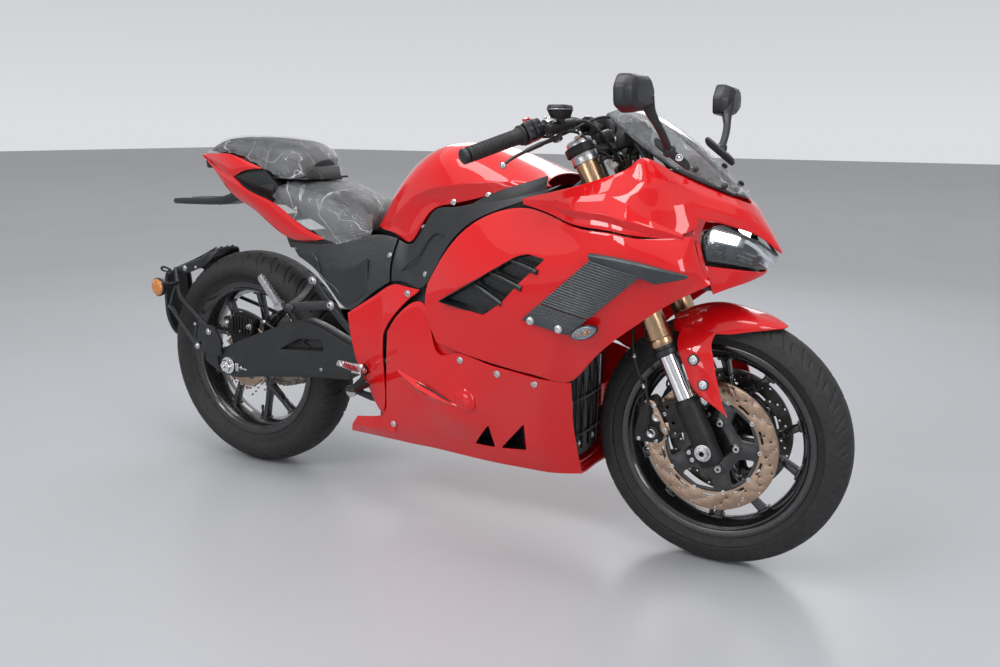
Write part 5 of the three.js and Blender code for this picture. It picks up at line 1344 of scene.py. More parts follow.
shell_loop = rounded(polar_loop(112, 174, 119, 157), 9, 5)
make("caliper_half_#", merge(plate(shell_loop, -92, -72.8, (), upright),
    plate(shell_loop, -60.6, -47, (), upright),
                             plate(rounded(polar_loop(153.5, 174, 119, 130, 4), 4), -74, -59, (), upright),
                             plate(rounded(polar_loop(153.5, 174, 146, 157, 4), 4), -74, -59, (), upright)),
     "cast_black", "fork_lower", ["front_caliper_#"], bevel=1.8, segments=3)
pots, caps, bolts = [], [], []
for deg in (129, 147):
    x, z = 133 * math.cos(math.radians(deg)), 133 * math.sin(math.radians(deg))
    pots.append(lathe([(0, 0), (19, 0), (18, 5), (16, 7), (0, 7)], (x, -91, z), (0, -1, 0), 32))
    caps.append(lathe([(0, 0), (10.5, 0), (10.5, 2.2), (9, 3), (6, 1.4), (0, 1.4)], (x, -97.5, z),
        (0, -1, 0), 28))
for deg, r in ((121.5, 163), (154.5, 163), (121.5, 121), (154.5, 121)):
    x, z = r * math.cos(math.radians(deg)), r * math.sin(math.radians(deg))
    bolts.append(screw((x, -92, z), (0, -1, 0), 5.4, 4, False))
make("caliper_pots_#", forks(merge(*pots)), "cast_black", "fork_lower", bevel=0.8)
alloy("caliper_caps_#", forks(merge(*caps)), body="fork_lower")
alloy("caliper_bolts_#", forks(merge(*bolts)), body="fork_lower")
make("caliper_pads_#", merge(*[plate(rounded(polar_loop(118, 151, 126, 150, 5), 4), y, y + 3.6, (), upright)
    for y in (-72.6, -64.2)]), "dark_steel_and_shaded_disc", "fork_lower", bevel=0.5)
bracket = rounded([(-70, 60), (-72, 136), (-86, 150), (-98, 146), (-82, 128), (-88, 108), (-78, 92),
    (-86, 72), (-80, 56)], 5, 4)
make("caliper_bracket_#", merge(plate(bracket, -100, -93, (), upright),
    plate(rounded([(-66, 64), (-62, 84), (-84, 86), (-86, 66)], 4), -97, -84, (), upright)),
     "disc_steel", "fork_lower", bevel=1.2)
make("bracket_bolts_#", forks(merge(screw((-74, -100, 70), (0, -1, 0), 6.5, 4.5, False),
    screw((-76, -100, 130), (0, -1, 0), 6.5, 4.5, False))), "bare_alloy", "fork_lower", bevel=0.4)

# ------------------------------------------------------------------ instruments and wiring
make("dash_case", loft([[(x0 + dx, y * k, z0 + dz * k) for y,
    dz in rounded([(-62, -26), (62, -26), (70, 6), (54, 30), (-54, 30), (-70, 6)], 8, 4)]
                        for x0, z0, dx, k in ((468, 962, 0, 0.92), (472, 964, 0, 1.0), (490, 972, 0, 1.0),
                            (508, 978, 0, 0.78))]), "satin_black", "chassis", bevel=1.2)
make("dash_glass", loft([[(x, y * k, 963 + dz * k) for y,
    dz in rounded([(-56, -20), (56, -20), (62, 6), (48, 24), (-48, 24), (-62, 6)], 7, 4)]
                         for x, k in ((465.5, 0.96), (469, 1.0))]), "dash_teal", "chassis", bevel=0.6)
make("dash_stay", merge(*[bar([(502, y * 0.68, 958), (528, y * 0.8, 930), (560, y, 890)], 6, 16)
    for y in (-60, 60)],
                        bar([(560, -120, 890), (560, 120, 890)], 7, 16)), "frame_black", "chassis", bevel=0)
make("ignition_lock", forks(merge(lathe([(0, 728), (19, 728), (19, 748), (17, 751), (13, 752), (0, 752)],
    (24, 0, 0), (0, 0, 1), 32))), "satin_black", "steering", bevel=0.8)
alloy("ignition_ring", forks(lathe([(5, 751), (14, 751), (14, 754), (12, 755), (6, 753.4), (5, 753)],
    (24, 0, 0), (0, 0, 1), 32, closed=True)), body="steering")


def loop_cable(points, r, name):
    make(name, tube(points, r, 12, 6), "hose_rubber", "steering", bevel=0)


for k, (r, points) in enumerate((
        (3.4, [(-30, -210, 778), (-8, -170, 768), (20, -124, 752), (28, -98, 712), (46, -64, 676),
            (40, -40, 640), (12, -34, 600)]),
        (3.0, [(-36, -206, 772), (-10, -160, 762), (48, -100, 770), (80, -64, 760), (86, -40, 720),
            (66, -24, 660), (44, -20, 604)]),
        (2.6, [(40, -60, 664), (50, -68, 676), (54, -56, 682), (52, -36, 684), (50, -20, 680),
            (48, -16, 668), (50, -20, 640), (50, -24, 612)]),
        (3.2, [(20, -90, 676), (34, -90, 682), (44, -70, 682), (46, -44, 676), (42, -30, 660)]))):
    loop_cable(forks((points, []))[0], r, f"cable_{k + 1}")
    loop_cable([(x, -y, z) for x, y, z in forks((points, []))[0]], r, f"cable_{k + 5}")
make("plug_white", forks(merge(block((40, -62, 668), (17, 13, 24),
    ((0.9, 0, 0.43), (0, 1, 0), (-0.43, 0, 0.9))),
    block((37, -69, 662), (10, 3, 8), ((0.9, 0, 0.43), (0, 1, 0), (-0.43, 0, 0.9))))),
     "connector_white", "steering", bevel=1.2)
make("plug_black", forks(merge(block((70, -44, 690), (16, 16, 26),
    ((0.8, 0, 0.6), (0, 1, 0), (-0.6, 0, 0.8))), rod((62, 24, 676), (70, 26, 704), 11, 28),
                               rod((86, 30, 650), (94, 36, 688), 13, 28, 11))), "satin_black", "steering",
                               bevel=2, segments=3)
make("cable_ties", forks(merge(*[lathe([(3.2, -2), (5.2, -2), (5.2, 2), (3.2, 2)], at, way, 16, closed=True)
                                 for at, way in (((46, -64, 676), (0, 0.2, 1)),
                                     ((50, -30, 632), (0.1, -0.2, 1)), ((20, -124, 752),
                                         (0.6, 0.8, -0.1)))])), "connector_white", "steering", bevel=0.3)
make("horn", merge(lathe([(0, -14), (22, -14), (26, -10), (38, 4), (40, 8), (38, 11), (30, 9), (12, 5),
    (0, 5)], (574, 0, 760), (1, 0, 0), 40)), "satin_black", "chassis", bevel=0.6)


# ------------------------------------------------------------------ swingarm
ARM_LOOP = [(-768, 346), (-715, 352), (-623, 393), (-451, 460), (-376, 480), (-325, 467), (-233, 432),
    (-140, 436), (-98, 433), (-78, 412),
            (-78, 388), (-98, 367), (-140, 364), (-215, 345), (-243, 327), (-357, 320), (-573, 292),
            (-644, 280), (-709, 285), (-768, 314)]
ARM_WINDOW = [(-478, 384), (-410, 423), (-330, 428), (-321, 396)]


def flat_piece(outline, y0, y1, holes=(), r=6):
    return plate(rounded(outline, r, 4), y0, y1, holes)


def shrunk(outline, by):
    """Outline moved inwards by a distance at every corner."""
    n, out = len(outline), []
    for k in range(n):
        a, b, c = (np.asarray(outline[(k + d) % n], float) for d in (-1, 0, 1))
        u, v = unit(b - a), unit(c - b)
        way = np.array([u[1], -u[0]]) + np.array([v[1], -v[0]])
        out.append(tuple(b + unit(way) * by))
    return out


axle_slot = rounded([(-716, 334), (-694, 340), (-636, 326), (-634, 300), (-708, 296)], 6, 4)
window_loop = rounded(ARM_WINDOW, 8, 4)
make("swingarm_side_#", merge(plate(rounded(ARM_LOOP, 14, 5), -134, -111,
    [rounded(shrunk(ARM_WINDOW[::-1], -3)[::-1], 8, 4), disc_loop(-112, 400, 14.6, 32)]),
                              plate(rounded([(-760, 340), (-716, 346), (-622, 386), (-448, 453), (-376, 472),
                                  (-326, 460), (-236, 425), (-150, 426), (-140, 374),
                                             (-216, 353), (-246, 334), (-358, 327), (-574, 299), (-644, 287),
                                             (-706, 291), (-760, 318)], 12, 5),
                                    -139.6, -133, [window_loop, axle_slot])),
     "satin_black", "rear_arm", ["swingarm"], bevel=1.6, segments=3)
make("swingarm_recess_#", merge(plate(shrunk(window_loop[::-1], -1.5)[::-1], -126, -123),
    plate(axle_slot, -135.2, -133.4)), "frame_black", "rear_arm", bevel=0.5)
make("window_rib_#", merge(bar([(-452, -128, 398), (-405, -129, 412), (-380, -129, 397)], 3, 10),
    bar([(-405, -129, 412), (-388, -130, 421)], 3, 10)), "cast_black", "rear_arm", bevel=0)
make("swingarm_bridge", merge(
    loft([[(x, y, z) for x, z in rounded([(-338, 340), (-270, 336), (-266, 400), (-334, 404)], 10, 4)]
        for y in (-114, 114)]),
    plate(rounded([(-300, 396), (-268, 444), (-238, 440), (-252, 395)], 6), 13, 20,
        [disc_loop(-250, 430, 6, 20)]),
    plate(rounded([(-300, 396), (-268, 444), (-238, 440), (-252, 395)], 6), -20, -13,
        [disc_loop(-250, 430, 6, 20)])), "satin_black", "rear_arm", bevel=2, segments=3)
make("pivot_tube", merge(*[spin(lathe([(14.6, s * 104), (24, s * 104), (24, s * 116), (14.6, s * 116)],
    (0, 0, 0), (0, 1, 0), 36, closed=True), SHAFT) for s in (-1, 1)]),
     "cast_black", "rear_arm", bevel=0.8)
make("rear_axle_pin", spin(lathe([(6, -158), (10, -158), (10, 158), (6, 158)], (0, 0, 0), (0, 1, 0), 32,
    closed=True), REAR), "chrome", "rear_arm", bevel=0.6)
make("axle_nuts_#", spin(merge(lathe([(10.2, -156), (17, -156), (18.5, -153), (18.5, -144), (10.2, -144)],
    (0, 0, 0), (0, 1, 0), 6, closed=True),
                               lathe([(10.2, -144), (24, -144), (24, -140.6), (10.2, -140.6)], (0, 0, 0),
                                   (0, 1, 0), 32, closed=True)), REAR), "chrome", "rear_arm", bevel=0.7)
make("axle_blocks_#", merge(block((-672, -137, 314), (40, 7, 30)), block((-640, -137.5, 312), (12, 8, 24))),
    "bare_alloy", "rear_arm", bevel=1.2)
make("adjuster_bolts_#", merge(rod((-640, -137, 312), (-604, -137, 308), 3.4, 16),
    lathe([(0, 0), (6, 0), (6, 6), (0, 6)], (-628, -137, 311), (1, 0, -0.1), 6)), "bare_alloy", "rear_arm",
    bevel=0.4)
alloy("arm_bolts_#", screw((-333, -139, 345), (0, -1, 0), 5, 3, False),
    screw((-690, -139, 366), (0, -1, 0), 5, 3, False), body="rear_arm")
make("chain_guard", merge(plate(rounded([(-606, 438), (-590, 452), (-300, 478), (-230, 470), (-226, 458),
    (-300, 464), (-584, 440)], 5), 104, 108),
                          plate(rounded([(-606, 438), (-590, 452), (-300, 478), (-230, 470), (-228, 466),
                              (-300, 473), (-588, 447)], 3), 78, 107)), "satin_black", "rear_arm", bevel=1)

# ------------------------------------------------------------------ rear brake
make("rear_caliper_halves", merge(
    plate(rounded([(-724, 392), (-712, 450), (-690, 458), (-664, 450), (-640, 446), (-622, 438), (-628, 402),
        (-640, 386), (-668, 394)], 7), -87, -73.2),
    plate(rounded([(-720, 394), (-708, 446), (-664, 452), (-626, 436), (-638, 390)], 7), -58.6, -50),
    plate(rounded([(-716, 432), (-706, 452), (-664, 458), (-624, 442), (-628, 428), (-664, 436)], 5), -75,
        -57)), "cast_black", "rear_arm", ["rear_caliper"], bevel=1.8, segments=3)
make("rear_caliper_fins", merge(*[plate(rounded([(-700 + 11 * k, 400), (-700 + 11 * k, 446),
    (-695 + 11 * k, 448), (-695 + 11 * k, 398)], 1.5), -92, -86) for k in range(6)]),
     "cast_black", "rear_arm", bevel=0.7)
make("rear_caliper_bracket", merge(plate(rounded([(-714, 396), (-640, 396), (-648, 330), (-654, 298),
    (-690, 298), (-698, 330)], 8), -86, -77, [disc_loop(-672, 314, 12, 28)]),
                                   plate(rounded([(-744, 398), (-738, 440), (-716, 446), (-712, 396)], 6),
                                       -84, -76)), "cast_black", "rear_arm", bevel=1.2)
make("rear_caliper_bolts", merge(screw((-728, -84, 420), (0, -1, 0), 8, 6),
    screw((-640, -87, 420), (0, -1, 0), 7, 6), screw((-676, -87, 404), (0, -1, 0), 5, 4, False)),
    "bare_alloy", "rear_arm", bevel=0.5)
make("rear_brake_pads", plate(rounded([(-704, 388), (-698, 418), (-642, 416), (-640, 386), (-672, 394)], 5),
    -72.8, -59.4,
                              [rounded([(-703, 389), (-697, 417)][::1] + [(-699, 417), (-705, 389)], 0.4,
                                  2)]), "dark_steel_and_shaded_disc", "rear_arm", bevel=0.4)
make("rear_brake_hose", tube([(-700, -86, 446), (-690, -98, 464), (-640, -104, 470), (-560, -106, 446),
    (-480, -107, 410), (-400, -107, 380), (-330, -107, 362), (-250, -107, 372),
                              (-190, -107, 388), (-150, -106, 398)], 3.6, 12, 8), "hose_rubber", "rear_arm",
                              bevel=0)
make("rear_hose_joint", merge(lathe([(0, 0), (7.5, 0), (7.5, 12), (6, 13), (0, 13)], (-701, -84, 440),
    (0, -0.2, 1), 6),
                              *[lathe([(3.7, -4), (5.4, -4), (5.4, 4), (3.7, 4)], at, (1, 0, way), 20,
                                  closed=True) for at, way in (((-560, -106, 446), -0.4),
                                  ((-400, -107, 380), -0.35))]),
     "bare_alloy", "rear_arm", bevel=0.4)

# ------------------------------------------------------------------ mudguard, plate holder and indicators


def hood_at(deg, r):
    return -672 + r * math.cos(math.radians(deg)), 314 + r * math.sin(math.radians(deg))


def hood_ring(x, z, way, half, skirt):
    """Cross-section of the hood: a shallow arch with turned-down sides. way points out from the wheel."""
    up, points = np.asarray(way, float), []
    for y, d in ((-half, -skirt), (-half, -4), (-half * 0.9, 1), (-half * 0.5, 4), (0, 5), (half * 0.5, 4),
        (half * 0.9, 1), (half, -4), (half, -skirt)):
        points.append((x + up[0] * d, y, z + up[1] * d))
    for y, d in ((half - 4, -skirt), (half - 4, -6), (half * 0.5, -1), (0, 0), (-half * 0.5, -1),
        (-half + 4, -6), (-half + 4, -skirt)):
        points.append((x + up[0] * d, y, z + up[1] * d))
    return points


rings = []
for deg, half, skirt in ((111, 44, 8), (113, 54, 16), (116, 58, 24), (119, 59, 27), (122, 59, 28)):
    x, z = hood_at(deg, 337)
    rings.append(hood_ring(x, z, (math.cos(math.radians(deg)), math.sin(math.radians(deg))), half, skirt))
for x, z, half, skirt in ((-900, 584, 58, 30), (-935, 570, 56, 26), (-962, 560, 52, 12), (-990, 548, 50, 7),
    (-1010, 540, 46, 6)):
    rings.append(hood_ring(x, z, (-0.42, 0.907), half, skirt))
make("rear_hood", loft(rings), "satin_black", "rear_arm", ["rear_mudguard"], bevel=1.2, segments=2, limit=50)
make("rear_hood_ribs", merge(*[tube([(-800 - 4, y, 632), (-860, y, 605), (-930, y, 576), (-985, y, 555)],
    2.6, 10, 8) for y in (-34, -12, 12, 34)]), "satin_black", "rear_arm", bevel=0)
alloy("hood_bolts_#", screw((-915, -57.5, 565), (0, -1, 0), 6, 4),
    screw((-868, -58.5, 571), (0, -1, 0), 5, 3, False), body="rear_arm")
loop_out = [(-1016, 560), (-1004, 566), (-978, 560), (-962, 552), (-964, 546), (-1004, 548), (-1015, 552)]
make("hood_loop_#", plate(rounded(loop_out, 3), -62, -57,
    [rounded([(-1010, 557), (-1002, 560), (-982, 556), (-984, 552), (-1004, 552)], 2)]), "satin_black",
    "rear_arm", bevel=0.8)
holder = []
for x, z, half in ((-1009, 543, 46), (-1013, 520, 50), (-1014, 490, 52), (-1014, 450, 52), (-1013, 410, 50),
    (-1007, 374, 42), (-999, 345, 24), (-996, 338, 14)):
    holder.append([(x - 2.2, y, z) for y in np.linspace(-half, half, 9)])
make("plate_holder", as_mesh(surface(holder, 9)), "satin_black", "rear_arm", bevel=0.8, wall=4,
    toward=(-700, 0, 430))
make("plate_holder_rim_#", tube([(-1007, -44, 538), (-1008, -50, 500), (-1008, -50, 450), (-1006, -47, 405),
    (-999, -36, 368), (-994, -18, 344)], 4, 12, 8), "satin_black", "rear_arm", bevel=0)
make("stay_upper_#", merge(bar([(-962, -50, 560), (-930, -75, 522), (-918, -82, 484), (-728, -147, 410)], 6,
    18)), "satin_black", "rear_arm", bevel=0)
make("stay_lower_#", bar([(-1008, -42, 438), (-960, -80, 447), (-786, -147, 362)], 6, 18), "satin_black",
    "rear_arm", bevel=0)
make("stay_link_#", merge(bar([(-932, -74, 520), (-958, -70, 484), (-964, -78, 450)], 5, 14),
    bar([(-780, -146, 424), (-792, -146, 392), (-790, -147, 360)], 4.5, 14)), "satin_black", "rear_arm",
    bevel=0)
make("stay_lug_#", plate(rounded([(-802, 346), (-790, 374), (-750, 424), (-720, 426), (-690, 386),
    (-690, 340)], 9), -149.6, -141, [disc_loop(-768, 368, 6, 20)]), "satin_black", "rear_arm", bevel=1.4)
alloy("stay_bolts_#", screw((-735, -149.5, 407), (0, -1, 0), 6.5, 5),
    screw((-783, -149.5, 360), (0, -1, 0), 6.5, 5), screw((-786, -150, 424), (0, -1, 0), 4.5, 3, False),
    body="rear_arm")


def round_lamp(at, way, r, depth, name, look, body, shell="satin_black"):
    """Round indicator: housing, seat ring and a ridged lens."""
    make(name + "_case_#", lathe([(0, -depth), (r * 0.55, -depth), (r * 0.86, -depth * 0.7),
        (r, -depth * 0.25), (r * 1.02, 1), (r * 0.9, 2.2), (0, 2.2)], at, way, 48), shell, body, bevel=0.6)
    lens = [(0, 0), (r * 0.9, 0)] + [(r * (0.9 - 0.9 * (k / 12) ** 2.2 * 1.0) + (0.6 if k % 2
        else 0) * (k < 11), 2 + depth * 0.34 * math.sin(k / 12 * math.pi / 2)) for k in range(13)]
    lens[-1] = (0, lens[-1][1])
    make(name + "_lens_#", lathe(lens, at, way, 48), look, body, bevel=0)


round_lamp((-930, -150, 519), (-0.1, -1, 0), 27, 22, "rear_indicator", "amber_lens", "rear_arm")
make("indicator_arm_#", merge(bar([(-930, -66, 521), (-931, -128, 520)], 6, 18),
    lathe([(6, 0), (11, 0), (10, 12), (6.5, 20)], (-931, -129, 520), (0, 1, 0), 28, closed=True)),
    "satin_black", "rear_arm", bevel=0.5)

# ------------------------------------------------------------------ rear shock
shock_top, shock_low = np.array([-220.0, 0, 600]), np.array([-250.0, 0, 430])
shock_way = unit(shock_low - shock_top)
shock_long = float(np.linalg.norm(shock_low - shock_top))


def on_shock(profile, n=36, closed=False):
    return lathe(profile, shock_top, shock_way, n, closed=closed)


make("shock_barrel", merge(lathe([(8.8, -10.5), (14, -10.5), (14, 10.5), (8.8, 10.5)], shock_top, (0, 1, 0),
    32, closed=True),
                           on_shock([(0, 12), (10, 12), (11, 20), (28, 22), (30, 25), (30, 30), (19, 32),
                               (19, 40), (19.8, 41), (19.8, 54), (19, 55), (19, 98), (17, 103), (8.2, 103),
                               (8.2, 60), (0, 60)])),
     "bare_alloy", "shock_upper", ["shock_body"], bevel=0.6)
make("shock_piston", merge(on_shock([(0, 76), (7, 76), (7, shock_long - 10), (0, shock_long - 10)]),
    on_shock([(7.2, 136), (29, 136), (30, 138), (30, 144), (7.2, 146)], closed=True),
                           lathe([(8.2, -9.6), (13, -9.6), (13, 9.6), (8.2, 9.6)], shock_low, (0, 1, 0), 32,
                               closed=True)), "chrome", "shock_lower", ["shock_rod"], bevel=0.5)
spring_a = unit(np.cross(shock_way, (0, 1, 0)))
turns, coil = 6, []
for k in range(turns * 20 + 1):
    t, a = 32.5 + (134 - 32.5) * k / (turns * 20), 2 * math.pi * k / 20
    coil.append(shock_top + shock_way * t + 24.5 * (spring_a * math.cos(a) + np.array([0, 1,
        0]) * math.sin(a)))
spring = make("shock_spring", sweep(coil, circle(4.4, 12)), "switch_red", "shock_upper", bevel=0)
spring.parent = None
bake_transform(spring)

# ------------------------------------------------------------------ footrests, pedal and stand


def strap(points, wide, thick, way=(0, 1, 0), r=3):
    """Flat forged bar along points, wide across the view and thick along way."""
    verts, n = [], 0
    path = curve(points, 8)
    for k, p in enumerate(path):
        t = unit(path[min(k + 1, len(path) - 1)] - path[max(k - 1, 0)])
        b = unit(np.asarray(way, float) - t * np.dot(way, t))
        a = np.cross(t, b)
        section = rounded([(-wide / 2, -thick / 2), (wide / 2, -thick / 2), (wide / 2, thick / 2),
            (-wide / 2, thick / 2)], r, 3)
        n = len(section)
        verts.extend(p + a * x + b * y for x, y in section)
    return verts, grid_faces(len(path), n, ring=True) + [list(range(n))[::-1],
        [len(verts) - n + k for k in range(n)]]


hanger = [(-98, 428), (-84, 402), (-66, 334), (-76, 308), (-110, 300), (-150, 286), (-212, 300), (-214, 326),
    (-188, 348), (-190, 388), (-152, 426)]
make("hanger_plate_#", merge(flat_piece(hanger, -153, -146,
    [disc_loop(-112, 400, 14.6, 28), disc_loop(-92, 322, 9.6, 20),
        rounded([(-136, 376), (-112, 372), (-106, 344), (-128, 346)], 5),
                                                             rounded([(-176, 338), (-152, 330), (-150, 306),
                                                                 (-188, 310)], 5)], 9),
                             flat_piece(shrunk(hanger, 9), -156, -152, [disc_loop(-112, 400, 18, 28),
                                 disc_loop(-92, 322, 12, 20), rounded([(-140, 380), (-108, 376), (-100, 340),
                                     (-132, 342)], 6),
                                                                        rounded([(-180, 342), (-148, 334),
                                                                            (-146, 302), (-192, 306)], 6)],
                                                                            7)),
     "satin_black", "chassis", ["footrest_bracket_#"], bevel=1.2)
make("hanger_arms_#", merge(strap([(-158, -149, 402), (-222, -150, 466), (-284, -150, 526),
    (-340, -148, 588)], 20, 9), strap([(-340, -148, 590), (-352, -156, 566), (-370, -178, 536),
    (-388, -193, 520)], 20, 10),
                            strap([(-280, -150, 529), (-330, -164, 524), (-388, -193, 520)], 24, 10)),
                            "satin_black", "chassis", bevel=0.8)
make("hanger_knuckle_#", merge(lathe([(0, -11), (11, -11), (12.5, -8), (12.5, 8), (11, 11), (0, 11)],
    (-386, -194, 517), (-0.8, -0.3, 0.45), 28)), "satin_black", "chassis", bevel=0.8)
make("hanger_bolts_#", merge(screw((-342, -153, 587), (0, -1, 0), 8.5, 5),
    screw((-284, -154.5, 528), (0, -1, 0), 8.5, 5),
                             spin(lathe([(0, -165), (9, -165), (9, -160), (14, -158), (14, -154.5),
                                 (0, -154.5)], (0, 0, 0), (0, 1, 0), 6), SHAFT),
                             screw((-92, -150, 322), (0, -1, 0), 9, 6), screw((-120, -153, 310), (0, -1, 0),
                                 6.5, 5, False), screw((-142, -153, 398), (0, -1, 0), 6, 4, False)),
     "bare_alloy", "chassis", bevel=0.4)
make("heel_fin_#", flat_piece([(-118, 300), (-84, 306), (-62, 256), (-78, 214), (-98, 216), (-112, 240)],
    -163.5, -159.5, (), 8), "gloss_red", "chassis", bevel=1)
make("peg_lug_#", merge(rod((-168, -153, 372), (-168, -176, 372), 12.6, 28),
    block((-168, -174, 372), (24, 12, 20))), "satin_black", "chassis", bevel=1.6)


def serrated_peg(name, root, tip, wide, body, node_name, teeth=9):
    """Cast footrest: square root, and a bar with sawn ridges along its upper side."""
    root, tip = np.asarray(root, float), np.asarray(tip, float)
    along = unit(tip - root)
    across_way = unit(np.cross(along, (0, 0, 1)) if abs(along[2]) < 0.8 else np.cross(along, (0, 1, 0)))
    over = np.cross(across_way, along)
    over = over if over[2] > 0 or abs(over[2]) < 0.2 else -over
    long = float(np.linalg.norm(tip - root))
    body_rings = []
    for t, k in ((0.13, 0.8), (0.16, 1), (0.55, 1.0), (0.92, 0.86), (0.99, 0.6)):
        loop = rounded([(-wide, -wide * 0.62), (wide, -wide * 0.62), (wide * 0.8, wide * 0.3),
            (-wide * 0.8, wide * 0.3)], 2.5, 3)
        body_rings.append([root + along * t * long + (across_way * a + over * b) * k for a, b in loop])
    parts = [loft(body_rings), block(root + along * 7, (14, wide * 2.1, wide * 1.7),
        (along, across_way, over)), block(root + along * (0.13 * long), (5, wide * 2.5, wide * 2.0),
        (along, across_way, over))]
    step = 0.78 * long / teeth
    for k in range(teeth):
        at = root + along * (0.17 * long + step * (k + 0.5))
        for s in (-1, 1):
            mid = at + across_way * s * wide * 0.52
            section = [(-step * 0.42, wide * 0.15), (step * 0.42, wide * 0.15), (step * 0.12, wide * 0.72),
                (-step * 0.12, wide * 0.72)]
            parts.append(loft([[mid + across_way * d + along * u + over * v for u, v in section]
                for d in (-wide * 0.34, wide * 0.34)]))
    parts.append(loft([[root + along * t * long + across_way * a * k + over * b * k for a,
        b in rounded([(-wide * 0.6, -2), (wide * 0.6, -2), (wide * 0.5, wide * 0.75),
            (-wide * 0.5, wide * 0.75)], 2, 3)]
                       for t, k in ((0.94, 1), (1.0, 0.8))]))
    make(name, merge(*parts), "bare_alloy", body, [node_name], bevel=0.5)


serrated_peg("rider_rest_#", (-168, -183, 376), (-174, -262, 408), 12.5, ("peg_right", "peg_left"),
    "rider_peg_#", 8)
serrated_peg("pillion_rest_#", (-403, -206, 516), (-438, -246, 606), 11, ("pillion_right", "pillion_left"),
    "pillion_peg_#", 9)
make("peg_pins_#", merge(lathe([(0, -15), (4.5, -15), (4.5, 15), (0, 15)], (-168, -181, 374), (1, 0, 0), 16),
    lathe([(4.6, 13), (7, 13), (7, 15.4), (4.6, 15.4)], (-168, -181, 374), (1, 0, 0), 16, closed=True)),
     "chrome", "chassis", bevel=0.4)

make("pedal_arm", merge(lathe([(11.4, 166.8), (16, 166.8), (16, 176), (11.4, 176)], (-206, 0, 312),
    (0, -1, 0), 28, closed=True), rod((-206, -174, 312), (-206, -176.5, 312), 12, 24),
                        strap([(-204, -172, 312), (-188, -173, 320), (-172, -176, 330), (-150, -192, 340)],
                            13, 8)), "bare_alloy", "rear_brake_pedal", ["brake_pedal"], bevel=0.8)
make("pedal_pad", merge(block((-150, -219, 340), (29, 64, 10)),
    *[block((-150, -192 - 9 * k, 346.5), (26, 3.4, 4)) for k in range(7)]), "satin_black",
    "rear_brake_pedal", bevel=1.2)
make("stand_leg", merge(lathe([(0, 167), (13, 167), (13.5, 169), (13.5, 180), (12, 182), (0, 182)],
    (-196, 0, 300), (0, 1, 0), 28),
                        bar([(-200, 176, 300), (-330, 190, 284), (-478, 212, 268)], 8.6, 18),
                        bar([(-300, 188, 288), (-306, 204, 290), (-322, 212, 288)], 3.6, 12)), "satin_black",
                        "stand", ["side_stand"], bevel=0.5)
make("stand_foot", merge(loft([[(x * 1.0 - 485, y * 1.0 + 213, z) for x,
    y in rounded([(-22 * k, -12 * k), (20 * k, -13 * k), (22 * k, 12 * k), (-20 * k, 13 * k)], 5, 4)] for z,
    k in ((254.5, 0.94), (256, 1), (261, 1), (262, 0.94))]),
                         rod((-480, 212, 262), (-474, 211, 268), 9, 20)), "cast_black", "stand", bevel=0.8)
make("stand_bolt", lathe([(0, 182), (8, 182), (8, 187), (6.5, 188.5), (0, 188.5)], (-196, 0, 300), (0, 1, 0),
    6), "bare_alloy", "stand", bevel=0.4)

# ------------------------------------------------------------------ under the tail
tray_rings = []
for x, half, low, high in ((-816, 22, 880, 888), (-790, 30, 868, 892), (-740, 44, 852, 892),
    (-700, 60, 832, 888), (-664, 72, 812, 882), (-600, 88, 792, 868), (-520, 94, 774, 850)):
    tray_rings.append([(x, y * half, low + (high - low) * t) for y,
        t in ((-0.86, 0), (-0.4, -0.06), (0, -0.08), (0.4, -0.06), (0.86, 0), (1, 0.5), (0.92, 0.96), (0, 1),
            (-0.92, 0.96), (-1, 0.5))])
make("undertail_shell", loft(tray_rings), "satin_black", "chassis", ["undertail_tray"], bevel=2, segments=3,
    limit=30)
blade_rings = []
for x, half, low, high in ((-950, 50, 757, 768), (-946, 58, 756, 772), (-900, 60, 757, 774),
    (-800, 60, 759, 779), (-750, 61, 762, 784), (-715, 64, 768, 796), (-690, 67, 776, 812),
    (-650, 70, 784, 824), (-600, 74, 794, 834)):
    blade_rings.append([(x, y * half, low + (high - low) * t) for y,
        t in ((-0.88, 0), (0, -0.12), (0.88, 0), (1, 0.5), (0.9, 1), (0.3, 1.0), (0.26, 0.82), (-0.26, 0.82),
            (-0.3, 1.0), (-0.9, 1), (-1, 0.5))])
make("rear_blade", loft(blade_rings), "satin_black", "chassis", bevel=1.4, segments=2, limit=24)
alloy("blade_screws", *[screw((x, y, 757.5 + (x + 950) * 0.02), (0, 0, -1), 5, 3, False)
    for x in (-900, -780) for y in (-34, 34)])
make("seat_bolster", merge(loft([[(x, y * half, z) for y,
    z in rounded([(-1, 845), (1, 845), (0.98, high - 8), (0.9, high), (-0.9, high), (-0.98, high - 8)], 0.02,
        2)]
                                 for x, half, high in ((-424, 74, 852), (-420, 72, 870), (-412, 62, 880),
                                     (-404, 52, 878), (-394, 44, 862), (-388, 40, 850))]),
                           loft([[(x, y, z) for y, z in rounded([(-88, 845), (88, 845), (86, 850.5),
                               (-86, 850.5)], 2, 3)] for x in (-540, -404)])), "satin_black", "chassis",
                               bevel=1.6, segments=3)
make("tail_lamp", merge(loft([[(x, y * k, z) for y,
    z in rounded([(-30, 868 + d), (30, 868 + d), (34, 882 + d), (-34, 882 + d)], 4, 4)] for x, k,
    d in ((-812, 1, 0), (-826, 1, 2), (-833, 0.9, 4))])),
     "red_lens", "chassis", bevel=1, segments=3)
make("tail_lamp_frame", loft([[(x, y, z) for y,
    z in rounded([(-38, 864), (38, 864), (41, 888), (-41, 888)], 5, 4)] for x in (-806, -820)]),
    "satin_black", "chassis", bevel=1.2)


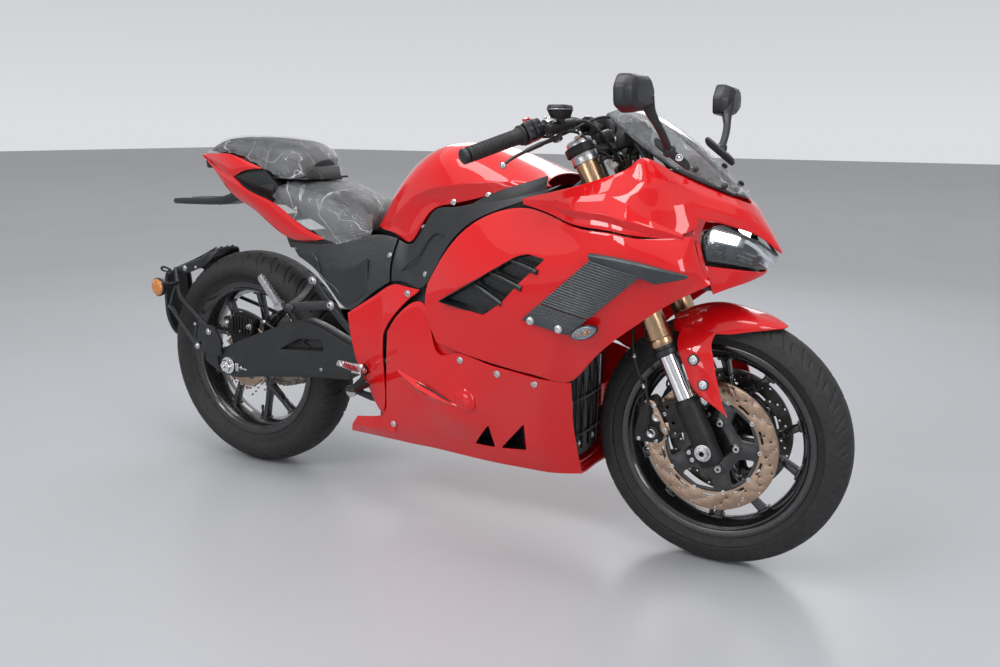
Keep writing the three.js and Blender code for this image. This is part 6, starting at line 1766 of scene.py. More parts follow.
# ------------------------------------------------------------------ headlight
LAMP = wrapped([
    [(829, 0, 721), (822, 0, 706), (806, 0, 690)],
    [(799, -33, 750), (797, -38, 722), (788, -42, 695)],
    [(763, -73, 771), (765, -75, 737), (759, -80, 704)],
    [(722, -117, 789), (726, -119, 750), (728, -114, 712)],
    [(703, -136, 768), (708, -136, 742), (713, -132, 716)],
])
HALF_LAMP = np.array(LAMP[4:], float)       # nose to right corner


def lamp_at(s, v, depth=0.0):
    """Point of the right lamp: s is 0 at the nose and 4 at the rear corner, v is 0 at the top and 2 below."""
    i, j = min(int(s), 3), min(int(v), 1)
    a, b = s - i, v - j
    p = (HALF_LAMP[i, j] * (1 - a) + HALF_LAMP[i + 1, j] * a) * (1 - b) + (HALF_LAMP[i,
        j + 1] * (1 - a) + HALF_LAMP[i + 1, j + 1] * a) * b
    return p + unit(np.array([600.0, 0, 740]) - p) * depth


make("lamp_lens", as_mesh(surface(LAMP, 6)), "lamp_glass", "chassis", ["headlight_unit"], bevel=0.6,
    wall=2.4, toward=(600, 0, 740))
bucket = [[tuple(np.array(p) + unit(np.array([600.0, 0, 740]) - p) * 44) for p in row] for row in LAMP]
make("lamp_bucket", as_mesh(surface(bucket, 8)), "fin_black_and_groove_shade", "chassis", bevel=0, wall=3,
    toward=(600, 0, 740))


rim_line = [lamp_at(s, 0.03, 5) for s in np.linspace(0, 4, 22)] + [lamp_at(4, v, 5)
    for v in np.linspace(0.2, 1.97, 6)] + [lamp_at(s, 1.97, 5) for s in np.linspace(3.9, 0, 20)]
rim_line += [(x, -y, z) for x, y, z in reversed(rim_line[:-1])]
make("lamp_seal", sweep(np.array(rim_line), circle(3.2, 8)), "satin_black", "chassis", bevel=0)


def lamp_patch(corners, depth, thick):
    """Thin block behind the lens between four (s, v) corners."""
    out = []
    for i in range(7):
        row = []
        for j in range(5):
            u, w = i / 6, j / 4
            s, v = bilinear(corners, u, w)
            row.append(lamp_at(float(s), float(v), depth))
        out.append(row)
    front = np.array(out)
    behind = front + np.array([-thick, 0, 0])
    verts = np.concatenate([front.reshape(-1, 3), behind.reshape(-1, 3)])
    m, n = front.shape[:2]
    faces = grid_faces(m, n) + [[k + m * n for k in reversed(f)] for f in grid_faces(m, n)]
    edge = [i * n for i in range(m)] + [(m - 1) * n + j for j in range(1, n)] + [i * n + n - 1
        for i in range(m - 2, -1, -1)] + list(range(n - 2, 0, -1))
    faces += [[edge[k], edge[(k + 1) % len(edge)], edge[(k + 1) % len(edge)] + m * n, edge[k] + m * n]
        for k in range(len(edge))]
    return verts, faces


make("lamp_led_#", lamp_patch([(3.15, 0.16), (1.75, 0.10), (1.95, 0.74), (3.28, 0.78)], 12, 6), "lamp_white",
    "chassis", bevel=1)
make("lamp_led_frame_#", merge(lamp_patch([(3.32, 0.10), (3.18, 0.10), (3.32, 0.86), (3.5, 0.92)], 9, 14),
    lamp_patch([(3.3, 0.82), (1.9, 0.78), (1.95, 0.9), (3.34, 0.95)], 8, 16),
                               lamp_patch([(1.72, 0.1), (1.5, 0.1), (1.72, 0.86), (1.92, 0.78)], 9, 14)),
                               "lamp_silver", "chassis", bevel=0.8)
make("lamp_light_pipe_#", sweep(np.array([lamp_at(s, 0.28 + 0.5 * max(0, 1.5 - s) ** 1.3, 8)
    for s in np.linspace(1.62, 0.12, 18)]
                                         + [lamp_at(0.12, v, 8) for v in (1.1, 1.4, 1.7)]), circle(4.2, 10)),
                                         "lamp_rim_light", "chassis", bevel=0)
facets = []
grid_s, grid_v = (3.9, 3.3, 2.7, 2.0, 1.4, 0.8, 0.25), (1.0, 1.35, 1.9)
for i in range(len(grid_s) - 1):
    for j in range(2):
        deep = (12, 26) if (i + j) % 2 else (24, 14)
        corners = [lamp_at(grid_s[i], grid_v[j], deep[0]), lamp_at(grid_s[i + 1], grid_v[j], deep[1]),
                   lamp_at(grid_s[i + 1], grid_v[j + 1], deep[0] + 6),
                   lamp_at(grid_s[i], grid_v[j + 1], deep[1] + 4)]
        facets.append(loft([[tuple(p) for p in corners], [tuple(p + np.array([-8, 0, 0])) for p in corners]]))
make("lamp_facets_#", merge(*facets), "lamp_silver", "chassis", bevel=0.5)
make("lamp_facets_dark_#", merge(*[lamp_patch([(s, 0.95), (s - 0.5, 0.95), (s - 0.42, 1.9), (s + 0.1, 1.9)],
    10, 5) for s in (3.75, 2.35)]), "fin_black_and_groove_shade", "chassis", bevel=0.5)

# ------------------------------------------------------------------ windscreen
SCREEN = mirrored([
    [(497, 0, 1030), (491, -50, 1031), (484, -92, 1028), (474, -130, 1019)],
    [(548, 0, 1009), (541, -55, 1005), (534, -102, 995), (526, -141, 981)],
    [(610, 0, 969), (604, -60, 963), (592, -112, 952), (579, -150, 944)],
    [(665, 0, 924), (658, -48, 921), (645, -92, 915), (629, -130, 908)],
    [(712, 0, 882), (706, -34, 881), (697, -64, 880), (683, -92, 879)],
    [(757, 0, 842), (751, -18, 845), (744, -30, 849), (735, -45, 853)],
])
skin("windscreen_shell", SCREEN, "smoke_screen", "chassis", ["windscreen"], (600, 0, 800), wall=3, step=7,
    bevel=0.8)
screen_fine = surface(SCREEN, 6)
make("screen_beading", sweep(np.concatenate([screen_fine[:, -1], screen_fine[::-1, 0]]) + np.array([0, 0,
    -3]), circle(2.6, 8)), "satin_black", "chassis", bevel=0)
make("screen_bolts_#", merge(*[merge(lathe([(0, -3), (7, -3), (7.6, 0), (7, 1.6), (0, 1.6)], at,
    (0.35, -0.75, 0.55), 24), lathe([(0, 1), (4.4, 1), (4.4, 3.4), (3.6, 4), (0, 4)], at,
    (0.35, -0.75, 0.55), 6))
                               for at in ((668, -104, 905), (720, -62, 869))]), "satin_black", "chassis",
                               bevel=0.3)

# ------------------------------------------------------------------ mirrors
MIRROR = [(-246, 1022), (-330, 1016), (-368, 1030), (-372, 1066), (-352, 1090), (-268, 1094), (-242, 1062)]


def mirror_face(x, grow, lean=0.0):
    ring = [(x + lean * (y + 310) / 60, -310 + (y + 310) * grow, 1056 + (z - 1056) * grow) for y,
        z in rounded(MIRROR, 9, 4)]
    return ring


head = loft([mirror_face(586, 0.93), mirror_face(588, 0.985), mirror_face(594, 1.0), mirror_face(608, 0.985),
    mirror_face(622, 0.83, 1.0), mirror_face(630, 0.60, 2.0)])
BOTH = ("mirror_arm_right", "mirror_arm_left")
make("mirror_head_#", head, "satin_black", BOTH, ["mirror_#"], bevel=1.2, segments=2, limit=22)
make("mirror_glass_#", loft([mirror_face(585.2, 0.86), mirror_face(587, 0.87)]), "mirror_glass", BOTH,
    bevel=0.4)
make("mirror_stem_#", merge(sweep(curve([(616, -272, 1046), (621, -256, 1018), (628, -238, 996),
    (633, -212, 972), (635, -184, 946)], 5), circle(9, 20, 0.8),
                                  grow=list(np.interp(np.arange(len(curve([(616, -272, 1046),
                                      (621, -256, 1018), (628, -238, 996), (633, -212, 972),
                                      (635, -184, 946)], 5))), [0, 6, 12, 40], [2.0, 1.35, 1.0, 0.95]))),
                            lathe([(0, -8), (11, -8), (13.5, -4), (13.5, 6), (10, 12), (0, 14)],
                                (635, -178, 941), (0, -0.35, 0.93), 28)), "satin_black", BOTH, bevel=0.6)
make("mirror_base_#", loft([[(636 + a * 34 + n * 0.3, -164 + a * 6 + b * 0.5 - n * 0.8,
    936 - a * 24 + b * 12 + n * 0.5) for a, b in rounded([(-1, -0.8), (1, -0.8), (1.15, 0), (1, 0.8),
        (-1, 0.8), (-1.15, 0)], 0.5, 4)]
                            for n in (-3, 1.5, 3)]), "satin_black", "chassis", bevel=1, segments=3)
alloy("mirror_base_bolts_#", *[merge(lathe([(5, 0), (8.5, 0), (8.5, 2), (7.6, 3), (5.2, 3), (5, 2)], at,
    (0.3, -0.8, 0.5), 28, closed=True), lathe([(0, 0), (4.2, 0), (4.2, 2), (0, 2.6)], at, (0.3, -0.8, 0.5),
    6))
                                    for at in ((627, -170, 946), (652, -166, 928))])

# ------------------------------------------------------------------ front indicators


def teardrop(center, along, out, long, wide, levels, n=28):
    """Pointed oval boss: rings of a leaf-shaped outline, each (height, scale)."""
    along, out = unit(along), unit(out)
    over = np.cross(out, along)
    rings = []
    for h, k in levels:
        ring = []
        for t in np.arange(n) * 2 * math.pi / n:
            c, s = math.cos(t), math.sin(t)
            ring.append(np.asarray(center,
                float) + along * long * c * k + over * wide * s * (1 - 0.25 * abs(c) ** 3) * k + out * h)
        rings.append(ring)
    return loft(rings)


WINKER, WINKER_WAY, WINKER_OUT = (490, -257, 560), (0.93, 0.10, 0.36), (0.12, -0.98, -0.16)
make("front_indicator_base_#", teardrop(WINKER, WINKER_WAY, WINKER_OUT, 33, 16,
    [(-5, 0.96), (1, 1.0), (3, 0.97)]), "satin_black", "chassis", bevel=0.6)
make("front_indicator_bowl_#", teardrop(WINKER, WINKER_WAY, WINKER_OUT, 28, 12.5,
    [(2.4, 0.98), (3.6, 1.0), (4.2, 0.94)]), "lamp_silver", "chassis", bevel=0.3)
make("front_indicator_bulb_#", merge(lathe([(0, 3), (4.6, 3), (5, 6), (3.4, 9), (0, 10)],
    np.array(WINKER) + np.array([4, 0, 1]), WINKER_OUT, 20),
                                     *[lathe([(0, 3.5), (2.2, 3.5), (2.2, 6), (0, 6.8)],
                                         np.array(WINKER) + np.array([d, 0, d * 0.36]), WINKER_OUT, 12)
                                         for d in (-14, -7, 14)]), "amber_lens", "chassis", bevel=0.2)
make("front_indicator_lens_#", teardrop(WINKER, WINKER_WAY, WINKER_OUT, 30, 14,
    [(3.0, 1.0), (7, 0.97), (10.5, 0.84), (12.6, 0.55), (13.2, 0.2)]), "lamp_glass", "chassis", bevel=0.3)

# ------------------------------------------------------------------ panels behind the front wheel
DUCT_X = 374     # clear of the front tyre at full bump
duct = [[(DUCT_X, y, z) for y in np.linspace(-150 * k, 150 * k, 9)] for z,
    k in ((196, 0.72), (240, 0.82), (300, 0.96), (360, 1.0), (420, 1.0), (470, 0.9))]
duct = [[(x + 10 * math.cos(y / 60) * (1 if z < 460 else 0), y, z) for x, y, z in row] for row in duct]
make("inner_duct", as_mesh(surface(duct, 10)), "satin_black", "chassis", bevel=1, wall=4,
    toward=(170, 0, 330))
make("inner_duct_ribs", merge(*[tube([(DUCT_X + 12, y, 215), (DUCT_X + 13, y, 300), (DUCT_X + 12, y, 400),
    (DUCT_X + 4, y, 455)], 3, 10, 10) for y in (-60, -20, 20, 60)],
                              *[tube([(DUCT_X + 10, -90, z), (DUCT_X + 14, -40, z), (DUCT_X + 14, 40, z),
                                  (DUCT_X + 10, 90, z)], 3, 10, 10) for z in (255, 345)]), "satin_black",
                                  "chassis", bevel=0)
make("duct_flap_#", loft([[(DUCT_X + x, y, z) for x,
    z in ((-2, 350), (14, 352), (15, 300), (8, 292), (-2, 300))] for y in (-148, -118, -84)]), "gloss_red",
    "chassis", bevel=1.6, segments=3)
make("duct_lip_#", tube([(DUCT_X + 8, -96, 186), (DUCT_X + 10, -60, 182), (DUCT_X + 11, 0, 180)], 3.4, 10,
    8), "gloss_red", "chassis", bevel=0)
alloy("duct_screws_#", screw((DUCT_X + 12, -40, 232), (1, 0, 0), 5, 3))
alloy("cooling_core", *[block((DUCT_X - 6, 0, 320 + 9 * k), (14, 200, 2.2)) for k in range(12)],
    *[block((DUCT_X - 6, s * 98, 370), (20, 8, 116)) for s in (-1, 1)])

# Dark tray under the lamp, between the front edges of the fairing.
under = [
    [(782, -46, 671), (784, 0, 684)],
    [(728, -122, 652), (738, 0, 700)],
    [(690, -172, 664), (690, 0, 712)],
    [(620, -196, 668), (620, 0, 722)],
]
under = [[a, (a[0], a[1] * 0.55, a[2] * 0.45 + b[2] * 0.55), b,
    (a[0], -a[1] * 0.55, a[2] * 0.45 + b[2] * 0.55), (a[0], -a[1], a[2])] for a, b in under]
make("nose_tray", as_mesh(surface(under, 10)), "satin_black", "chassis", bevel=0, wall=2.5,
    toward=(690, 0, 1000))
# This liner takes the darker red: painted shade in the gap between cowl and cheek.
make("brow_liner_#", as_mesh(surface([[(655, -172, 812), (652, -176, 780), (650, -190, 765)],
    [(706, -141, 802), (702, -150, 775), (700, -158, 760)]], 8)), "shaded_red", "chassis", bevel=0,
     wall=2, toward=(600, 0, 780))


# ------------------------------------------------------------------ seats
def seat_ring(half, n=44):
    """Closed cross-section from a half section that runs from the top centre to the underside's centre."""
    line = curve([half[1], *half[2:-1]], 4)
    right = [half[0], *[tuple(p) for p in line], half[-1]]
    full = right + [(x, -y, z) for x, y, z in reversed(right[1:-1])]
    loop = np.array(full + [full[0]], float)
    run = np.concatenate([[0], np.cumsum(np.linalg.norm(np.diff(loop, axis=0), axis=1))])
    at = np.linspace(0, run[-1], n + 1)[:-1]
    return np.stack([np.interp(at, run, loop[:, k]) for k in range(3)], axis=1)


def seat_form(halves, inset):
    """Rings refined along the seat and drawn inwards, ready to swell."""
    rings = refine(np.array([seat_ring(h) for h in halves]), 9)
    middle = rings.mean(axis=1, keepdims=True)
    radius = np.linalg.norm(rings - middle, axis=2, keepdims=True)
    rings = middle + (rings - middle) * (1 - inset / np.maximum(radius, inset * 2.2))
    rings[:, :, 0] = np.clip(rings[:, :, 0], rings[:, :, 0].min() + inset * 0.8,
        rings[:, :, 0].max() - inset * 0.8)
    return rings


CLOTH_STEPS = 20
CLOTH_PRESSURE = 4.0
SEAT_VOXEL = 5        # mm


def swell(obj, voxel, cap):
    """Remeshes obj evenly, blows it up as a closed cloth, and keeps each point within cap mm of its start."""
    mod = obj.modifiers.new("even", "REMESH")
    mod.mode, mod.voxel_size = "VOXEL", voxel * MM
    bake(obj)
    start = np.array([v.co for v in obj.data.vertices])
    mod = obj.modifiers.new("cloth", "CLOTH")
    mod.settings.quality = 5
    mod.settings.mass = 0.3
    mod.settings.tension_stiffness = mod.settings.compression_stiffness = 20
    mod.settings.shear_stiffness = 12
    mod.settings.bending_stiffness = 2
    mod.settings.use_pressure = True
    mod.settings.uniform_pressure_force = CLOTH_PRESSURE
    mod.settings.effector_weights.gravity = 0.0
    scene = bpy.context.scene
    scene.frame_start, scene.frame_end = 1, CLOTH_STEPS
    mod.point_cache.frame_start, mod.point_cache.frame_end = 1, CLOTH_STEPS
    for step in range(1, CLOTH_STEPS + 1):
        scene.frame_set(step)
        bpy.context.view_layer.update()
    bake(obj)
    scene.frame_set(1)
    end = np.array([v.co for v in obj.data.vertices])
    shift = end - start
    far = np.linalg.norm(shift, axis=1, keepdims=True)
    end = start + shift * np.minimum(1, cap * MM / np.maximum(far, 1e-9))
    for v, p in zip(obj.data.vertices, end):
        v.co = p


def seat(name, halves, body, node_name, inset, cap):
    rings = seat_form(halves, inset)
    part = loft([[tuple(p) for p in ring] for ring in rings])

    def blow(obj):
        swell(obj, SEAT_VOXEL, cap)
        mod = obj.modifiers.new("smooth", "SMOOTH")
        mod.factor, mod.iterations = 0.5, 4
        mod = obj.modifiers.new("sub", "SUBSURF")
        mod.levels = mod.render_levels = 1
        bake(obj)
    made = make(name, part, "seat_leather", body, [node_name], bevel=0, smooth=60, shape=blow)
    return made


RIDER = [
    [(-506, 0, 822), (-508, -50, 820), (-510, -88, 812), (-508, -102, 800), (-500, -106, 788),
        (-500, 0, 786)],
    [(-486, 0, 836), (-486, -50, 834), (-487, -88, 826), (-488, -105, 804), (-488, -109, 776),
        (-486, 0, 784)],
    [(-430, 0, 841), (-430, -50, 838), (-430, -90, 826), (-430, -114, 795), (-425, -119, 753),
        (-430, 0, 770)],
    [(-345, 0, 832), (-345, -50, 829), (-345, -92, 812), (-345, -122, 770), (-345, -129, 722),
        (-345, 0, 745)],
    [(-270, 0, 804), (-270, -50, 801), (-268, -92, 784), (-266, -122, 745), (-262, -130, 700),
        (-266, 0, 720)],
    [(-228, 0, 782), (-225, -50, 779), (-220, -88, 764), (-214, -114, 735), (-210, -122, 712),
        (-220, 0, 714)],
    [(-214, 0, 764), (-211, -42, 761), (-206, -72, 750), (-190, -92, 724), (-184, -102, 718), (-212, 0, 714)],
]
PILLION = [
    [(-818, 0, 912), (-818, -20, 911), (-818, -32, 908), (-818, -35, 905), (-818, 0, 900)],
    [(-740, 0, 945), (-740, -40, 940), (-738, -58, 925), (-736, -62, 914), (-736, 0, 901)],
    [(-650, 0, 952), (-650, -50, 947), (-648, -74, 930), (-646, -82, 910), (-646, 0, 892)],
    [(-545, 0, 950), (-545, -55, 944), (-545, -90, 920), (-545, -100, 880), (-545, 0, 870)],
    [(-450, 0, 934), (-450, -58, 928), (-452, -96, 900), (-455, -108, 853), (-455, 0, 856)],
    [(-424, 0, 920), (-427, -46, 913), (-431, -76, 890), (-434, -90, 854), (-424, 0, 857)],
    [(-410, 0, 894), (-414, -32, 889), (-420, -54, 874), (-424, -66, 859), (-410, 0, 860)],
]
rider = seat("rider_cushion", RIDER, "chassis", "rider_seat", 5, 7)
pillion = seat("pillion_cushion", PILLION, "chassis", "pillion_seat", 4, 6)


def piping(name, halves, column, lift, r):
    """Welt sewn along both upper edges of a seat."""
    line = refine(np.array([h[column] for h in halves], float)[:, None, :], 5)[:,
        0] + np.array([0, -lift * 0.7, lift * 0.7])
    make(name + "_#", sweep(line, circle(r, 10)), "seat_leather", "chassis", bevel=0)


piping("rider_welt", RIDER[:-1], 2, 0.6, 2.0)
piping("pillion_welt", PILLION[1:-1], 2, 0.6, 1.8)

# ------------------------------------------------------------------ clear wrapping film


def crinkle(p, seed):
    """Height in mm of a crumpled film: sharp folds between flat facets, in three sizes."""
    height = 0.0
    for size, depth in ((70.0, 3.4), (34.0, 2.2), (15.0, 0.9)):
        q = Vector((p[0] / size + seed, p[1] / size * 0.8, p[2] / size))
        q += 0.55 * Vector((field.noise(q * 1.7), field.noise(q * 1.7 + Vector((9, 2, 5))),
            field.noise(q * 1.7 + Vector((3, 8, 1)))))
        height += depth * (1 - min(1.0, abs(field.noise(q)) * 3.2)) ** 2
    return height


def film(name, grid, away, lift, seed, step=4.5, edge=6.0):
    """Crumpled clear sheet over a grid of points. Its edge wanders; its area and flat sizes are worked out
    but not kept.
    """
    fine = surface(grid, step)
    m, n = fine.shape[:2]
    out = np.empty_like(fine)
    for i in range(m):
        for j in range(n):
            a = fine[min(i + 1, m - 1), j] - fine[max(i - 1, 0), j]
            b = fine[i, min(j + 1, n - 1)] - fine[i, max(j - 1, 0)]
            normal = unit(np.cross(a, b))
            if normal.dot(fine[i, j] - away) < 0:
                normal = -normal
            rim = min(i, m - 1 - i, j, n - 1 - j) / 6
            wander = edge * field.noise(Vector(fine[i, j] / 26.0) + Vector((seed, 0, 0))) * max(0.0, 1 - rim)
            out[i, j] = fine[i, j] + normal * (lift + crinkle(fine[i, j], seed)) + np.array([0.3, 0,
                1.0]) * wander
    obj = make(name, as_mesh(out), "seat_film", "chassis", bevel=0, smooth=24)
    obj.data.update()
    area = sum(p.area for p in obj.data.polygons)
    long = float(np.linalg.norm(np.diff(out, axis=0), axis=2).sum(0).mean()) / 1000
    wide = float(np.linalg.norm(np.diff(out, axis=1), axis=2).sum(1).mean()) / 1000
    long, wide = max(long, area / wide), wide
    return obj


def over_seat(halves, low_column, drop, out):
    """Grid from the right lower edge over the seat to the left lower edge, for each cross-section."""
    rows = []
    for half in halves:
        right = [np.array(p, float) for p in half[:low_column + 1]]
        tail = right[-1] + np.array([0, -out, -drop])
        line = [*right, tail]
        rows.append([tuple(p * [1, -1, 1]) for p in reversed(line[1:])] + [tuple(p) for p in line])
    return rows


film("rider_film", over_seat(RIDER, 4, 10, 5), np.array([-360.0, 0, 770]), 2.5, 3.1)
film("pillion_film", over_seat(PILLION, 3, 6, 4), np.array([-560.0, 0, 890]), 2.5, 7.7)
wrap = [[row[j] for j in range(7)] for row in SCREEN]
film("screen_film", wrap, np.array([600.0, 0, 800]), 1.2, 5.3)


# ------------------------------------------------------------------ frame, battery and drive
PIVOT = (-112, 400)
STEM_FOOT = np.array(fork((-35, 0, 595)))
STEM_WAY = unit(np.array(fork((-35, 0, 709))) - STEM_FOOT)


def weld(at, way, r):
    """Rippled bead round the foot of a tube."""
    at, way = np.asarray(at, float), unit(way)
    side = unit(np.cross(way, [0.3, 0.5, 0.8]))
    other = np.cross(way, side)
    turns = np.arange(36) * 2 * math.pi / 36
    path = [at + (side * math.cos(t) + other * math.sin(t)) * r for t in turns]
    return sweep(np.array(path + [path[0], path[1]]), circle(2.4, 6),
        grow=[1 + 0.18 * (k % 2) for k in range(38)], caps=False)


SPARS = [
    ([(395, -14, 872), (318, -104, 790), (110, -122, 690), (-60, -112, 560), (-100, -102, 480)], 15),
    ([(402, -14, 858), (338, -100, 765), (335, -106, 560), (306, -108, 300), (140, -108, 232),
        (-70, -104, 232), (-100, -102, 320)], 14),
    ([(-60, -112, 560), (-300, -92, 655), (-500, -78, 738)], 12),
    ([(-104, -102, 500), (-330, -92, 668)], 10),
]
PIVOT_PLATE = [(-140, 500), (-84, 505), (-62, 440), (-66, 360), (-84, 300), (-118, 300), (-150, 350),
    (-152, 440)]
make("frame_spars_#", merge(*[bar(points, r, 20) for points, r in SPARS]), "frame_black", "chassis",
    ["main_frame"], bevel=0)
make("frame_welds_#", merge(weld((-60, -112, 560), (-0.9, 0.1, 0.4), 13),
    weld((-104, -102, 500), (-0.8, 0, 0.6), 11), weld((-330, -92, 668), (-0.8, 0, 0.6), 11),
                            weld((-100, -102, 320), (-0.3, 0, 0.9), 15), weld((-100, -102, 480),
                                (-0.4, 0, -0.9), 16)), "frame_black", "chassis", bevel=0)
make("pivot_plate_#", merge(plate(rounded(PIVOT_PLATE, 16, 5), -107, -97, [disc_loop(*PIVOT, 15)]),
    rod((PIVOT[0], -100, PIVOT[1]), (PIVOT[0], -112, PIVOT[1]), 24, 36)), "frame_black", "chassis",
    bevel=1.6, segments=3)
make("frame_crossbars", merge(*[rod((x, -half, z), (x, half, z), 11, 24) for x, z,
    half in ((110, 690, 118), (-70, 232, 100), (306, 300, 104), (-225, 625, 98), (-500, 738, 76),
        (-60, 560, 108))],
                              *[plate(rounded([(-232, 632), (-236, 592), (-204, 592), (-212, 632)], 8, 4),
                                  s * 15, s * 22) for s in (-1, 1)], rod((-220, -22, 600), (-220, 22, 600),
                                  8, 20)),
     "frame_black", "chassis", bevel=1)
make("head_tube", merge(lathe([(17, 0), (30, 0), (31, 2), (31, 12), (29.5, 14), (29.5, 100), (31, 102),
    (31, 112), (30, 114), (17, 114)], STEM_FOOT, STEM_WAY, 36, closed=True)),
     "frame_black", "chassis", bevel=0.6)

BATTERY = [(-84, 444), (84, 444), (88, 452), (88, 628), (80, 640), (-80, 640), (-88, 628), (-88, 452)]
make("battery_case", loft([[(x, y * k, 540 + (z - 540) * k) for y, z in rounded(BATTERY, 6, 4)] for x,
    k in ((-29, 0.92), (-24, 0.97), (-14, 0.995), (264, 0.995), (274, 0.97), (279, 0.92))]),
     "cast_black", "chassis", ["battery_pack"], bevel=1.2, segments=2, limit=40)
make("battery_ribs", merge(*[loft([[(x + d * k, y * (1.006 + 0.004 * k),
    540 + (z - 540) * (1.006 + 0.004 * k)) for y, z in rounded(BATTERY, 6, 4)] for d,
    k in ((-3.5, 0), (-2.5, 1), (2.5, 1), (3.5, 0))]) for x in range(0, 264, 22)]),
     "cast_black", "chassis", bevel=0)
make("battery_plug_#", merge(loft([[(x, y, z) for y,
    z in rounded([(-62, 600), (-30, 600), (-30, 622), (-62, 622)], 3, 3)] for x in (277, 283)]),
                             tube([(281, -46, 611), (290, -46, 612), (296, -48, 622), (294, -50, 634)], 5,
                                 10, 5)), "switch_red", "chassis", bevel=0.8)

DRIVE = (60, 330)
motor = [(0, -84), (60, -84), (76, -82), (84, -78), (88, -72)]
for k in range(9):
    y = -68 + k * 14
    motor += [(88, y), (89.5, y + 1), (89.5, y + 6), (88, y + 7), (84, y + 8), (84, y + 13)]
motor += [(88, 60), (86, 66), (78, 70), (0, 70)]
make("motor_case", lathe([(r, y) for r, y in motor], (DRIVE[0], 0, DRIVE[1]), (0, 1, 0), 64), "cast_black",
    "chassis", ["drive_unit"], bevel=0)
make("motor_cap", merge(lathe([(0, -91.5), (24, -91.5), (28, -89), (34, -89), (38, -91), (66, -91),
    (72, -88), (75, -83), (75, -80), (0, -80)], (DRIVE[0], 0, DRIVE[1]), (0, 1, 0), 56),
                        *[block((DRIVE[0] + 51 * math.cos(a), -91, DRIVE[1] + 51 * math.sin(a)),
                            (28, 2.4, 4), ((math.cos(a), 0, math.sin(a)), (0, 1, 0),
                                (-math.sin(a), 0, math.cos(a)))) for a in np.arange(8) * math.pi / 4]),
     "cast_black", "chassis", bevel=0.8)
alloy("motor_cap_bolts", *[screw((DRIVE[0] + 80 * math.cos(a), -84, DRIVE[1] + 80 * math.sin(a)), (0, -1, 0),
    4.5, 3, False) for a in (np.arange(8) + 0.5) * math.pi / 4])
GEARCASE = [(-145, 432), (-80, 446), (60, 420), (60, 250), (-60, 300), (-148, 372)]
make("gear_case", merge(plate(rounded(GEARCASE, 18, 6), 34, 76),
    rod((PIVOT[0], 60, PIVOT[1]), (PIVOT[0], 79, PIVOT[1]), 17, 32),
                        *[plate(rounded([(-128 + 60 * k, 425), (-122 + 60 * k, 427), (-100 + 60 * k, 330),
                            (-106 + 60 * k, 326)], 2, 3), 75, 78.5) for k in range(3)]), "cast_black",
                            "chassis", bevel=2.2, segments=3)


# ------------------------------------------------------------------ creases and fasteners of the bodywork


# A folded blade runs back from the headlight along each flank of the upper cowl.
COWL_BLADE = [
    [(376, -196, 832), (377, -197, 828), (380, -201, 818), (392, -207, 806)],
    [(440, -207, 843), (438, -216, 832), (440, -226, 815), (448, -221, 797)],
    [(512, -204, 853), (512, -218, 834), (516, -234, 811), (524, -228, 787)],
    [(556, -207, 836), (560, -219, 820), (566, -235, 800), (572, -230, 775)],
    [(616, -200, 804), (618, -209, 797), (622, -220, 787), (624, -217, 766)],
    [(674, -183, 773), (675, -184, 771), (677, -187, 769), (678, -184, 765)],
]
make("cowl_blade_#", as_mesh(surface(COWL_BLADE, 7, (1, 2, 3, 4), (1, 2))), "gloss_red", "chassis",
    bevel=0.7, wall=3.5, toward=(520, 0, 790), limit=18,
     smooth=16)

# A sharp rib and a half-round cover stand out of each side of the belly.
RIB = [
    [(-46, -191, 396), (-45, -193, 393), (-42, -191, 386)],
    [(-18, -196, 387), (-14, -204, 378), (-8, -197, 356)],
    [(22, -201, 379), (24, -216, 364), (32, -203, 342)],
    [(82, -209, 362), (84, -224, 347), (86, -208, 328)],
    [(142, -212, 337), (144, -215, 334), (145, -212, 329)],
]
make("belly_rib_#", as_mesh(surface(RIB, 7, (1, 2, 3), (1,))), "gloss_red", "chassis", bevel=0.7, wall=3.5,
    toward=(50, 0, 360), limit=18, smooth=16)
# A near-black tube along the rib's slit: painted shade inside the slit.
make("belly_rib_slit_#", sweep(np.array([(22, -208, 375), (60, -212, 366), (104, -216, 351),
    (128, -216, 342)]), circle(2.2, 8), grow=[0.3, 1, 1, 0.3]),
     "fin_black_and_groove_shade", "chassis", bevel=0)


def dome(center, along, out, long, wide, high, levels=9, n=36, square=0.0):
    """Half-ellipsoid boss. square flattens its rear end."""
    along, out = unit(along), unit(out)
    over = np.cross(out, along)
    rings = []
    for k in range(levels):
        t = k / (levels - 1) * math.pi / 2 * 0.96
        ring = []
        for a in np.arange(n) * 2 * math.pi / n:
            c, s = math.cos(a), math.sin(a)
            reach = 1 - square * max(0.0, -c) ** 2
            ring.append(np.asarray(center,
                float) + along * long * c * reach * math.cos(t)
                + over * wide * s * math.cos(t) + out * (high * math.sin(t) - 3))
        rings.append(ring)
    return loft(rings)


make("belly_cover_#", dome((162, -210, 356), (0.55, 0, -0.84), (0.12, -0.97, -0.2), 38, 27, 15, square=0.35),
    "gloss_red", "chassis", bevel=0.4)

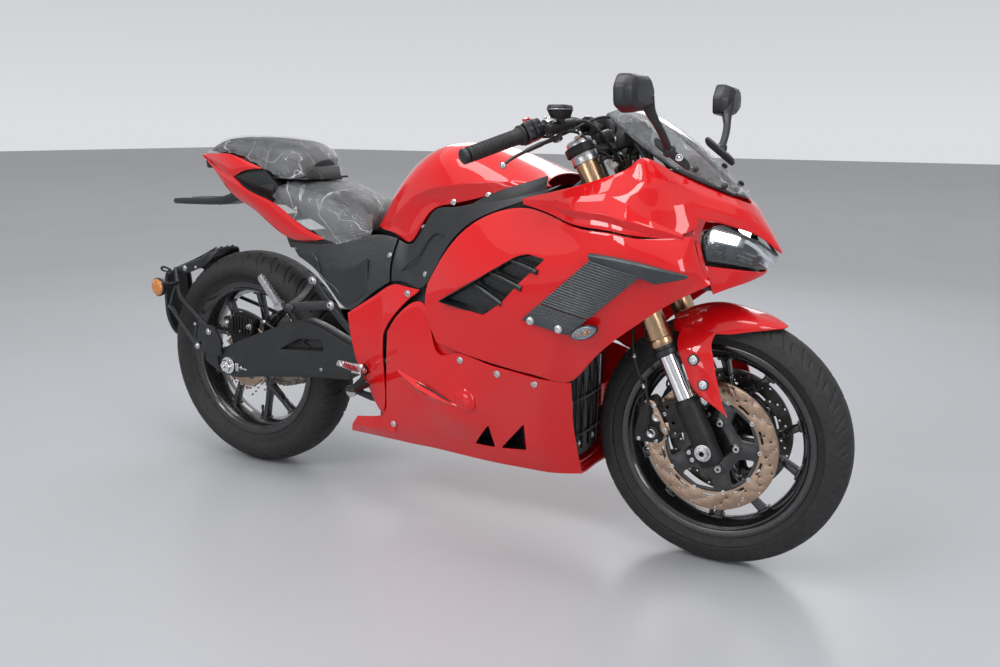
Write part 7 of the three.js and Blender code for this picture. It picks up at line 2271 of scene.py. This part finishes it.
# Scoops behind the belly's slots: a dark pocket with one red slanting wall.
for number, (tip, rear, front) in enumerate(SLOTS):
    depth_at = [-182 + 0.42 * max(0, 300 - z) for _, z in (tip, rear, front)]
    face = [(tip[0], depth_at[0], tip[1]), (rear[0], depth_at[1], rear[1]), (front[0], depth_at[2], front[1])]
    middle = np.mean(face, axis=0)
    pocket = loft([[tuple(middle + (np.array(p) - middle) * 1.22 + np.array([0, 5, 0])) for p in face],
        [tuple(middle + (np.array(p) - middle) * 0.8 + np.array([0, 44, 0])) for p in face]], caps=False)
    make(f"slot_{number}_pocket_#", (pocket[0], pocket[1] + [[3, 4, 5]]), "fin_black_and_groove_shade", "chassis", bevel=0,
        wall=2, toward=(middle[0], -400, middle[2]))
    a, b = np.array(face[0]) + (1, 3, 3), np.array(face[2]) + (3, 3, -4)
    c, d = b + (-30, 30, 8), a * 0.45 + b * 0.55 + (-20, 34, 4)
    make(f"slot_{number}_wall_#", loft([[tuple(p) for p in (a, b, c, d)],
        [tuple(p + np.array([3, 3, 0])) for p in (a, b, c, d)]]), "gloss_red", "chassis", bevel=0.8)

# Sheets behind the seams close the gaps between the panels.
LINER = [
    [(150, -196, 530), (120, -196, 480), (70, -196, 445), (20, -186, 430)],
    [(120, -198, 600), (90, -200, 540), (40, -200, 500), (-10, -184, 470)],
    [(70, -186, 660), (40, -182, 620), (0, -178, 590), (-40, -170, 550)],
    [(20, -150, 700), (-10, -160, 640), (-60, -160, 600), (-90, -160, 560)],
    [(-60, -128, 700), (-90, -140, 650), (-130, -150, 590), (-150, -156, 540)],
    [(-170, -118, 712), (-190, -132, 650), (-215, -144, 570), (-226, -150, 510)],
]
make("seam_liner_#", as_mesh(surface([[(x, y + 8, z) for x, y, z in row] for row in LINER], 12)),
    "satin_black", "chassis", bevel=0, wall=2, toward=(0, 0, 560))
upper_liner = [[(x, y + 9 + d, z + k) for d, k in ((6, -34), (0, -8), (2, 16), (10, 40))] for x, y,
    z in ((36, -178, 650), (88, -180, 720), (170, -176, 782), (272, -172, 820), (338, -156, 842))]
make("fairing_liner_#", as_mesh(surface(upper_liner, 12)), "satin_black", "chassis", bevel=0, wall=2,
    toward=(150, 0, 700))
heel_liner = [[(x + d, y, z) for d, y in ((-24, -150), (0, -158), (24, -160))] for x,
    z in ((-20, 585), (-62, 560), (-86, 500), (-92, 430), (-96, 360), (-104, 290), (-106, 250))]
make("heel_liner_#", as_mesh(surface(heel_liner, 12)), "satin_black", "chassis", bevel=0, wall=2,
    toward=(-80, 0, 450))
step_panel = [[(20, -199, 500), (60, -200, 500), (110, -203, 480), (170, -206, 470)],
    [(20, -196, 470), (60, -199, 458), (110, -204, 440), (170, -206, 436)]]
make("belly_step_#", as_mesh(surface(step_panel, 10)), "gloss_red", "chassis", bevel=0.6, wall=3,
    toward=(80, 0, 460))

# Pressed seam line across the tank's side panel, drawn as a near-black tube: painted shade in the seam.
seam = curve([(84, -178, 732), (58, -168, 738), (30, -164, 718), (4, -162, 683), (-30, -162, 655),
    (-60, -158, 631), (-80, -157, 612)], 6)
make("tank_side_seam_#", sweep(seam, circle(1.5, 8)), "fin_black_and_groove_shade", "chassis", bevel=0)

PANEL_SCREWS = [(155, -219, 449), (258, -223, 430), (352, -218, 418), (-78, -166, 241), (-16, -186, 588)]
alloy("fairing_screws_#", *[screw(p, (-0.05, -1, -0.05), 5.6, 2.8) for p in PANEL_SCREWS])
alloy("cover_screws_#", screw((-98, -144, 672), (-0.18, -0.89, 0.42), 5, 2.4),
    screw((32, -181, 639), (-0.36, -0.9, 0.24), 5, 2.4))
alloy("tank_screws_#", *[screw(p, (0, -0.95, 0.25), 5, 3)
    for p in ((96, -152, 813), (193, -155, 833), (266, -150, 850))])

# Smooth lower half of the seat cover, with a groove drawn as a near-black tube in painted shade, and a sheet
# behind the tail's lower edge.
LOWER_COVER = [
    [(-430, -119, 664), (-422, -121, 655), (-412, -123, 644)],
    [(-330, -138, 650), (-322, -144, 622), (-312, -147, 596)],
    [(-236, -147, 628), (-234, -153, 580), (-232, -157, 536)],
    [(-166, -146, 660), (-162, -152, 618), (-160, -157, 578)],
]
make("lower_cover_#", as_mesh(surface(LOWER_COVER, 7)), "satin_black", "chassis", bevel=0.8, wall=3,
    toward=(-280, 0, 600))
# The groove line is painted shade.
make("lower_cover_groove_#", sweep(curve([(-352, -138, 657), (-330, -143, 636), (-322, -147, 612),
    (-258, -153, 566), (-246, -155, 548)], 8), circle(2.6, 8)), "fin_black_and_groove_shade", "chassis", bevel=0)
make("tail_liner_#", as_mesh(surface([[(-470, -106, 700), (-462, -106, 680), (-452, -108, 664)],
    [(-400, -110, 712), (-400, -114, 690), (-400, -116, 665)],
                                      [(-330, -118, 722), (-330, -122, 700), (-330, -124, 670)],
                                      [(-250, -114, 728), (-250, -118, 705), (-250, -122, 680)]], 10)),
                                      "satin_black", "chassis",
     bevel=0, wall=2, toward=(-350, 0, 690))


# ------------------------------------------------------------------ floor and light
floor = bpy.data.objects.new("floor", flat_mesh("floor", block((0, 0, -20.5), (60000, 60000, 40))))
bpy.context.scene.collection.objects.link(floor)
material("floor_grey", (0.40, 0.41, 0.43), 0.30, spread=0.03, scale=0.5, shine=0.015)
floor.data.materials.append(MATS["floor_grey"][0])


def softbox(name, at, aim, size, power):
    lamp = bpy.data.lights.new(name, "AREA")
    lamp.shape, lamp.size, lamp.size_y, lamp.energy = "RECTANGLE", size[0], size[1], power
    obj = bpy.data.objects.new(name, lamp)
    bpy.context.scene.collection.objects.link(obj)
    way = Vector(aim) - Vector(at)
    obj.matrix_world = Matrix.Translation(at) @ way.to_track_quat("-Z", "Y").to_matrix().to_4x4()


softbox("ceiling", (0, 0, 9.0), (0, 0, 0), (24, 24), 900)
softbox("top_box", (0.1, -0.5, 3.4), (0, 0, 0.4), (3.0, 1.0), 55)
softbox("front_box", (3.4, -1.6, 1.9), (0.3, 0, 0.6), (0.9, 1.9), 38)
softbox("side_box_a", (-1.35, -2.95, 3.2), (0.3, 0, 0.6), (0.8, 0.9), 26)
softbox("side_box_b", (-0.40, -3.25, 3.2), (0.3, 0, 0.6), (0.8, 0.9), 26)
softbox("low_box", (-0.6, -4.6, 0.9), (0, 0, 0.5), (2.4, 0.8), 26)
softbox("back_box", (-1.0, 3.4, 2.4), (0, 0, 0.6), (3.0, 1.4), 45)
world = bpy.data.worlds.new("studio")
bpy.context.scene.world = world
world.use_nodes = True
sky = world.node_tree
back = sky.nodes["Background"]
ramp = sky.nodes.new("ShaderNodeValToRGB")
split = sky.nodes.new("ShaderNodeSeparateXYZ")
coords = sky.nodes.new("ShaderNodeTexCoord")
sky.links.new(coords.outputs["Generated"], split.inputs["Vector"])
sky.links.new(split.outputs["Z"], ramp.inputs["Fac"])
ramp.color_ramp.elements[0].position, ramp.color_ramp.elements[0].color = 0.0, (0.80, 0.81, 0.84, 1)
ramp.color_ramp.elements[1].position, ramp.color_ramp.elements[1].color = 0.5, (0.34, 0.345, 0.36, 1)
sky.links.new(ramp.outputs["Color"], back.inputs["Color"])
back.inputs["Strength"].default_value = 0.9
bpy.context.scene.view_settings.view_transform = "Standard"
